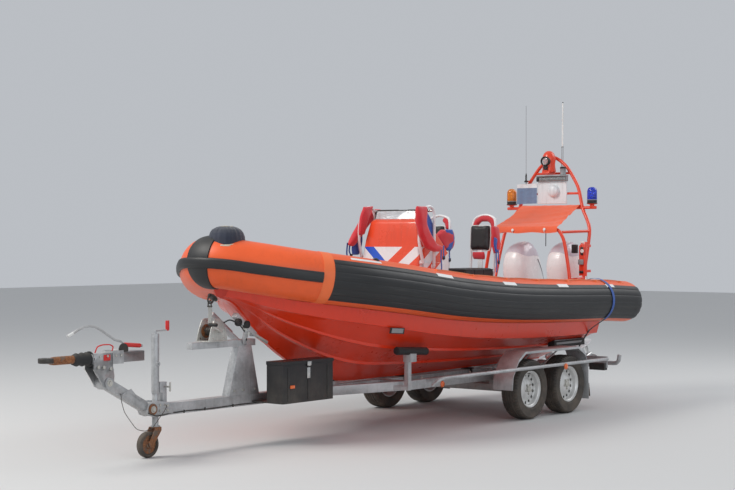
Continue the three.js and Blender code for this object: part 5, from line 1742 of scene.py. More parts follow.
def back_pad(side, sign):
    y = sign * SEAT_Y
    edges = [(at(x, y - w, z), at(x, y + w, z)) for x, z, w in
             ((-0.114, 2.026, 0.110), (-0.112, 2.005, 0.127), (-0.108, 1.90, 0.130),
              (-0.101, 1.79, 0.127), (-0.099, 1.757, 0.106))]
    pad = pad_net(edges, 0.074, Vector((1, 0, 0.1)).normalized(), steps=8, crease=0.0015)
    fill_up(pad, 0.008)
    keep(pad, f"seat_back_{side}", "vinyl_black")
    rim = [pair[0] for pair in edges] + [pair[1] for pair in reversed(edges)] + [edges[0][0]]
    keep(pipe(rounded(rim, 5, 0.3), 0.005, 10, False), f"seat_back_piping_{side}", "white_plastic")
    stem = block(at(-0.112, y - 0.03, 1.555), at(-0.092, y + 0.03, 1.775), 0.003)
    rail = rod(at(-0.150, y - 0.147, 1.88), at(-0.150, y + 0.147, 1.88), 0.010, 14)
    keep(join("stem", [stem, rail]), f"seat_stem_{side}", "rail_powder")


for side, sign in SIDES.items():
    seat_cushion(side, sign)
    back_pad(side, sign)
print("cushions and backs done")

# %% [markdown]
# Four life jackets hang over the console's hoops and the seats' backs. Each is a red collar,
# thick and soft, with its blue lining turned out and loose webbing with a buckle. Rows run
# from the top of the jacket to its hem.

# %% Life jackets
JACKETS = {
    # y of the pad, its thickness, red rows and blue rows as (front x, aft x, front z, aft z)
    "rail_starboard": (-0.434, 0.078,
                       [(0.860, 0.690, 2.205, 2.205), (0.930, 0.775, 2.165, 2.120),
                        (1.035, 0.900, 2.090, 2.030), (1.140, 1.010, 1.980, 1.925),
                        (1.225, 1.120, 1.870, 1.835), (1.248, 1.180, 1.815, 1.800)],
                       [(1.060, 0.985, 1.985, 1.980), (1.110, 0.990, 1.880, 1.860),
                        (1.170, 1.020, 1.790, 1.760), (1.160, 1.060, 1.715, 1.715)]),
    "rail_port": (0.438, 0.080,
                  [(1.245, 1.060, 2.212, 2.216), (1.252, 1.060, 2.150, 2.140),
                   (1.232, 1.060, 2.040, 2.040), (1.190, 0.985, 1.915, 1.920),
                   (1.090, 0.880, 1.785, 1.830), (0.960, 0.800, 1.745, 1.800),
                   (0.850, 0.780, 1.740, 1.795)],
                  [(1.075, 0.960, 2.170, 2.170), (1.080, 0.880, 2.100, 2.080),
                   (1.050, 0.820, 1.990, 1.980), (0.960, 0.820, 1.895, 1.880)]),
    "seat_starboard": (-0.100, 0.072,
                       [(0.075, -0.150, 1.990, 1.990), (0.150, -0.185, 1.930, 1.930),
                        (0.150, -0.190, 1.860, 1.850), (0.090, -0.150, 1.790, 1.780),
                        (0.030, -0.090, 1.750, 1.750)],
                       [(0.020, -0.110, 1.985, 1.985), (0.020, -0.150, 1.900, 1.900),
                        (0.010, -0.120, 1.800, 1.800), (0.000, -0.080, 1.755, 1.755)]),
    "seat_port": (0.485, 0.070,
                  [(-0.055, -0.170, 2.025, 2.015), (-0.050, -0.185, 1.960, 1.950),
                   (-0.055, -0.190, 1.870, 1.860), (-0.070, -0.190, 1.780, 1.780),
                   (-0.095, -0.160, 1.725, 1.730)],
                  [(-0.055, -0.110, 1.900, 1.895), (-0.058, -0.130, 1.820, 1.815),
                   (-0.085, -0.140, 1.740, 1.740)])}


def edge_pairs(rows, y, scale=1.0):
    pairs = []
    for front, aft, front_z, aft_z in rows:
        middle, half = (front + aft) / 2, (front - aft) / 2 * scale
        middle_z, half_z = (front_z + aft_z) / 2, (front_z - aft_z) / 2 * scale
        pairs.append((at(middle + half, y, middle_z + half_z),
                      at(middle - half, y, middle_z - half_z)))
    return pairs


def jacket(name, y, thick, rows, lining_rows, number):
    out = Vector((0, 1 if y > 0 or name == "seat_starboard" else -1, 0))
    pad = pad_net(edge_pairs(rows, y, 0.96), thick * 0.86, out, seed=number * 3.7, crease=0.009)
    fill_up(pad, 0.007)
    keep(pad, f"life_jacket_{name}_pad", "jacket_red", stands_for=f"life_jacket_{name}", angle=60)
    shift = 0.36 if name.startswith("seat") else 0.20
    face = 0.362 if name == "rail_port" else y + out.y * (thick * shift)
    lining = pad_net(edge_pairs(lining_rows, face), 0.022, out, seed=number + 9.1, crease=0.008,
                     columns=16)
    keep(lining, f"life_jacket_{name}_lining", "jacket_blue", angle=60)
    low_front, low_aft, low_z, low_aft_z = rows[-1]
    hang = []
    for share, drop in ((0.2, 0.20), (0.8, 0.12)):
        top_x = low_front + (low_aft - low_front) * share
        top_z = low_z + (low_aft_z - low_z) * share
        hang.append(webbing([at(top_x, y + out.y * 0.02, top_z + 0.03),
                             at(top_x + 0.008, y + out.y * 0.024, top_z - drop * 0.4),
                             at(top_x - 0.012, y + out.y * 0.016, top_z - drop * 0.8),
                             at(top_x - 0.008, y + out.y * 0.012, top_z - drop)],
                            Vector((0.016, 0.004, 0)), 0.0025))
    keep(join("straps", hang), f"life_jacket_{name}_straps", "strap_blue")
    buckle = block(at(top_x - 0.030, y + out.y * 0.014 - 0.006, top_z - drop * 0.8 - 0.018),
                   at(top_x + 0.006, y + out.y * 0.014 + 0.006, top_z - drop * 0.8 + 0.018), 0.003)
    keep(buckle, f"life_jacket_{name}_buckle", "black_plastic")


for number, (name, (y, thick, rows, lining_rows)) in enumerate(JACKETS.items()):
    jacket(name, y, thick, rows, lining_rows, number)
front_rows = [(1.100, 0.930, 2.215, 2.225), (1.140, 0.980, 2.130, 2.160),
              (1.165, 1.040, 2.020, 2.040), (1.175, 1.080, 1.920, 1.930)]
front_pad = pad_net(edge_pairs(front_rows, -0.352, 0.96), 0.050, Vector((0, -1, 0)), seed=7.7,
                    crease=0.009)
keep(front_pad, "life_jacket_rail_starboard_front", "jacket_red", angle=60)
torch = block(at(0.765, -0.372, 2.135), at(0.875, -0.340, 2.172), 0.008, 3)
keep(torch, "rail_torch", "black_plastic")

HOOP_TOP = [(-0.176, 0.150, 2.015), (-0.190, 0.122, 2.088), (-0.195, 0.060, 2.128),
            (-0.195, -0.040, 2.130), (-0.189, -0.115, 2.090), (-0.176, -0.150, 2.020)]


def collar_over(points, radius, seed):
    """The soft collar of a jacket, laid over a seat's hoop as a sleeve that thickens."""
    line, rows = rounded(points, 7), []
    for k, point in enumerate(line):
        t = k / (len(line) - 1)
        ahead = (line[min(k + 1, len(line) - 1)] - line[max(k - 1, 0)]).normalized()
        side = ahead.cross(Vector((1, 0, 0))).normalized()
        size = radius * (0.45 + 0.55 * crown(t))
        rows.append([point + (Vector((1, 0, 0)) * math.cos(a) * 0.9 + side * math.sin(a)) * size
                     * (1 + 0.18 * ripple.noise(point * 14 + Vector((seed, a, 0))))
                     for a in circle(20)])
    return skin(rows, closed=True, caps=True)


for name, middle, part, radius in (("seat_port", SEAT_Y, HOOP_TOP, 0.034),
                                   ("seat_starboard", -SEAT_Y, HOOP_TOP[:3], 0.030)):
    sleeve = collar_over([at(x, middle + y * 0.84, z - 0.026) for x, y, z in part], radius,
                         middle * 9)
    keep(sleeve, f"life_jacket_{name}_collar", "jacket_red", angle=60)
low_pad = pad_net([(at(-0.085, 0.215, 1.742), at(-0.085, 0.365, 1.742)),
                   (at(-0.090, 0.210, 1.70), at(-0.090, 0.370, 1.70)),
                   (at(-0.098, 0.220, 1.665), at(-0.098, 0.360, 1.662))], 0.034,
                  Vector((1, 0, 0)), seed=5, crease=0.006)
keep(low_pad, "life_jacket_seat_port_tail", "jacket_red", angle=60)
print("jackets:", len(JACKETS))

# %% [markdown]
# # Lamp arch
# Red tubes lean aft over the engines and carry the beacons, a searchlight under its hood, a
# white board and the aerials. The tubes follow the construction model's lines.

# %% Arch tubes, bars and feet
ARCH_R = 0.020
BAR_X, BAR_Z, BEACON_Y = -2.03, 2.25, 0.555
REAR_LEG = [(-1.66, 0.600, 0.970), (-1.74, 0.605, 1.400), (-1.93, 0.580, 1.980),
            (-2.012, 0.440, 2.240), (-2.055, 0.350, 2.500), (-2.080, 0.180, 2.740),
            (-2.090, 0.000, 2.850)]
FRONT_LEG = [(-1.480, 0.590, 0.970), (-1.490, 0.575, 1.450), (-1.500, 0.500, 1.850),
             (-1.500, 0.430, 1.975), (-1.505, 0.340, 1.992), (-1.505, 0.000, 1.992)]
BARS = [
    # x, z, half length, radius
    (BAR_X, BAR_Z, 0.610, 0.018), (-2.045, 2.420, 0.370, 0.014), (-2.075, 2.660, 0.245, 0.014)]
tubes = []
for line in (REAR_LEG, FRONT_LEG):
    half = [at(*p) for p in line]
    whole = half + [Vector((p.x, -p.y, p.z)) for p in reversed(half[:-1])]
    tubes.append(pipe(rounded(whole, 8), ARCH_R, 20))
for x, z, half, radius in BARS:
    tubes.append(rod(at(x, -half, z), at(x, half, z), radius, 20, 0.003))
for sign in SIDES.values():
    for a, b in (((-1.500, 0.440, 1.960), (-1.930, 0.580, 1.975)),
                 ((-1.490, 0.576, 1.420), (-1.745, 0.604, 1.430))):
        tubes.append(rod(at(a[0], sign * a[1], a[2]), at(b[0], sign * b[1], b[2]), 0.016, 18))
    tubes.append(rod(at(BAR_X, sign * BEACON_Y, BAR_Z), at(BAR_X, sign * BEACON_Y, BAR_Z + 0.040),
                     0.026, 24, 0.003))
    tubes.append(turned([(0, 0), (0.030, 0), (0.060, 0.008), (0.062, 0.011), (0, 0.011)],
                        at(BAR_X, sign * BEACON_Y, BAR_Z + 0.033), "z", 36))
shelf = block(at(-2.085, -0.05, 2.655), at(-1.90, 0.05, 2.675), 0.003)
keep(join("arch", [*tubes, shelf]), "arch_tubes", "arch_powder", stands_for="arch")
feet = []
for sign in SIDES.values():
    for x, y in ((-1.66, 0.600), (-1.48, 0.590)):
        feet.append(turned([(0, 0), (0.036, 0), (0.036, 0.005), (0.026, 0.010), (0.024, 0.032),
                            (0, 0.032)], at(x, sign * y, DECK_Z + 0.0005), "z", 28))
        for turn in (45, 135, 225, 315):
            dx, dy = (0.029 * f(math.radians(turn)) for f in (math.cos, math.sin))
            foot_bolt = at(x + dx, sign * y + dy, DECK_Z)
            feet.append(rod(foot_bolt, foot_bolt + Vector((0, 0, 0.010)), 0.0045, 6))
keep(join("feet", feet), "arch_feet", "stainless")
print("arch bent")

# %% [markdown]
# A beacon is a ribbed dome of tinted plastic over a dark base with a flange. The ribs are a
# wave on the dome's radius, and a lamp stands inside.

# %% Beacons
RIBS = 24


def beacon(side, sign, lens):
    foot = at(BAR_X, sign * BEACON_Y, BAR_Z + 0.0443)
    base = turned([(0, 0), (0.060, 0), (0.062, 0.004), (0.062, 0.008), (0.057, 0.012),
                   (0.057, 0.040), (0.052, 0.044), (0, 0.044)], foot, "z", 48)
    keep(base, f"beacon_{side}_base", "black_plastic", stands_for=f"beacon_{side}")
    rows = []
    for radius, height in ((0.0555, 0.044), (0.0565, 0.048), (0.0562, 0.10), (0.0555, 0.148),
                           (0.052, 0.163), (0.046, 0.178), (0.035, 0.188), (0.018, 0.1935),
                           (0.004, 0.195)):
        wave = 0.0011 if height < 0.16 else 0.0003
        rows.append([foot + Vector((math.cos(a) * (radius + wave * math.cos(RIBS * a)),
                                    math.sin(a) * (radius + wave * math.cos(RIBS * a)), height))
                     for a in circle(RIBS * 6)])
    keep(skin(rows, closed=True, caps=True), f"beacon_{side}_dome", lens, angle=50)
    inner = [turned([(0, 0.044), (0.040, 0.044), (0.034, 0.055), (0.012, 0.058), (0, 0.058)],
                    foot, "z", 28),
             turned([(0, 0.058), (0.014, 0.058), (0.017, 0.085), (0.012, 0.105), (0, 0.110)],
                    foot, "z", 20),
             plate([(BAR_X - 0.030, BAR_Z + 0.105), (BAR_X - 0.022, BAR_Z + 0.105),
                    (BAR_X - 0.022, BAR_Z + 0.175), (BAR_X - 0.030, BAR_Z + 0.175)],
                   sign * BEACON_Y, 0.05, 0.002)]
    keep(join("lamp", inner), f"beacon_{side}_lamp", "stainless")
    ring = turned([(0.0555, 0.040), (0.0600, 0.040), (0.0600, 0.047), (0.0555, 0.049)], foot, "z",
                  48)
    keep(ring, f"beacon_{side}_ring", "grey_plastic")


beacon("port", 1, "lens_blue")
beacon("starboard", -1, "lens_amber")
print("beacons lit from outside only")

# %% [markdown]
# The searchlight stands under a red hood that flares to a folded skirt. Below its round window
# a second, smaller one looks the same way.

# %% Searchlight
HOOD_X, HOOD_Z = -1.98, 2.6755
HOOD = [
    # radius, height
    (0.078, 0.0), (0.080, 0.012), (0.074, 0.05), (0.071, 0.09), (0.076, 0.125), (0.078, 0.155),
    (0.072, 0.190), (0.058, 0.220), (0.038, 0.240), (0.016, 0.248), (0.003, 0.2495)]


def hood_ring(radius, height):
    ring = []
    for a in circle(72):
        low_share = max(0.0, 1 - height / 0.11)
        fold = 1 + 0.035 * low_share * math.cos(9 * a + 0.6) + 0.02 * ripple.noise(
            Vector((math.cos(a) * 2, math.sin(a) * 2, height * 14)))
        ring.append(at(HOOD_X, 0, HOOD_Z) + Vector((radius * fold * math.cos(a),
                                                    radius * fold * math.sin(a), height)))
    return ring


hood = skin([hood_ring(r, h) for r, h in HOOD], closed=True, caps=True)
keep(hood, "searchlight_hood", "lamp_paint", stands_for="searchlight", angle=60)
WINDOW = at(-1.955, 0, 2.8)
rim = turned([(0.050, 0.030), (0.056, 0.030), (0.057, 0.072), (0.054, 0.078), (0.046, 0.078),
              (0.044, 0.066), (0.044, 0.030)], WINDOW, "x", 40)
keep(rim, "searchlight_rim", "black_rubber")
keep(turned([(0, 0.040), (0.045, 0.040), (0.045, 0.060), (0.030, 0.066), (0, 0.068)], WINDOW, "x",
            40), "searchlight_glass", "lens_clear")
keep(turned([(0, 0.030), (0.016, 0.030), (0.040, 0.050), (0.042, 0.050), (0.042, 0.026),
             (0, 0.026)], WINDOW, "x", 36), "searchlight_reflector", "stainless")
low_window = [turned([(0, 0.0), (0.030, 0.0), (0.030, 0.02), (0.026, 0.026), (0, 0.026)],
                     at(-1.915, 0, 2.727), "x", 28),
              block(at(-1.94, -0.034, 2.690), at(-1.905, 0.034, 2.706), 0.004)]
keep(join("low_window", low_window), "searchlight_low_eye", "black_plastic")
print("searchlight done")

# %% [markdown]
# The board is a white panel with a shallow raised edge, under a long lamp with a ribbed
# metal face. A round white cap sits near its middle, and a bolt holds each corner.

# %% White board and its lamp
BOARD_X = BAR_X + 0.0183
board = [slab([at(BOARD_X, y, z) for y, z in ((-0.170, 2.31), (-0.160, 2.30), (0.220, 2.30),
                                              (0.230, 2.31), (0.230, 2.559), (-0.170, 2.559))],
              Vector((0.013, 0, 0)), 0.003, 3)]
edge = [at(BOARD_X + 0.012, y, z) for y, z in ((-0.162, 2.308), (0.222, 2.308), (0.222, 2.552),
                                               (-0.162, 2.552), (-0.162, 2.308))]
board.append(pipe(rounded(edge, 5, 0.05), 0.004, 10, False))
board.append(turned([(0, 0.010), (0.069, 0.010), (0.071, 0.018), (0.071, 0.044), (0.064, 0.056),
                     (0.040, 0.068), (0, 0.073)], at(BOARD_X, 0.06, 2.45), "x", 48))
for y, z in ((-0.145, 2.325), (0.205, 2.325), (-0.145, 2.535), (0.205, 2.535)):
    board.append(rod(at(BOARD_X + 0.010, y, z), at(BOARD_X + 0.018, y, z), 0.007, 14, 0.002))
keep(join("board", board), "arch_board_panel", "board_plastic", stands_for="arch_board")
case = [block(at(BOARD_X, -0.165, 2.562), at(BOARD_X + 0.038, 0.245, 2.630), 0.005, 3),
        block(at(BOARD_X - 0.002, -0.168, 2.622), at(BOARD_X + 0.058, 0.248, 2.634), 0.003)]
keep(join("case", case), "board_lamp_case", "grey_plastic")
ribs = [block(at(BOARD_X + 0.036, -0.125 + 0.0128 * k, 2.568),
              at(BOARD_X + 0.052, -0.1185 + 0.0128 * k, 2.620), 0.002, 1) for k in range(28)]
keep(join("ribs", ribs), "board_lamp_ribs", "stainless")
keep(block(at(BOARD_X + 0.036, -0.166, 2.566), at(BOARD_X + 0.050, -0.130, 2.618), 0.004),
     "board_lamp_end", "black_plastic")
can = turned([(0, 0), (0.036, 0), (0.037, 0.008), (0.034, 0.012), (0.034, 0.074),
              (0.036, 0.078), (0, 0.078)], at(-2.005, 0.178, 2.634), "z", 32)
keep(can, "board_top_can", "grey_plastic")
keep(turned([(0, 0.078), (0.036, 0.078), (0.037, 0.092), (0.028, 0.100), (0, 0.102)],
            at(-2.005, 0.178, 2.634), "z", 32), "board_top_cap", "black_plastic")
print("board done")

# %% [markdown]
# The tall aerial is white above and has two thin rods below. The other one is a thin whip on
# a black spring, held to the arch by a red arm.

# %% Aerials
AERIAL = at(-2.12, 0.100, 0)


def on_aerial(z):
    return Vector((AERIAL.x - (z - 2.4) * 0.018 + 0.010, AERIAL.y, z))


upper = [rod(on_aerial(2.98), on_aerial(3.24), 0.0095, 20),
         rod(on_aerial(3.24), on_aerial(3.495), 0.0085, 20, 0.002)]
keep(join("upper", upper), "aerial_tall", "white_plastic")
lower = [rod(on_aerial(2.43) + Vector((0, y, 0)), on_aerial(2.985) + Vector((0, y, 0)), 0.0035, 10)
         for y in (-0.009, 0.009)]
lower += [rod(on_aerial(z) - Vector((0, 0.014, 0)), on_aerial(z) + Vector((0, 0.014, 0)), 0.006, 12)
          for z in (2.55, 2.78, 2.975)]
lower.append(rod(on_aerial(2.40), on_aerial(2.44), 0.016, 20, 0.003))
keep(join("lower", lower), "aerial_stem", "grey_plastic")
keep(rod(on_aerial(3.49), on_aerial(3.508), 0.0065, 16, 0.003), "aerial_tip", "black_plastic")
keep(block(at(-2.112, 0.085, 2.400), at(-2.040, 0.115, 2.430), 0.004), "aerial_bracket",
     "arch_powder")
WHIP = at(-1.997, -0.330, 0)
whip_arm = [block(at(-2.050, -0.339, 2.412), at(-1.990, -0.321, 2.430), 0.003),
            rod(at(-1.997, -0.33, 2.575), at(-2.058, -0.305, 2.575), 0.008, 14)]
keep(join("whip_arm", whip_arm), "whip_arm", "arch_powder")
coils = [WHIP + Vector((0.010 * math.cos(a), 0.010 * math.sin(a), 2.585 + 0.045 * k / 72))
         for k, a in ((k, 2 * math.pi * k / 12) for k in range(73))]
whip_base = [turned([(0, 2.562), (0.022, 2.562), (0.024, 2.572), (0.014, 2.586), (0, 2.586)],
                    WHIP, "z", 28), pipe(coils, 0.0022, 8),
             turned([(0, 2.630), (0.012, 2.630), (0.005, 2.668), (0, 2.670)], WHIP, "z", 20),
             rod(WHIP + Vector((0, 0, 2.396)), WHIP + Vector((0, 0, 2.566)), 0.005, 14)]
keep(join("whip_base", whip_base), "whip_base", "black_plastic")
keep(pipe([WHIP + Vector((0, 0, z)) for z in (2.665, 3.0, 3.3, 3.478)], 0.0026, 10), "whip",
     "grey_plastic")
print("aerials up")

# %% [markdown]
# The equipment panel on the port legs carries a round socket, a white tag and three small
# boxes.

# %% Equipment panel
panel = [slab([at(x, 0.668, z) for x, z in ((-1.700, 1.470), (-1.690, 1.460), (-1.645, 1.460),
                                            (-1.640, 1.465), (-1.640, 1.780), (-1.655, 1.850),
                                            (-1.690, 1.850), (-1.700, 1.840))],
              Vector((0, 0.016, 0)), 0.004, 3),
         slab([at(-1.668, y, z) for y, z in ((0.600, 1.465), (0.680, 1.465), (0.680, 1.800),
                                             (0.640, 1.850), (0.600, 1.800))],
              Vector((0.010, 0, 0)), 0.003, 2)]
panel += [block(at(-1.860, 0.626, z), at(-1.650, 0.640, z + 0.030), 0.003) for z in (1.50, 1.79)]
keep(join("panel", panel), "equipment_panel_plate", "panel_powder", stands_for="equipment_panel")
SOCKET = at(-1.656, 0.655, 1.745)
keep(block(SOCKET + Vector((0, -0.030, -0.045)), SOCKET + Vector((0.014, 0.030, 0.045)), 0.005,
           3), "panel_socket_plate", "black_plastic")
keep(turned([(0, 0.014), (0.020, 0.014), (0.022, 0.024), (0.014, 0.028), (0.012, 0.020),
             (0, 0.020)], SOCKET, "x", 28), "panel_socket", "white_plastic")
PANEL_BOXES = [
    # piece, finish, two corners, edge round, steps of the round
    ("tag", "white_plastic", (-1.658, 0.615, 1.835), (-1.650, 0.672, 1.856), 0.002, 2),
    ("light_box", "grey_plastic", (-1.657, 0.604, 1.590), (-1.625, 0.672, 1.650), 0.006, 3),
    ("low_box", "black_plastic", (-1.658, 0.610, 1.490), (-1.640, 0.668, 1.520), 0.004, 2),
    ("dark_box", "black_plastic", (-1.70, 0.500, 1.720), (-1.655, 0.565, 1.820), 0.006, 3)]
for name, finish_name, corner, far_corner, edge_round, steps in PANEL_BOXES:
    keep(block(at(*corner), at(*far_corner), edge_round, steps), f"panel_{name}", finish_name)
print("panel done")

# %% [markdown]
# The cover is one sheet of cloth, lashed over the front tube and the rear bar. It sags between
# them in long folds that run across the boat and are gathered at the port end. The folds are
# modelled: a ridge of noise that is long across and short along, stronger at the gathers.

# %% Arch cover
COVER_LINE = [(-1.462, 1.955), (-1.463, 1.990), (-1.474, 2.022), (-1.505, 2.040), (-1.640, 2.092),
              (-1.850, 2.190), (-1.985, 2.268), (-2.030, 2.282), (-2.056, 2.270), (-2.058, 2.240)]
COVER_ACROSS = [v / 40 for v in range(-40, 41)]


def cover_net():
    line = rounded([Vector((x, 0, z)) for x, z in COVER_LINE], 8)
    run = lengths(line)
    rows = []
    for point, along in zip(line, run):
        u = along / run[-1]
        row = []
        for v in COVER_ACROSS:
            half = 0.425 - 0.038 * u + 0.008 * math.sin(9 * u)
            gathered = max(0.0, v - 0.35) / 0.65
            free = math.sin(math.pi * min(1, max(0, (u - 0.10) / 0.78)))
            slant = u * 11 - v * 1.1
            fold = ripple.noise(Vector((v * 1.0, slant, 3.0)))
            tight = ripple.noise(Vector((v * 5.0, u * 16, 8.0)))
            lift = free * (0.020 * fold + 0.020 * gathered * tight)
            lift += (1 - free) * 0.004 * tight
            sag = -0.016 * free * (1 - v * v)
            hem = 0.006 * math.sin(7 * v) if u < 0.08 else 0.0
            row.append(at(point.x, v * half, point.z + lift + sag + hem))
        rows.append(row)
    return rows


rows = cover_net()
cover = skin(rows)
COVER_AREA = sum(face.area for face in cover.data.polygons)
COVER_WIDTH = max(lengths(row)[-1] for row in rows)
COVER_CUT = max(COVER_AREA / COVER_WIDTH, max(lengths(column)[-1] for column in zip(*rows)))
modify(cover, "SOLIDIFY", thickness=0.0016, offset=0)
keep(cover, "arch_cover_cloth", "cover_cloth", stands_for="arch_cover", angle=80)
lashings = []
for x, y, z in ((-1.458, 0.262, 1.992), (-1.458, -0.170, 1.985)):
    lashings.append(turned([(0, 0), (0.015, 0.0), (0.018, 0.005), (0.012, 0.012), (0, 0.013)],
                           at(x, y, z), Vector((1, 0, 0.15)), 18))
    lashings.append(pipe(rounded([at(x + 0.004, y - 0.004, z - 0.010), at(x + 0.002, y, z - 0.035),
                                  at(-1.490, y, 1.968), at(-1.512, y, 1.985)]), 0.003, 8))
lashings = join("lashings", lashings)
keep(lashings, "cover_lashings", "bar_white")
keep(webbing([at(-1.480, 0.269, 1.966), at(-1.478, 0.269, 1.90), at(-1.476, 0.270, 1.84),
              at(-1.475, 0.270, 1.80)], Vector((0, 0.005, 0)), 0.002), "cover_strap",
     "black_rubber")
print("cover:", round(COVER_WIDTH, 3), "x", round(COVER_CUT, 3), "m")

# %% [markdown]
# The flag is a plain blue-grey cloth with a pale stripe along its top. It hangs beside the
# board in shallow waves.

# %% Flag
def build_flag_cloth():
    tree, shader, place, uv = finish("flag_cloth", "flag_cloth", sheen=0.3)
    height = node(tree, "SeparateXYZ", {0: place}).outputs["Z"]
    stripe = math_node(tree, "GREATER_THAN", height, 2.493)
    base = mix(tree, stripe, (0.16, 0.23, 0.36, 1), (0.72, 0.74, 0.76, 1))
    tone = use(tree, "Uneven tone", Vector=place, Color=base, Scale=4.0, Amount=0.12)
    weave = use(tree, "Woven cloth", Vector=uv, Threads=600.0, Depth=0.3)
    feed(tree, shader, Base_Color=tone["Color"], Roughness=0.8, Normal=weave["Normal"])


build_flag_cloth()
flag_rows = []
for j in range(25):
    z = 2.306 + 0.2375 * j / 24
    flag_rows.append([at(-1.989 + 0.0065 * math.sin(16 * t + 0.8 * j / 24) * (0.3 + 0.7 * t)
                         + 0.003 * ripple.noise(Vector((t * 6, j * 0.3, 0))),
                         -0.174 - 0.282 * t, z - 0.006 * t * t)
                      for t in (k / 32 for k in range(33))])
flag_piece = skin(flag_rows)
FLAG_CUT = max(lengths(row)[-1] for row in flag_rows)
FLAG_DROP = max(lengths(column)[-1] for column in zip(*flag_rows))
modify(flag_piece, "SOLIDIFY", thickness=0.0008, offset=0)
keep(flag_piece, "flag_sheet", "flag_cloth", stands_for="flag", angle=80)
ties = [turned([(0.004, -0.001), (0.007, -0.001), (0.007, 0.001), (0.004, 0.001)],
               at(-1.989, -0.180, z), "x", 16) for z in (2.530, 2.425, 2.320)]
ties += [rod(at(-1.9915, -0.332, z), at(-1.9915, -0.322, z), 0.0045, 10)
         for z in (2.535, 2.32)]
ties = join("ties", ties)
keep(ties, "flag_eyelets", "stainless")
print("flag:", round(FLAG_CUT, 3), "x", round(FLAG_DROP, 3), "m")

# %% [markdown]
# # Outboard engines
# Each engine is drawn upright about its tilt pivot, as in a workshop manual, and then tilted.
# What tilts, what steers and what stays on the transom ride on different bodies of the model.

# %% Where the engines are
ENGINE_Y = 0.30
TILT = math.radians(17)
PIVOT_X, PIVOT_Z = TRANSOM_X - 0.075, 1.09
KINGPIN_X = -0.060
SHAFT_Z, PLATE_Z = -0.735, -0.560
TRANSOM_FACE = 0.0747


def upright(side, x, y, z):
    """From the engine's own upright drawing to its tilted place."""
    return at(PIVOT_X + x * math.cos(TILT) + z * math.sin(TILT), SIDES[side] * ENGINE_Y + y,
              PIVOT_Z - x * math.sin(TILT) + z * math.cos(TILT))


def direction(x, z):
    return Vector((x * math.cos(TILT) + z * math.sin(TILT), 0,
                   -x * math.sin(TILT) + z * math.cos(TILT)))


ALONG, ABOVE = direction(1, 0), direction(0, 1)


def oval(side, x, z, half_x, half_y, power=3.0):
    ring = []
    for a in circle(64):
        c, s = math.cos(a), math.sin(a)
        ring.append(upright(side, x + half_x * math.copysign(abs(c) ** (2 / power), c),
                            half_y * math.copysign(abs(s) ** (2 / power), s), z))
    return ring


def faired(table, steps=6):
    """Rows of numbers, with smooth rows put in between."""
    lines = [rounded([Vector((k, row[c], 0)) for k, row in enumerate(table)], steps)
             for c in range(len(table[0]))]
    return [[line[k].y for line in lines] for k in range(len(lines[0]))]


for name, color, rough, coat in (("cowl_band", (0.62, 0.60, 0.67), 0.3, 0.3),
                                 ("cowl_line", (0.10, 0.10, 0.12), 0.4, 0.2)):
    paint(name, color, None, rough, coat, 0.05, 0.1, 0.05, 0.1, (90.0, 0.02))
print("engines tilted by", round(math.degrees(TILT)), "degrees")

# %% [markdown]
# The cowl is a smooth dome with a lilac-grey cap and a slanted line on each side. A rubber seal
# runs round its foot.

# %% Cowls
COWL = [
    # z, half length, half width, middle x
    (0.0725, 0.222, 0.148, -0.195), (0.090, 0.240, 0.162, -0.195), (0.120, 0.2565, 0.173, -0.195),
    (0.220, 0.262, 0.177, -0.195), (0.330, 0.264, 0.177, -0.195), (0.430, 0.256, 0.172, -0.197),
    (0.520, 0.240, 0.162, -0.200), (0.590, 0.213, 0.146, -0.204), (0.640, 0.184, 0.127, -0.209),
    (0.675, 0.150, 0.104, -0.214), (0.698, 0.112, 0.078, -0.220), (0.708, 0.074, 0.052, -0.224),
    (0.7115, 0.040, 0.028, -0.226), (0.7122, 0.008, 0.006, -0.227)]
COWL_ROWS = faired(COWL, 4)
COWL_X = -0.195


def cowl_size(z):
    for a, b in zip(COWL_ROWS, COWL_ROWS[1:]):
        if a[0] <= z <= b[0] and b[0] > a[0]:
            t = (z - a[0]) / (b[0] - a[0])
            return [p + (q - p) * t for p, q in zip(a, b)]
    return COWL_ROWS[-1]


def on_cowl(side, z, angle, lift=0.0):
    _, half_x, half_y, x = cowl_size(z)
    c, s = math.cos(angle), math.sin(angle)
    return upright(side, x + (half_x + lift) * math.copysign(abs(c) ** (2 / 3), c),
                   (half_y + lift) * math.copysign(abs(s) ** (2 / 3), s), z)


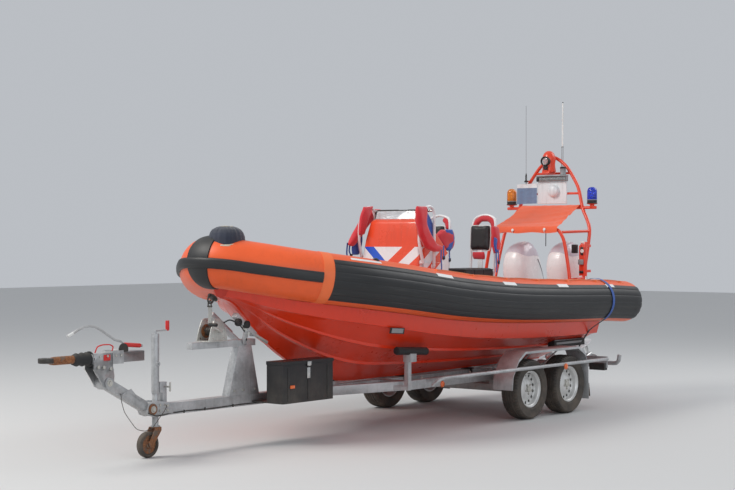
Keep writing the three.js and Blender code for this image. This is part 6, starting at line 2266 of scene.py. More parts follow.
def cowl(side):
    body = f"engine_{side}"
    rows = [oval(side, x, z, half_x, half_y) for z, half_x, half_y, x in COWL_ROWS]
    keep(skin(rows, closed=True, caps=True), f"cowl_{side}_shell", "cowl_paint", body,
         f"cowl_{side}", angle=50)
    cap_rows = []
    for k in range(16):
        t = k / 15
        ring = []
        for angle in circle(96):
            edge = 0.560 + 0.10 * math.cos(angle)
            z = edge + (0.7115 - edge) * t
            ring.append(on_cowl(side, z, angle, 0.0016))
        cap_rows.append([p + ABOVE * 0.0012 * t for p in ring])
    keep(skin(cap_rows, closed=True, caps=True), f"cowl_{side}_cap", "cowl_band", body, angle=50)
    for way in (-1, 1):
        slant = [(0.115, 2.32), (0.22, 2.20), (0.34, 2.05), (0.45, 1.92), (0.50, 1.87)]
        strip = []
        for a, b in zip(slant, slant[1:]):
            for t in (0, 0.25, 0.5, 0.75):
                z, angle = a[0] + (b[0] - a[0]) * t, a[1] + (b[1] - a[1]) * t
                strip.append([on_cowl(side, z, way * (angle + d), 0.0015)
                              for d in (-0.05, -0.02, 0.02, 0.05)])
        label = "port" if way > 0 else "starboard"
        keep(skin(strip), f"cowl_{side}_line_{label}", "cowl_line", body, angle=60)
        place = on_cowl(side, 0.145, way * 0.95, 0.0)
        outward = (place - upright(side, COWL_X, 0, 0.145)).normalized()
        stud = turned([(0, -0.002), (0.010, -0.002), (0.010, 0.002), (0.006, 0.004), (0, 0.004)],
                      place, outward, 20)
        keep(stud, f"cowl_{side}_stud_{label}", "black_plastic", body)
    seal = oval(side, COWL_X, 0.0715, 0.226, 0.150)
    keep(pipe([*seal, seal[0]], 0.0045, 8, False), f"cowl_{side}_seal", "black_rubber", body)
    intake = [slab([upright(side, COWL_X - 0.262, y, z) for y, z in
                    ((-0.07, 0.50), (0.07, 0.50), (0.08, 0.47), (0.08, 0.42), (0.07, 0.40),
                     (-0.07, 0.40), (-0.08, 0.42), (-0.08, 0.47))], ALONG * 0.020, 0.004)]
    intake += [rod(upright(side, -0.459, y, 0.41), upright(side, -0.459, y, 0.49), 0.003, 8)
               for y in (-0.05, -0.025, 0, 0.025, 0.05)]
    keep(join("intake", intake), f"cowl_{side}_intake", "black_plastic", body)
    latch = block(upright(side, 0.022, -0.03, 0.11), upright(side, 0.060, 0.03, 0.145), 0.004)
    keep(latch, f"cowl_{side}_latch", "grey_plastic", body)


# %% Legs
LEG = [
    # z, half length, half width, middle x
    (0.0715, 0.190, 0.120, -0.195), (0.060, 0.184, 0.116, -0.195), (0.036, 0.160, 0.104, -0.195),
    (0.010, 0.128, 0.086, -0.203), (-0.040, 0.102, 0.070, -0.208), (-0.120, 0.085, 0.058, -0.200),
    (-0.260, 0.080, 0.051, -0.201), (-0.400, 0.077, 0.045, -0.203), (-0.552, 0.076, 0.040, -0.205)]
STRUT = [(-0.548, 0.100, 0.030, -0.205), (-0.600, 0.098, 0.027, -0.207),
         (-0.660, 0.096, 0.024, -0.211), (-0.735, 0.095, 0.022, -0.215)]


def plate_fin(side, z, half_x, half_y, thick, x):
    rows = [oval(side, x, z, half_x - 0.004, half_y - 0.004, 2.2),
            oval(side, x, z + thick * 0.2, half_x, half_y, 2.2),
            oval(side, x, z + thick * 0.8, half_x, half_y, 2.2),
            oval(side, x, z + thick, half_x - 0.004, half_y - 0.004, 2.2)]
    return skin(rows, closed=True, caps=True)


def leg(side):
    body = f"engine_{side}"
    parts = [skin([oval(side, x, z, hx, hy, 3 if z > -0.1 else 2.3) for z, hx, hy, x in
                   faired(LEG, 4)], closed=True, caps=True),
             plate_fin(side, PLATE_Z, 0.200, 0.090, 0.014, -0.250),
             plate_fin(side, -0.455, 0.115, 0.062, 0.010, -0.215),
             skin([oval(side, x, z, hx, hy, 2.0) for z, hx, hy, x in faired(STRUT, 4)],
                  closed=True, caps=True)]
    pod = [(0.0, -0.120), (0.030, -0.120), (0.043, -0.110), (0.052, -0.060), (0.058, 0.0),
           (0.057, 0.050), (0.050, 0.095), (0.038, 0.130), (0.022, 0.155), (0.008, 0.165),
           (0.0, 0.166)]
    parts.append(turned(pod, upright(side, -0.2, 0, SHAFT_Z), ALONG, 40))
    skeg = [(-0.130, SHAFT_Z - 0.030), (-0.138, SHAFT_Z - 0.100), (-0.152, SHAFT_Z - 0.152),
            (-0.175, SHAFT_Z - 0.178), (-0.205, SHAFT_Z - 0.185), (-0.245, SHAFT_Z - 0.172),
            (-0.262, SHAFT_Z - 0.120), (-0.290, SHAFT_Z - 0.030)]
    parts.append(slab([upright(side, x, -0.006, z) for x, z in skeg], Vector((0, 0.012, 0)),
                      0.004, 2))
    parts.append(rod(upright(side, KINGPIN_X, 0, 0.0305), upright(side, KINGPIN_X, 0, 0.060),
                     0.034, 28, 0.004))
    arm = slab([upright(side, x, y, 0.032) for x, y in
                ((-0.11, -0.034), (-0.03, -0.030), (0.020, -0.018), (0.024, 0.018),
                 (-0.03, 0.030), (-0.11, 0.034))], ABOVE * 0.018, 0.004)
    parts.append(arm)
    keep(join("leg", parts), f"leg_{side}_case", "engine_paint", body, f"leg_{side}", angle=35)
    grille = [slab([upright(side, x, way * 0.0235 - 0.001, z) for x, z in
                    ((-0.19 - 0.014 * k, -0.66), (-0.182 - 0.014 * k, -0.66),
                     (-0.190 - 0.014 * k, -0.62), (-0.198 - 0.014 * k, -0.62))],
                   Vector((0, 0.002, 0)), 0) for k in range(5) for way in (-1, 1)]
    keep(join("grille", grille), f"leg_{side}_water_inlets", "black_plastic", body)
    anode = block(upright(side, -0.42, -0.018, PLATE_Z - 0.004),
                  upright(side, -0.34, 0.018, PLATE_Z - 0.028), 0.005)
    keep(anode, f"leg_{side}_anode", "zinc_axle", body)
    bolts = []
    for x, z in ((-0.12, -0.50), (-0.28, -0.50), (-0.13, -0.02), (-0.28, -0.03)):
        for way in (-1, 1):
            y = way * (0.030 if z < -0.2 else 0.066)
            bolts.append(rod(upright(side, x, y, z), upright(side, x, y + way * 0.012, z), 0.007, 6))
    keep(join("bolts", bolts), f"leg_{side}_bolts", "stainless", body)


print("cowl and leg drawn")

# %% [markdown]
# The clamp bracket grips the transom, the tilt tube runs through it, and the swivel hangs on
# the tube. The propeller has three blades on a hub, which a nut holds.

# %% Clamps, swivels and propellers
HOOK = [(-0.052, 0.022), (-0.052, -0.235), (-0.030, -0.260), (TRANSOM_FACE, -0.260),
        (TRANSOM_FACE, -0.009), (0.148, -0.009), (0.148, 0.008), (0.010, 0.022)]


def clamp(side):
    middle = SIDES[side] * ENGINE_Y
    arms = [plate([(PIVOT_X + x, PIVOT_Z + z) for x, z in HOOK], middle + y, 0.026, 0.004, 3)
            for y in (-0.105, 0.105)]
    web = block(at(PIVOT_X + TRANSOM_FACE - 0.030, middle - 0.105, PIVOT_Z - 0.250),
                at(PIVOT_X + TRANSOM_FACE, middle + 0.105, PIVOT_Z - 0.060), 0.005)
    keep(join("clamp", [*arms, web]), f"clamp_{side}_bracket", "bracket_paint",
         stands_for=f"clamp_{side}")
    steel = [rod(at(PIVOT_X, middle - 0.128, PIVOT_Z), at(PIVOT_X, middle + 0.128, PIVOT_Z),
                 0.0125, 24, 0.002)]
    for y in (-0.105, 0.105):
        for x, z in ((-0.030, -0.20), (0.045, -0.21), (0.045, -0.05)):
            steel.append(rod(at(PIVOT_X + x, middle + y - 0.019, PIVOT_Z + z),
                             at(PIVOT_X + x, middle + y + 0.019, PIVOT_Z + z), 0.009, 6))
        for z in (-0.003, -0.012):
            steel.append(rod(at(PIVOT_X + 0.128, middle + y, PIVOT_Z + z),
                             at(PIVOT_X + 0.128, middle + y, PIVOT_Z + z + 0.015), 0.008, 6))
    keep(join("steel", steel), f"clamp_{side}_bolts", "stainless")


def swivel(side):
    body = f"tilt_{side}"
    parts = [rod(upright(side, 0, -0.0915, 0), upright(side, 0, -0.016, 0), 0.024, 28, 0.003),
             rod(upright(side, 0, 0.016, 0), upright(side, 0, 0.0915, 0), 0.024, 28, 0.003),
             rod(upright(side, KINGPIN_X, 0, -0.300), upright(side, KINGPIN_X, 0, 0.0295), 0.036,
                 32, 0.004),
             slab([upright(side, x, -0.070, z) for x, z in
                   ((KINGPIN_X, -0.022), (0.008, -0.022), (0.013, -0.012), (0.013, 0.012),
                    (0.008, 0.022), (KINGPIN_X, 0.022))], Vector((0, 0.140, 0)), 0.004),
             slab([upright(side, x, -0.045, z) for x, z in
                   ((KINGPIN_X, -0.330), (-0.034, -0.330), (-0.025, -0.300), (-0.025, 0.0),
                    (KINGPIN_X, 0.0))], Vector((0, 0.090, 0)), 0.004)]
    parts += [rod(upright(side, KINGPIN_X, 0, z), upright(side, KINGPIN_X, 0, z + 0.012), 0.042,
                  32, 0.003) for z in (-0.28, -0.02)]
    keep(join("swivel", parts), f"swivel_{side}_block", "bracket_paint", body, f"swivel_{side}")


def blade(hub, turn):
    """A cupped, twisted blade: its pitch eases from root to tip."""
    rows = []
    for k in range(11):
        t = k / 10
        radius = 0.030 + 0.123 * t
        chord = 0.052 * math.sin(math.pi * (0.18 + 0.80 * t) ** 0.9) ** 0.55 + 0.004
        pitch = math.radians(52 - 30 * t)
        ring = []
        for a in circle(20):
            c, s = math.cos(a), math.sin(a)
            off = chord * c - 0.014 * t * t
            thick = (0.0052 - 0.0034 * t) * s + 0.004 * c * c * t
            ring.append(Vector((math.sin(pitch) * off + math.cos(pitch) * thick,
                                math.cos(pitch) * off - math.sin(pitch) * thick, radius)))
        rows.append([Matrix.Rotation(math.radians(turn), 3, "X") @ p for p in ring])
    rows = [[hub + ALONG * p.x + Vector((0, p.y, 0)) + ABOVE * p.z for p in row] for row in rows]
    return skin(rows, closed=True, caps=True)


def propeller(side):
    hub = upright(side, -0.375, 0, SHAFT_Z)
    parts = [turned([(0.020, -0.055), (0.031, -0.055), (0.034, -0.020), (0.037, 0.030),
                     (0.037, 0.0545), (0.030, 0.0545), (0.027, -0.040), (0.020, -0.045)], hub,
                    ALONG, 36)]
    parts += [blade(hub, turn) for turn in (0, 120, 240)]
    keep(join("propeller", parts), f"propeller_{side}_blades", "propeller_steel",
         f"propeller_{side}", f"propeller_{side}", angle=40)
    nut = turned([(0, -0.054), (0.010, -0.054), (0.014, -0.046), (0.014, -0.034), (0.022, -0.030),
                  (0.022, 0.040), (0, 0.040)], hub, ALONG, 6)
    keep(nut, f"propeller_{side}_nut", "stainless", f"propeller_{side}")


for side in SIDES:
    cowl(side)
    leg(side)
    clamp(side)
    swivel(side)
    propeller(side)
print("engines built")

# %% [markdown]
# # Wheels
# One wheel is modelled at the origin and copied to its four places. The tyre is a closed net
# run round the axle: its cross-section carries the grooves that run round the tread, and at
# every tread gap the shoulder's points are pulled in to cut the blocks.

# %% Tyre
TYRE_HALF = [(0.1905, 0.060), (0.190, 0.070), (0.198, 0.084), (0.206, 0.089), (0.210, 0.0925),
             (0.215, 0.0915), (0.235, 0.0955), (0.262, 0.0975), (0.284, 0.0965), (0.288, 0.0975),
             (0.292, 0.0950), (0.301, 0.0900), (0.3075, 0.0820), (0.3110, 0.0700),
             (0.3130, 0.0520), (0.3065, 0.0505), (0.3065, 0.0430), (0.3135, 0.0415),
             (0.3140, 0.0185), (0.3070, 0.0170), (0.3070, 0.0100), (0.3140, 0.0085)]
PITCHES = 54


def tyre_ring(angle, gap):
    ring = TYRE_HALF + [(r, -h) for r, h in reversed(TYRE_HALF)]
    points = []
    for r, h in ring:
        if gap and r > 0.296 and abs(h) > 0.051:
            r -= 0.007
        points.append(Vector((r * math.sin(angle), h, r * math.cos(angle))))
    return points


def tyre_rings():
    rings, step = [], 2 * math.pi / PITCHES
    for k in range(PITCHES):
        for share, gap in ((0.0, False), (0.66, False), (0.72, True), (0.94, True)):
            rings.append(tyre_ring((k + share) * step, gap))
    return [*rings, rings[0]]


tyre = skin(tyre_rings(), closed=True)
print("tyre:", len(tyre.data.polygons), "faces")

# %% [markdown]
# The rim is pressed steel: a barrel with rolled lips and a dished disc with fourteen slots.
# The slots are cut with small blocks set round a circle. Five bolts hold the disc to the hub.

# %% Rim, bolts and hub cap
BARREL = [(0.190, 0.070), (0.192, 0.077), (0.188, 0.080), (0.183, 0.078), (0.178, 0.066),
          (0.170, 0.058), (0.166, 0.022), (0.165, -0.006), (0.149, -0.014), (0.149, -0.034),
          (0.168, -0.058), (0.184, -0.078), (0.190, -0.079), (0.192, -0.072), (0.175, -0.056),
          (0.155, -0.028), (0.155, -0.016), (0.171, -0.004), (0.172, 0.018), (0.176, 0.054),
          (0.190, 0.070)]
DISC = [(0.022, 0.038), (0.026, 0.041), (0.066, 0.043), (0.074, 0.040), (0.105, 0.022),
        (0.120, 0.012), (0.134, 0.0075), (0.150, 0.0075), (0.160, 0.010), (0.1665, 0.020),
        (0.1635, 0.0225), (0.157, 0.0135), (0.150, 0.0115), (0.134, 0.0115), (0.121, 0.016),
        (0.107, 0.026), (0.078, 0.045), (0.067, 0.048), (0.026, 0.046), (0.022, 0.042),
        (0.022, 0.038)]
SLOTS = 14


def slot_cutter(angle):
    cutter = block((-0.0145, -0.03, 0.130), (0.0145, 0.05, 0.159), 0.006, 3)
    cutter.data.transform(Matrix.Rotation(angle, 4, "Y"))
    return cutter


disc = turned(DISC, (0, 0, 0), "y", 84)
cutters = join("slot_cutters", [slot_cutter(angle) for angle in circle(SLOTS)])
modify(disc, "BOOLEAN", operation="DIFFERENCE", object=cutters)
bpy.data.objects.remove(cutters)
rim = join("rim", [turned(BARREL, (0, 0, 0), "y", 84), disc])
backing = turned([(0, 0.003), (0.163, 0.003), (0.163, -0.001), (0, -0.001)], (0, 0, 0), "y", 48)
cap = turned([(0.020, 0.030), (0.034, 0.040), (0.034, 0.060), (0.031, 0.064), (0.012, 0.067),
              (0.0, 0.0675)], (0, 0, 0), "y", 40)
bolts = []
for k in range(5):
    angle = 2 * math.pi * (k + 0.5) / 5
    x, z = 0.051 * math.sin(angle), 0.051 * math.cos(angle)
    bolts.append(rod((x, 0.044, z), (x, 0.060, z), 0.0105, 6, 0.0015))
    bolts.append(rod((x, 0.044, z), (x, 0.049, z), 0.0135, 20, 0.001))
bolts = join("bolts", bolts)
tyre_valve = rod((0, 0.030, 0.166), (0, 0.072, 0.160), 0.0045, 12, 0.001)
print("rim:", len(rim.data.polygons), "faces with", SLOTS, "slots")

# %% Four wheels in their places
WHEEL_X = {"front": 0.0, "rear": -0.765}
WHEEL_PARTS = [(tyre, "tyre_tread", "tyre_road", "tyre"), (rim, "rim_steel", "rim_silver", "rim"),
               (backing, "drum_face", "black_plastic", None), (cap, "hub_cap", "bolt_zinc", None),
               (bolts, "wheel_bolts", "bolt_zinc", None),
               (tyre_valve, "valve", "black_rubber", None)]
for end, x in WHEEL_X.items():
    for side, sign in SIDES.items():
        place = Matrix.Translation(at(x, sign * TRACK / 2, TYRE_R))
        if sign < 0:
            place = place @ Matrix.Rotation(math.pi, 4, "Z")
        for part, name, finish_name, node_name in WHEEL_PARTS:
            twin = copied(part, place)
            source = f"{node_name}_{end}_{side}" if node_name else ()
            keep(twin, f"{name}_{end}_{side}", finish_name, f"wheel_{end}_{side}", source, 35)
for part, *_ in WHEEL_PARTS:
    bpy.data.objects.remove(part)
print("four wheels fitted")

# %% [markdown]
# # Trailer fittings
# The beams came from the construction model with softened edges, and so do a few parts here.
# The other fittings are made from the bow backwards: coupling, drawbar, jockey wheel, winch,
# toolbox, the rollers and bunks the hull lies on, and the lamps at the tail.

# %% Coupling: softened housing, towing eye and rubber bellows
softened("coupling_head", "coupling_steelwork", "zinc_coupling", "coupling_head", 0.0015)
HEAD = "coupling_head"
BELLOWS = [(0.0, -0.002), (0.051, -0.002), (0.059, 0.025), (0.047, 0.050), (0.058, 0.075),
           (0.046, 0.105), (0.055, 0.135), (0.041, 0.172), (0.030, 0.174)]
folds = turned(BELLOWS, at(5.168, 0, 0.888), "x", 40)
keep(folds, "coupling_bellows", "black_rubber", HEAD, angle=60)
collar = turned([(0.045, 0), (0.060, 0), (0.063, 0.004), (0.063, 0.010), (0.060, 0.014),
                 (0.045, 0.014)], at(5.154, 0, 0.888), "x", 40)
keep(collar, "coupling_ring", "black_plastic", HEAD)
eye = turned([(0.0262, 0.8805), (0.0262, 0.9165), (0.030, 0.9185), (0.060, 0.9185),
              (0.0632, 0.914), (0.0632, 0.883), (0.060, 0.8785), (0.030, 0.8785),
              (0.0262, 0.8805)], at(5.618, 0, 0), "z", 48)
keep(eye, "towing_eye", "dark_steel", HEAD)
shaft = turned([(0.015, 0.280), (0.030, 0.235), (0.0345, 0.20), (0.0348, 0.0), (0.0, 0.0)],
               at(5.330, 0, 0.892), "x", 32)
keep(shaft, "coupling_shaft", "rusty_steel", HEAD)
red_cover = block(at(4.985, -0.064, 0.868), at(5.060, 0.0655, 0.918), 0.004)
keep(red_cover, "coupling_red_plate", "red_plastic", HEAD)


def bolt_pairs(places, inner, outer, radius, round_edge=0.0015):
    """Hexagon heads on both sides. places: x and z. They stand from y inner to y outer."""
    return [rod(at(x, sign * inner, z), at(x, sign * outer, z), radius, 6, round_edge)
            for x, z in places for sign in (-1, 1)]


bolts = bolt_pairs([(x, 0.905) for x in (4.87, 4.93, 5.02, 5.10)], 0.058, 0.075, 0.011)
bolts += bolt_pairs([(5.000, 0.680), (5.060, 0.815), (4.985, 0.800), (5.120, 0.820)], 0.060,
                    0.074, 0.016, 0.002)
keep(join("bolts", bolts), "coupling_bolts", "bolt_zinc", HEAD)
print("coupling dressed")

# %% Handbrake lever, its ratchet and the red pull
tip = turned([(0.0, 0.0), (0.0115, 0.004), (0.0125, 0.02), (0.0125, 0.06), (0.0112, 0.064)],
             at(5.420, 0.030, 1.085), Vector((-0.16, 0, 0.065)), 20)
keep(tip, "lever_tip", "white_plastic", HEAD)
grip = rod(at(4.805, 0.030, 0.9885), at(4.62, 0.030, 0.971), 0.0185, 20, 0.004)
keep(grip, "lever_pull", "red_plastic", HEAD)
sector = turned([(0.0, -0.004), (0.052, -0.004), (0.052, 0.004), (0.0, 0.004)],
                at(4.830, 0.052, 0.950), "y", 28)
keep(sector, "lever_ratchet", "dark_steel", HEAD)
loop_points = [at(4.955, 0.045, 0.940), at(4.945, 0.050, 0.978), at(4.985, 0.052, 0.998),
               at(5.060, 0.052, 1.000), at(5.115, 0.048, 0.985), at(5.135, 0.040, 0.936)]
keep(pipe(rounded(loop_points, 6), 0.0055, 12), "coupling_cable_loop", "red_plastic", HEAD)
print("lever dressed")

# %% [markdown]
# The drawbar arm turns between toothed discs, which lock its height. A disc is a flat plate
# whose outline steps in and out round a circle, four points to a tooth.

# %% Drawbar arm
softened("drawbar_arm", "arm_box", "zinc_coupling", "drawbar_arm", 0.003)


def toothed_disc(centre, radius, teeth, thickness):
    ring = []
    for k, angle in enumerate(circle(teeth * 4)):
        r = radius if k % 4 < 2 else radius - 0.005
        ring.append(centre + Vector((r * math.cos(angle), 0, r * math.sin(angle))))
    return slab(ring, Vector((0, thickness, 0)), 0.0006, 1)


DISC_Y, DISC_THICK = 0.062, 0.010
for side, sign in reversed(SIDES.items()):
    for name, body, x, z, finish_name in (("lower", "root", 4.505, 0.420, "rusty_steel"),
                                          ("upper", HEAD, 5.000, 0.680, "zinc_coupling")):
        start, _ = side_span(sign, DISC_Y, DISC_Y + DISC_THICK)
        tooth = toothed_disc(at(x, start, z), 0.050, 26, DISC_THICK)
        keep(tooth, f"tooth_disc_{name}_{side}", finish_name, body)
        foot, top, rim_y = (at(x, sign * (DISC_Y + rise), z) for rise in (0.006, 0.030, 0.014))
        head = rod(foot, top, 0.019, 6, 0.002)
        washer = rod(foot, rim_y, 0.029, 28, 0.001)
        keep(join("nut", [head, washer]), f"arm_nut_{name}_{side}", "bolt_zinc", body)
fold = slab([at(4.62, 0.0358, 0.500), at(4.74, 0.0358, 0.575), at(4.85, 0.0358, 0.560),
             at(4.80, 0.0358, 0.590), at(4.73, 0.0358, 0.612)], Vector((0, 0.004, 0)), 0.001)
keep(fold, "arm_fold", "zinc_coupling", "drawbar_arm")
print("drawbar arm dressed")

# %% Breakaway cable: a thin steel wire from the beam's ear to the arm
# x is in metres, y and z are in millimetres
CABLE = [(4.362, 62.3, 448), (4.362, 76, 448), (4.370, 92, 435), (4.410, 104, 398),
         (4.497, 121, 333), (4.542, 130, 300), (4.577, 132, 273), (4.658, 130, 255),
         (4.745, 120, 280), (4.810, 104, 361), (4.848, 84, 429), (4.866, 68, 514),
         (4.862, 58, 560), (4.860, 48, 578), (4.860, 35.3, 578)]
cable_line = rounded([at(x, y / 1000, z / 1000) for x, y, z in CABLE], 5)
cable = pipe(cable_line, 0.003, 12)
keep(cable, "breakaway_wire", "dark_steel", "root", "breakaway_cable")
round(lengths(cable_line)[-1], 3)
clip = block(at(4.356, 0.0625, 0.440), at(4.368, 0.072, 0.456), 0.002)
keep(clip, "breakaway_clip", "bolt_zinc")
print("cable:", round(lengths(cable_line)[-1], 3), "m")

# %% [markdown]
# The jockey wheel stands on a telescopic leg: the outer tube is clamped to the beam and the
# inner one slides and turns in it.

# %% Jockey wheel
softened("jockey_tube", "jockey_inner_tube", "zinc_frame", "jockey_tube", 0.001)
softened("jockey_fork", "jockey_fork_steel", "rusty_steel", "jockey_fork", 0.002)
JOCKEY = at(4.490, -0.015, 0.112)
small_tyre = turned([(0.078, 0.014), (0.080, 0.020), (0.083, 0.0278), (0.092, 0.0288),
                     (0.1035, 0.0275), (0.109, 0.0215), (0.1118, 0.012), (0.112, 0.0),
                     (0.1118, -0.012), (0.109, -0.0215), (0.1035, -0.0275), (0.092, -0.0288),
                     (0.083, -0.0278), (0.080, -0.020), (0.078, -0.014)], JOCKEY, "y", 56)
keep(small_tyre, "jockey_tyre", "tyre_jockey", "jockey_wheel", "jockey_wheel", angle=50)
web = turned([(0.0098, 0.030), (0.030, 0.030), (0.034, 0.026), (0.036, 0.014), (0.072, 0.013),
              (0.080, 0.016), (0.080, -0.016), (0.072, -0.013), (0.036, -0.014), (0.034, -0.026),
              (0.030, -0.030), (0.0098, -0.030)], JOCKEY, "y", 56)
keep(web, "jockey_disc", "rusty_steel", "jockey_wheel")
t_bar = rod(at(4.315, 0.020, 0.600), at(4.315, 0.082, 0.600), 0.008, 14, 0.001)
cross = rod(at(4.315, 0.080, 0.560), at(4.315, 0.080, 0.640), 0.008, 14, 0.003)
keep(join("clamp_handle", [t_bar, cross]), "jockey_clamp_handle", "bolt_zinc")
tab = turned([(0.008, 0), (0.022, 0), (0.022, 0.006), (0.008, 0.006), (0.008, 0)],
             at(4.400, 0.019, 0.800), "y", 24)
keep(tab, "jockey_tab", "zinc_frame")
knob = turned([(0.0085, 1.078), (0.0165, 1.082), (0.0175, 1.10), (0.0175, 1.155), (0.0155, 1.169),
               (0.0, 1.171)], at(4.255, -0.015, 0), "z", 28)
keep(knob, "crank_knob", "red_plastic")
print("jockey wheel dressed")

# %% Winch: cheeks, drum with wire, handle
WINCH_X, WINCH_Z = 3.720, 1.050
CHEEK = [(3.600, 0.960), (3.606, 1.030), (3.640, 1.110), (3.668, 1.148), (3.700, 1.165),
         (3.740, 1.164), (3.770, 1.150), (3.806, 1.08), (3.840, 0.960)]
frame_parts = [block(at(3.600, -0.085, 0.9605), at(3.840, 0.085, 0.968), 0.001)]
for sign in (-1, 1):
    frame_parts.append(plate(CHEEK, sign * 0.075, 0.010, 0.0015))
    for x in (3.65, 3.79):
        frame_parts.append(rod(at(x, sign * 0.07, 0.985), at(x, sign * 0.087, 0.985), 0.012, 6,
                               0.001))
frame_parts.append(rod(at(3.655, -0.072, 1.125), at(3.655, 0.072, 1.125), 0.008, 14))
keep(join("winch_frame", frame_parts), "winch_cheeks", "winch_silver", "root", "winch")
drum = turned([(0, -0.069), (0.062, -0.069), (0.062, -0.064), (0.030, -0.062), (0.030, 0.062),
               (0.062, 0.064), (0.062, 0.069), (0, 0.069)], at(WINCH_X, 0, WINCH_Z), "y", 40)
gear = toothed_disc(at(WINCH_X, -0.069, WINCH_Z), 0.062, 36, 0.006)
keep(join("drum", [drum, gear]), "winch_drum", "rusty_steel")
turns = []
for k in range(240):
    angle = 2 * math.pi * k / 24
    turns.append(at(WINCH_X + 0.036 * math.cos(angle), -0.055 + 0.11 * k / 240,
                    WINCH_Z + 0.036 * math.sin(angle)))
keep(pipe(turns, 0.0055, 8), "winch_wire_on_drum", "dark_steel")
crank = pipe(rounded([at(WINCH_X, 0.078, WINCH_Z), at(WINCH_X, 0.122, WINCH_Z),
                      at(WINCH_X + 0.01, 0.126, WINCH_Z + 0.004), at(3.872, 0.126, 1.118),
                      at(3.880, 0.132, 1.120), at(3.880, 0.150, 1.120)], 4, 0.2), 0.0095, 14)
keep(crank, "winch_crank", "winch_silver")
handle_grip = turned([(0.0, 0.124), (0.0150, 0.126), (0.0165, 0.140), (0.0155, 0.175),
                      (0.0165, 0.214), (0.0120, 0.2205), (0.0, 0.221)], at(3.880, 0, 1.120), "y",
                     24)
keep(handle_grip, "winch_grip", "black_rubber")
print("winch built")

# %% Bow rollers with their guide, and the winch hose
for number, (x, z) in enumerate(((3.56, 1.130), (3.455, 1.106))):
    wheel = turned([(0.0, -0.024), (0.026, -0.024), (0.034, -0.018), (0.036, 0.0),
                    (0.034, 0.018), (0.026, 0.024), (0.0, 0.024)], at(x, 0.178, z), "y", 32)
    keep(wheel, f"bow_roller_{number + 1}", "black_rubber")
guide = [rod(at(3.455, 0.150, 1.075), at(3.150, 0.150, 0.928), 0.016, 16, 0.003),
         rod(at(3.395, 0.150, 1.046), at(3.395, 0.150, 1.010), 0.014, 12, 0.001),
         rod(at(3.455, 0.150, 1.085), at(3.455, 0.186, 1.106), 0.010, 12, 0.001),
         rod(at(3.560, 0.150, 1.130), at(3.560, 0.202, 1.130), 0.008, 12, 0.001)]
keep(join("guide", guide), "bow_guide", "winch_silver")
hose = rounded([at(3.640, 0.060, 1.120), at(3.600, 0.110, 1.150), at(3.500, 0.128, 1.110),
                at(3.400, 0.118, 1.020), at(3.360, 0.090, 0.955)], 6)
keep(pipe(hose, 0.007, 10), "winch_hose", "black_rubber")
print("bow rollers set")

# %% [markdown]
# The toolbox is black plastic with stiffening ridges, a steel hasp and an orange side lamp.

# %% Toolbox fittings
softened("toolbox_lid", "box_lid", "box_plastic", "toolbox_lid", 0.006, 3)
ridges = [block(at(x - 0.014, 0.4535, 0.405), at(x + 0.014, 0.4610, 0.712), 0.003)
          for x in (2.640, 2.920, 3.200)]
keep(join("ridges", ridges), "box_ridges", "box_plastic")
hasp = [block(at(2.893, 0.4685, 0.718), at(2.947, 0.4705, 0.755), 0.001),
        block(at(2.905, 0.4600, 0.7130), at(2.935, 0.4710, 0.7240), 0.002)]
keep(join("hasp", hasp), "box_hasp", "stainless", "toolbox_lid")
keep(block(at(2.898, 0.4562, 0.600), at(2.942, 0.4625, 0.700), 0.003), "box_catch", "stainless")
keep(block(at(3.120, 0.4562, 0.520), at(3.180, 0.4700, 0.550), 0.005, 3), "box_lamp",
     "orange_lens")
print("toolbox dressed")

# %% Rollers and bunks under the hull
KEEL_ROLLERS = [(2.100, 0.474), (0.900, 0.440), (-0.300, 0.440), (-1.150, 0.440)]
BUNK_Y = 0.640
for number, (x, z) in enumerate(KEEL_ROLLERS):
    wheel = turned([(0.0, -0.0712), (0.0335, -0.0712), (0.0352, -0.062), (0.0352, -0.028),
                    (0.0344, 0.0), (0.0352, 0.028), (0.0352, 0.062), (0.0335, 0.0712),
                    (0.0, 0.0712)], at(x, 0, z), "y", 32)
    keep(wheel, f"keel_roller_{number + 1}", "black_rubber")
for side, sign in SIDES.items():
    sleeve = rod(at(1.372, sign * 0.660, 0.7715), at(1.858, sign * 0.660, 0.8005), 0.0392, 32,
                 0.008)
    keep(sleeve, f"side_roller_{side}", "black_rubber")
    bunk = block(at(-1.645, sign * BUNK_Y - 0.0465, 0.6805),
                 at(-0.995, sign * BUNK_Y + 0.0465, 0.7605), 0.010, 3)
    keep(bunk, f"bunk_{side}", "black_rubber")
    y0, y1 = side_span(sign, BUNK_Y + 0.0468, BUNK_Y + 0.0498)
    strip = block(at(-1.60, y0, 0.712), at(-1.03, y1, 0.735), 0.001)
    keep(strip, f"bunk_strip_{side}", "grey_plastic")
print("rollers and bunks on")

# %% [markdown]
# # Tail of the trailer
# The lamp board carries black lamp housings with red lenses that face aft. Rubber flaps, marker
# lamps, bolts, the tied cable and the blue ratchet strap over the port tube complete the trailer.

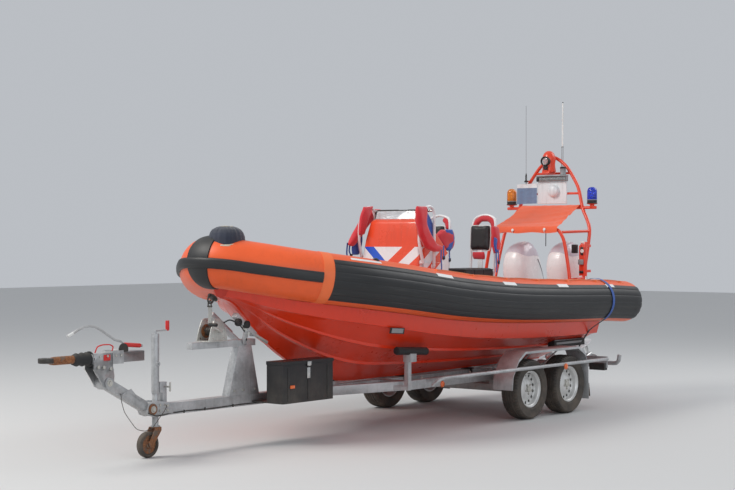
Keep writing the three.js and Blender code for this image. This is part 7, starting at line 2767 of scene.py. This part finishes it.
# %% Lamps and flaps
MARKER = [(0.0, 0.016), (0.024, 0.014), (0.033, 0.006), (0.034, 0.0), (0.0, 0.0)]
for side, sign in SIDES.items():
    y0, y1 = side_span(sign, 0.757, 0.953)
    keep(block(at(-1.6885, y0, 0.4020), at(-1.6175, y1, 0.4810), 0.005, 3), f"tail_lamp_{side}",
         "black_plastic")
    lens = []
    for a, b in ((0.765, 0.820), (0.826, 0.884), (0.890, 0.946)):
        low_y, high_y = side_span(sign, a, b)
        lens.append(block(at(-1.6925, low_y, 0.410), at(-1.6870, high_y, 0.473), 0.002))
    keep(join("lens", lens), f"tail_lens_{side}", "red_lens")
    flap_y0, flap_y1 = side_span(sign, 0.815, 1.049)
    flap = skin([[at(-1.119 - 0.006 * k, flap_y0, 0.300 - 0.036 * k),
                  at(-1.121 - 0.006 * k, (flap_y0 + flap_y1) / 2, 0.300 - 0.036 * k),
                  at(-1.119 - 0.006 * k, flap_y1, 0.300 - 0.036 * k)] for k in range(5)])
    modify(flap, "SOLIDIFY", thickness=0.004, offset=0)
    keep(flap, f"mud_flap_{side}", "flap_rubber")
    marker = turned(MARKER, at(-0.560, sign * 1.092, 0.520), Vector((0, sign, 0)), 28)
    keep(marker, f"side_marker_{side}", "orange_lens")
    low_marker = turned(MARKER, at(0.945, sign * 0.549, 0.408), Vector((0, sign, 0)), 28)
    keep(low_marker, f"frame_marker_{side}", "orange_lens")
print("lamps and flaps on")

# %% Bolts along the frame
RAIL_Z = 0.500
SIDE_RAIL_X = (1.30, 0.46, 0.16, -0.35, -0.60, -0.93, -1.25, -1.50)
bolts = bolt_pairs([(x, RAIL_Z) for x in SIDE_RAIL_X], 0.548, 0.561, 0.0105)
bolts += bolt_pairs([(x, RAIL_Z) for x in (3.20, 3.36, 3.48)], 0.043, 0.060, 0.012)
bolts += bolt_pairs([(4.33, 0.40), (4.33, 0.44), (4.42, 0.40), (4.42, 0.45)], 0.060, 0.072,
                    0.012)
keep(join("bolts", bolts), "frame_bolts", "bolt_zinc")
print("bolts on")

# %% Cable tied under the beam
wire = rounded([at(4.56, 0.066, 0.392), at(4.46, 0.070, 0.360), at(4.30, 0.058, 0.368),
                at(4.05, 0.0535, 0.372), at(3.78, 0.0535, 0.366), at(3.40, 0.0535, 0.372),
                at(3.00, 0.0535, 0.368), at(2.62, 0.0535, 0.372)], 6)
ties = [block(at(x - 0.004, 0.0500, 0.357), at(x + 0.004, 0.0595, 0.384), 0.001)
        for x in (4.12, 3.86, 3.50, 3.10, 2.75)]
keep(join("wire", [pipe(wire, 0.0055, 10), *ties]), "lighting_cable", "black_rubber")
print("cable tied")

# %% Blue ratchet strap over the tube at the stern
LASHING_X, LASHING_LIFT, LASHING_HALF = -1.46, 0.0135, 0.022
rows = []
for angle in range(118, -66, -8):
    point = on_collar(distance_at(LASHING_X), angle, LASHING_LIFT)
    rows.append([point + Vector((x, 0, 0)) for x in (-LASHING_HALF, 0, LASHING_HALF)])
strap = skin(rows)
modify(strap, "SOLIDIFY", thickness=0.002, offset=0)
keep(strap, "lashing_strap_port", "strap_blue", angle=70)
low = rows[-1][1]
tail = webbing([low, at(-1.49, 0.84, 0.86), at(-1.50, 0.72, 0.70), at(-1.50, 0.640, 0.60)],
               Vector((0.018, 0, 0)), 0.002)
keep(tail, "lashing_tail_port", "black_rubber")
buckle = block(at(-1.525, 0.615, 0.560), at(-1.475, 0.665, 0.610), 0.006, 3)
keep(buckle, "lashing_buckle_port", "bolt_zinc")
print("strap ends at", [round(v, 3) for v in low])

# %% Every construction node has its finished piece
left = [name for name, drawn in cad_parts.items() if not drawn.hide_render]
if left:
    raise RuntimeError("without a finished piece: " + ", ".join(left))
print("construction nodes all dressed")
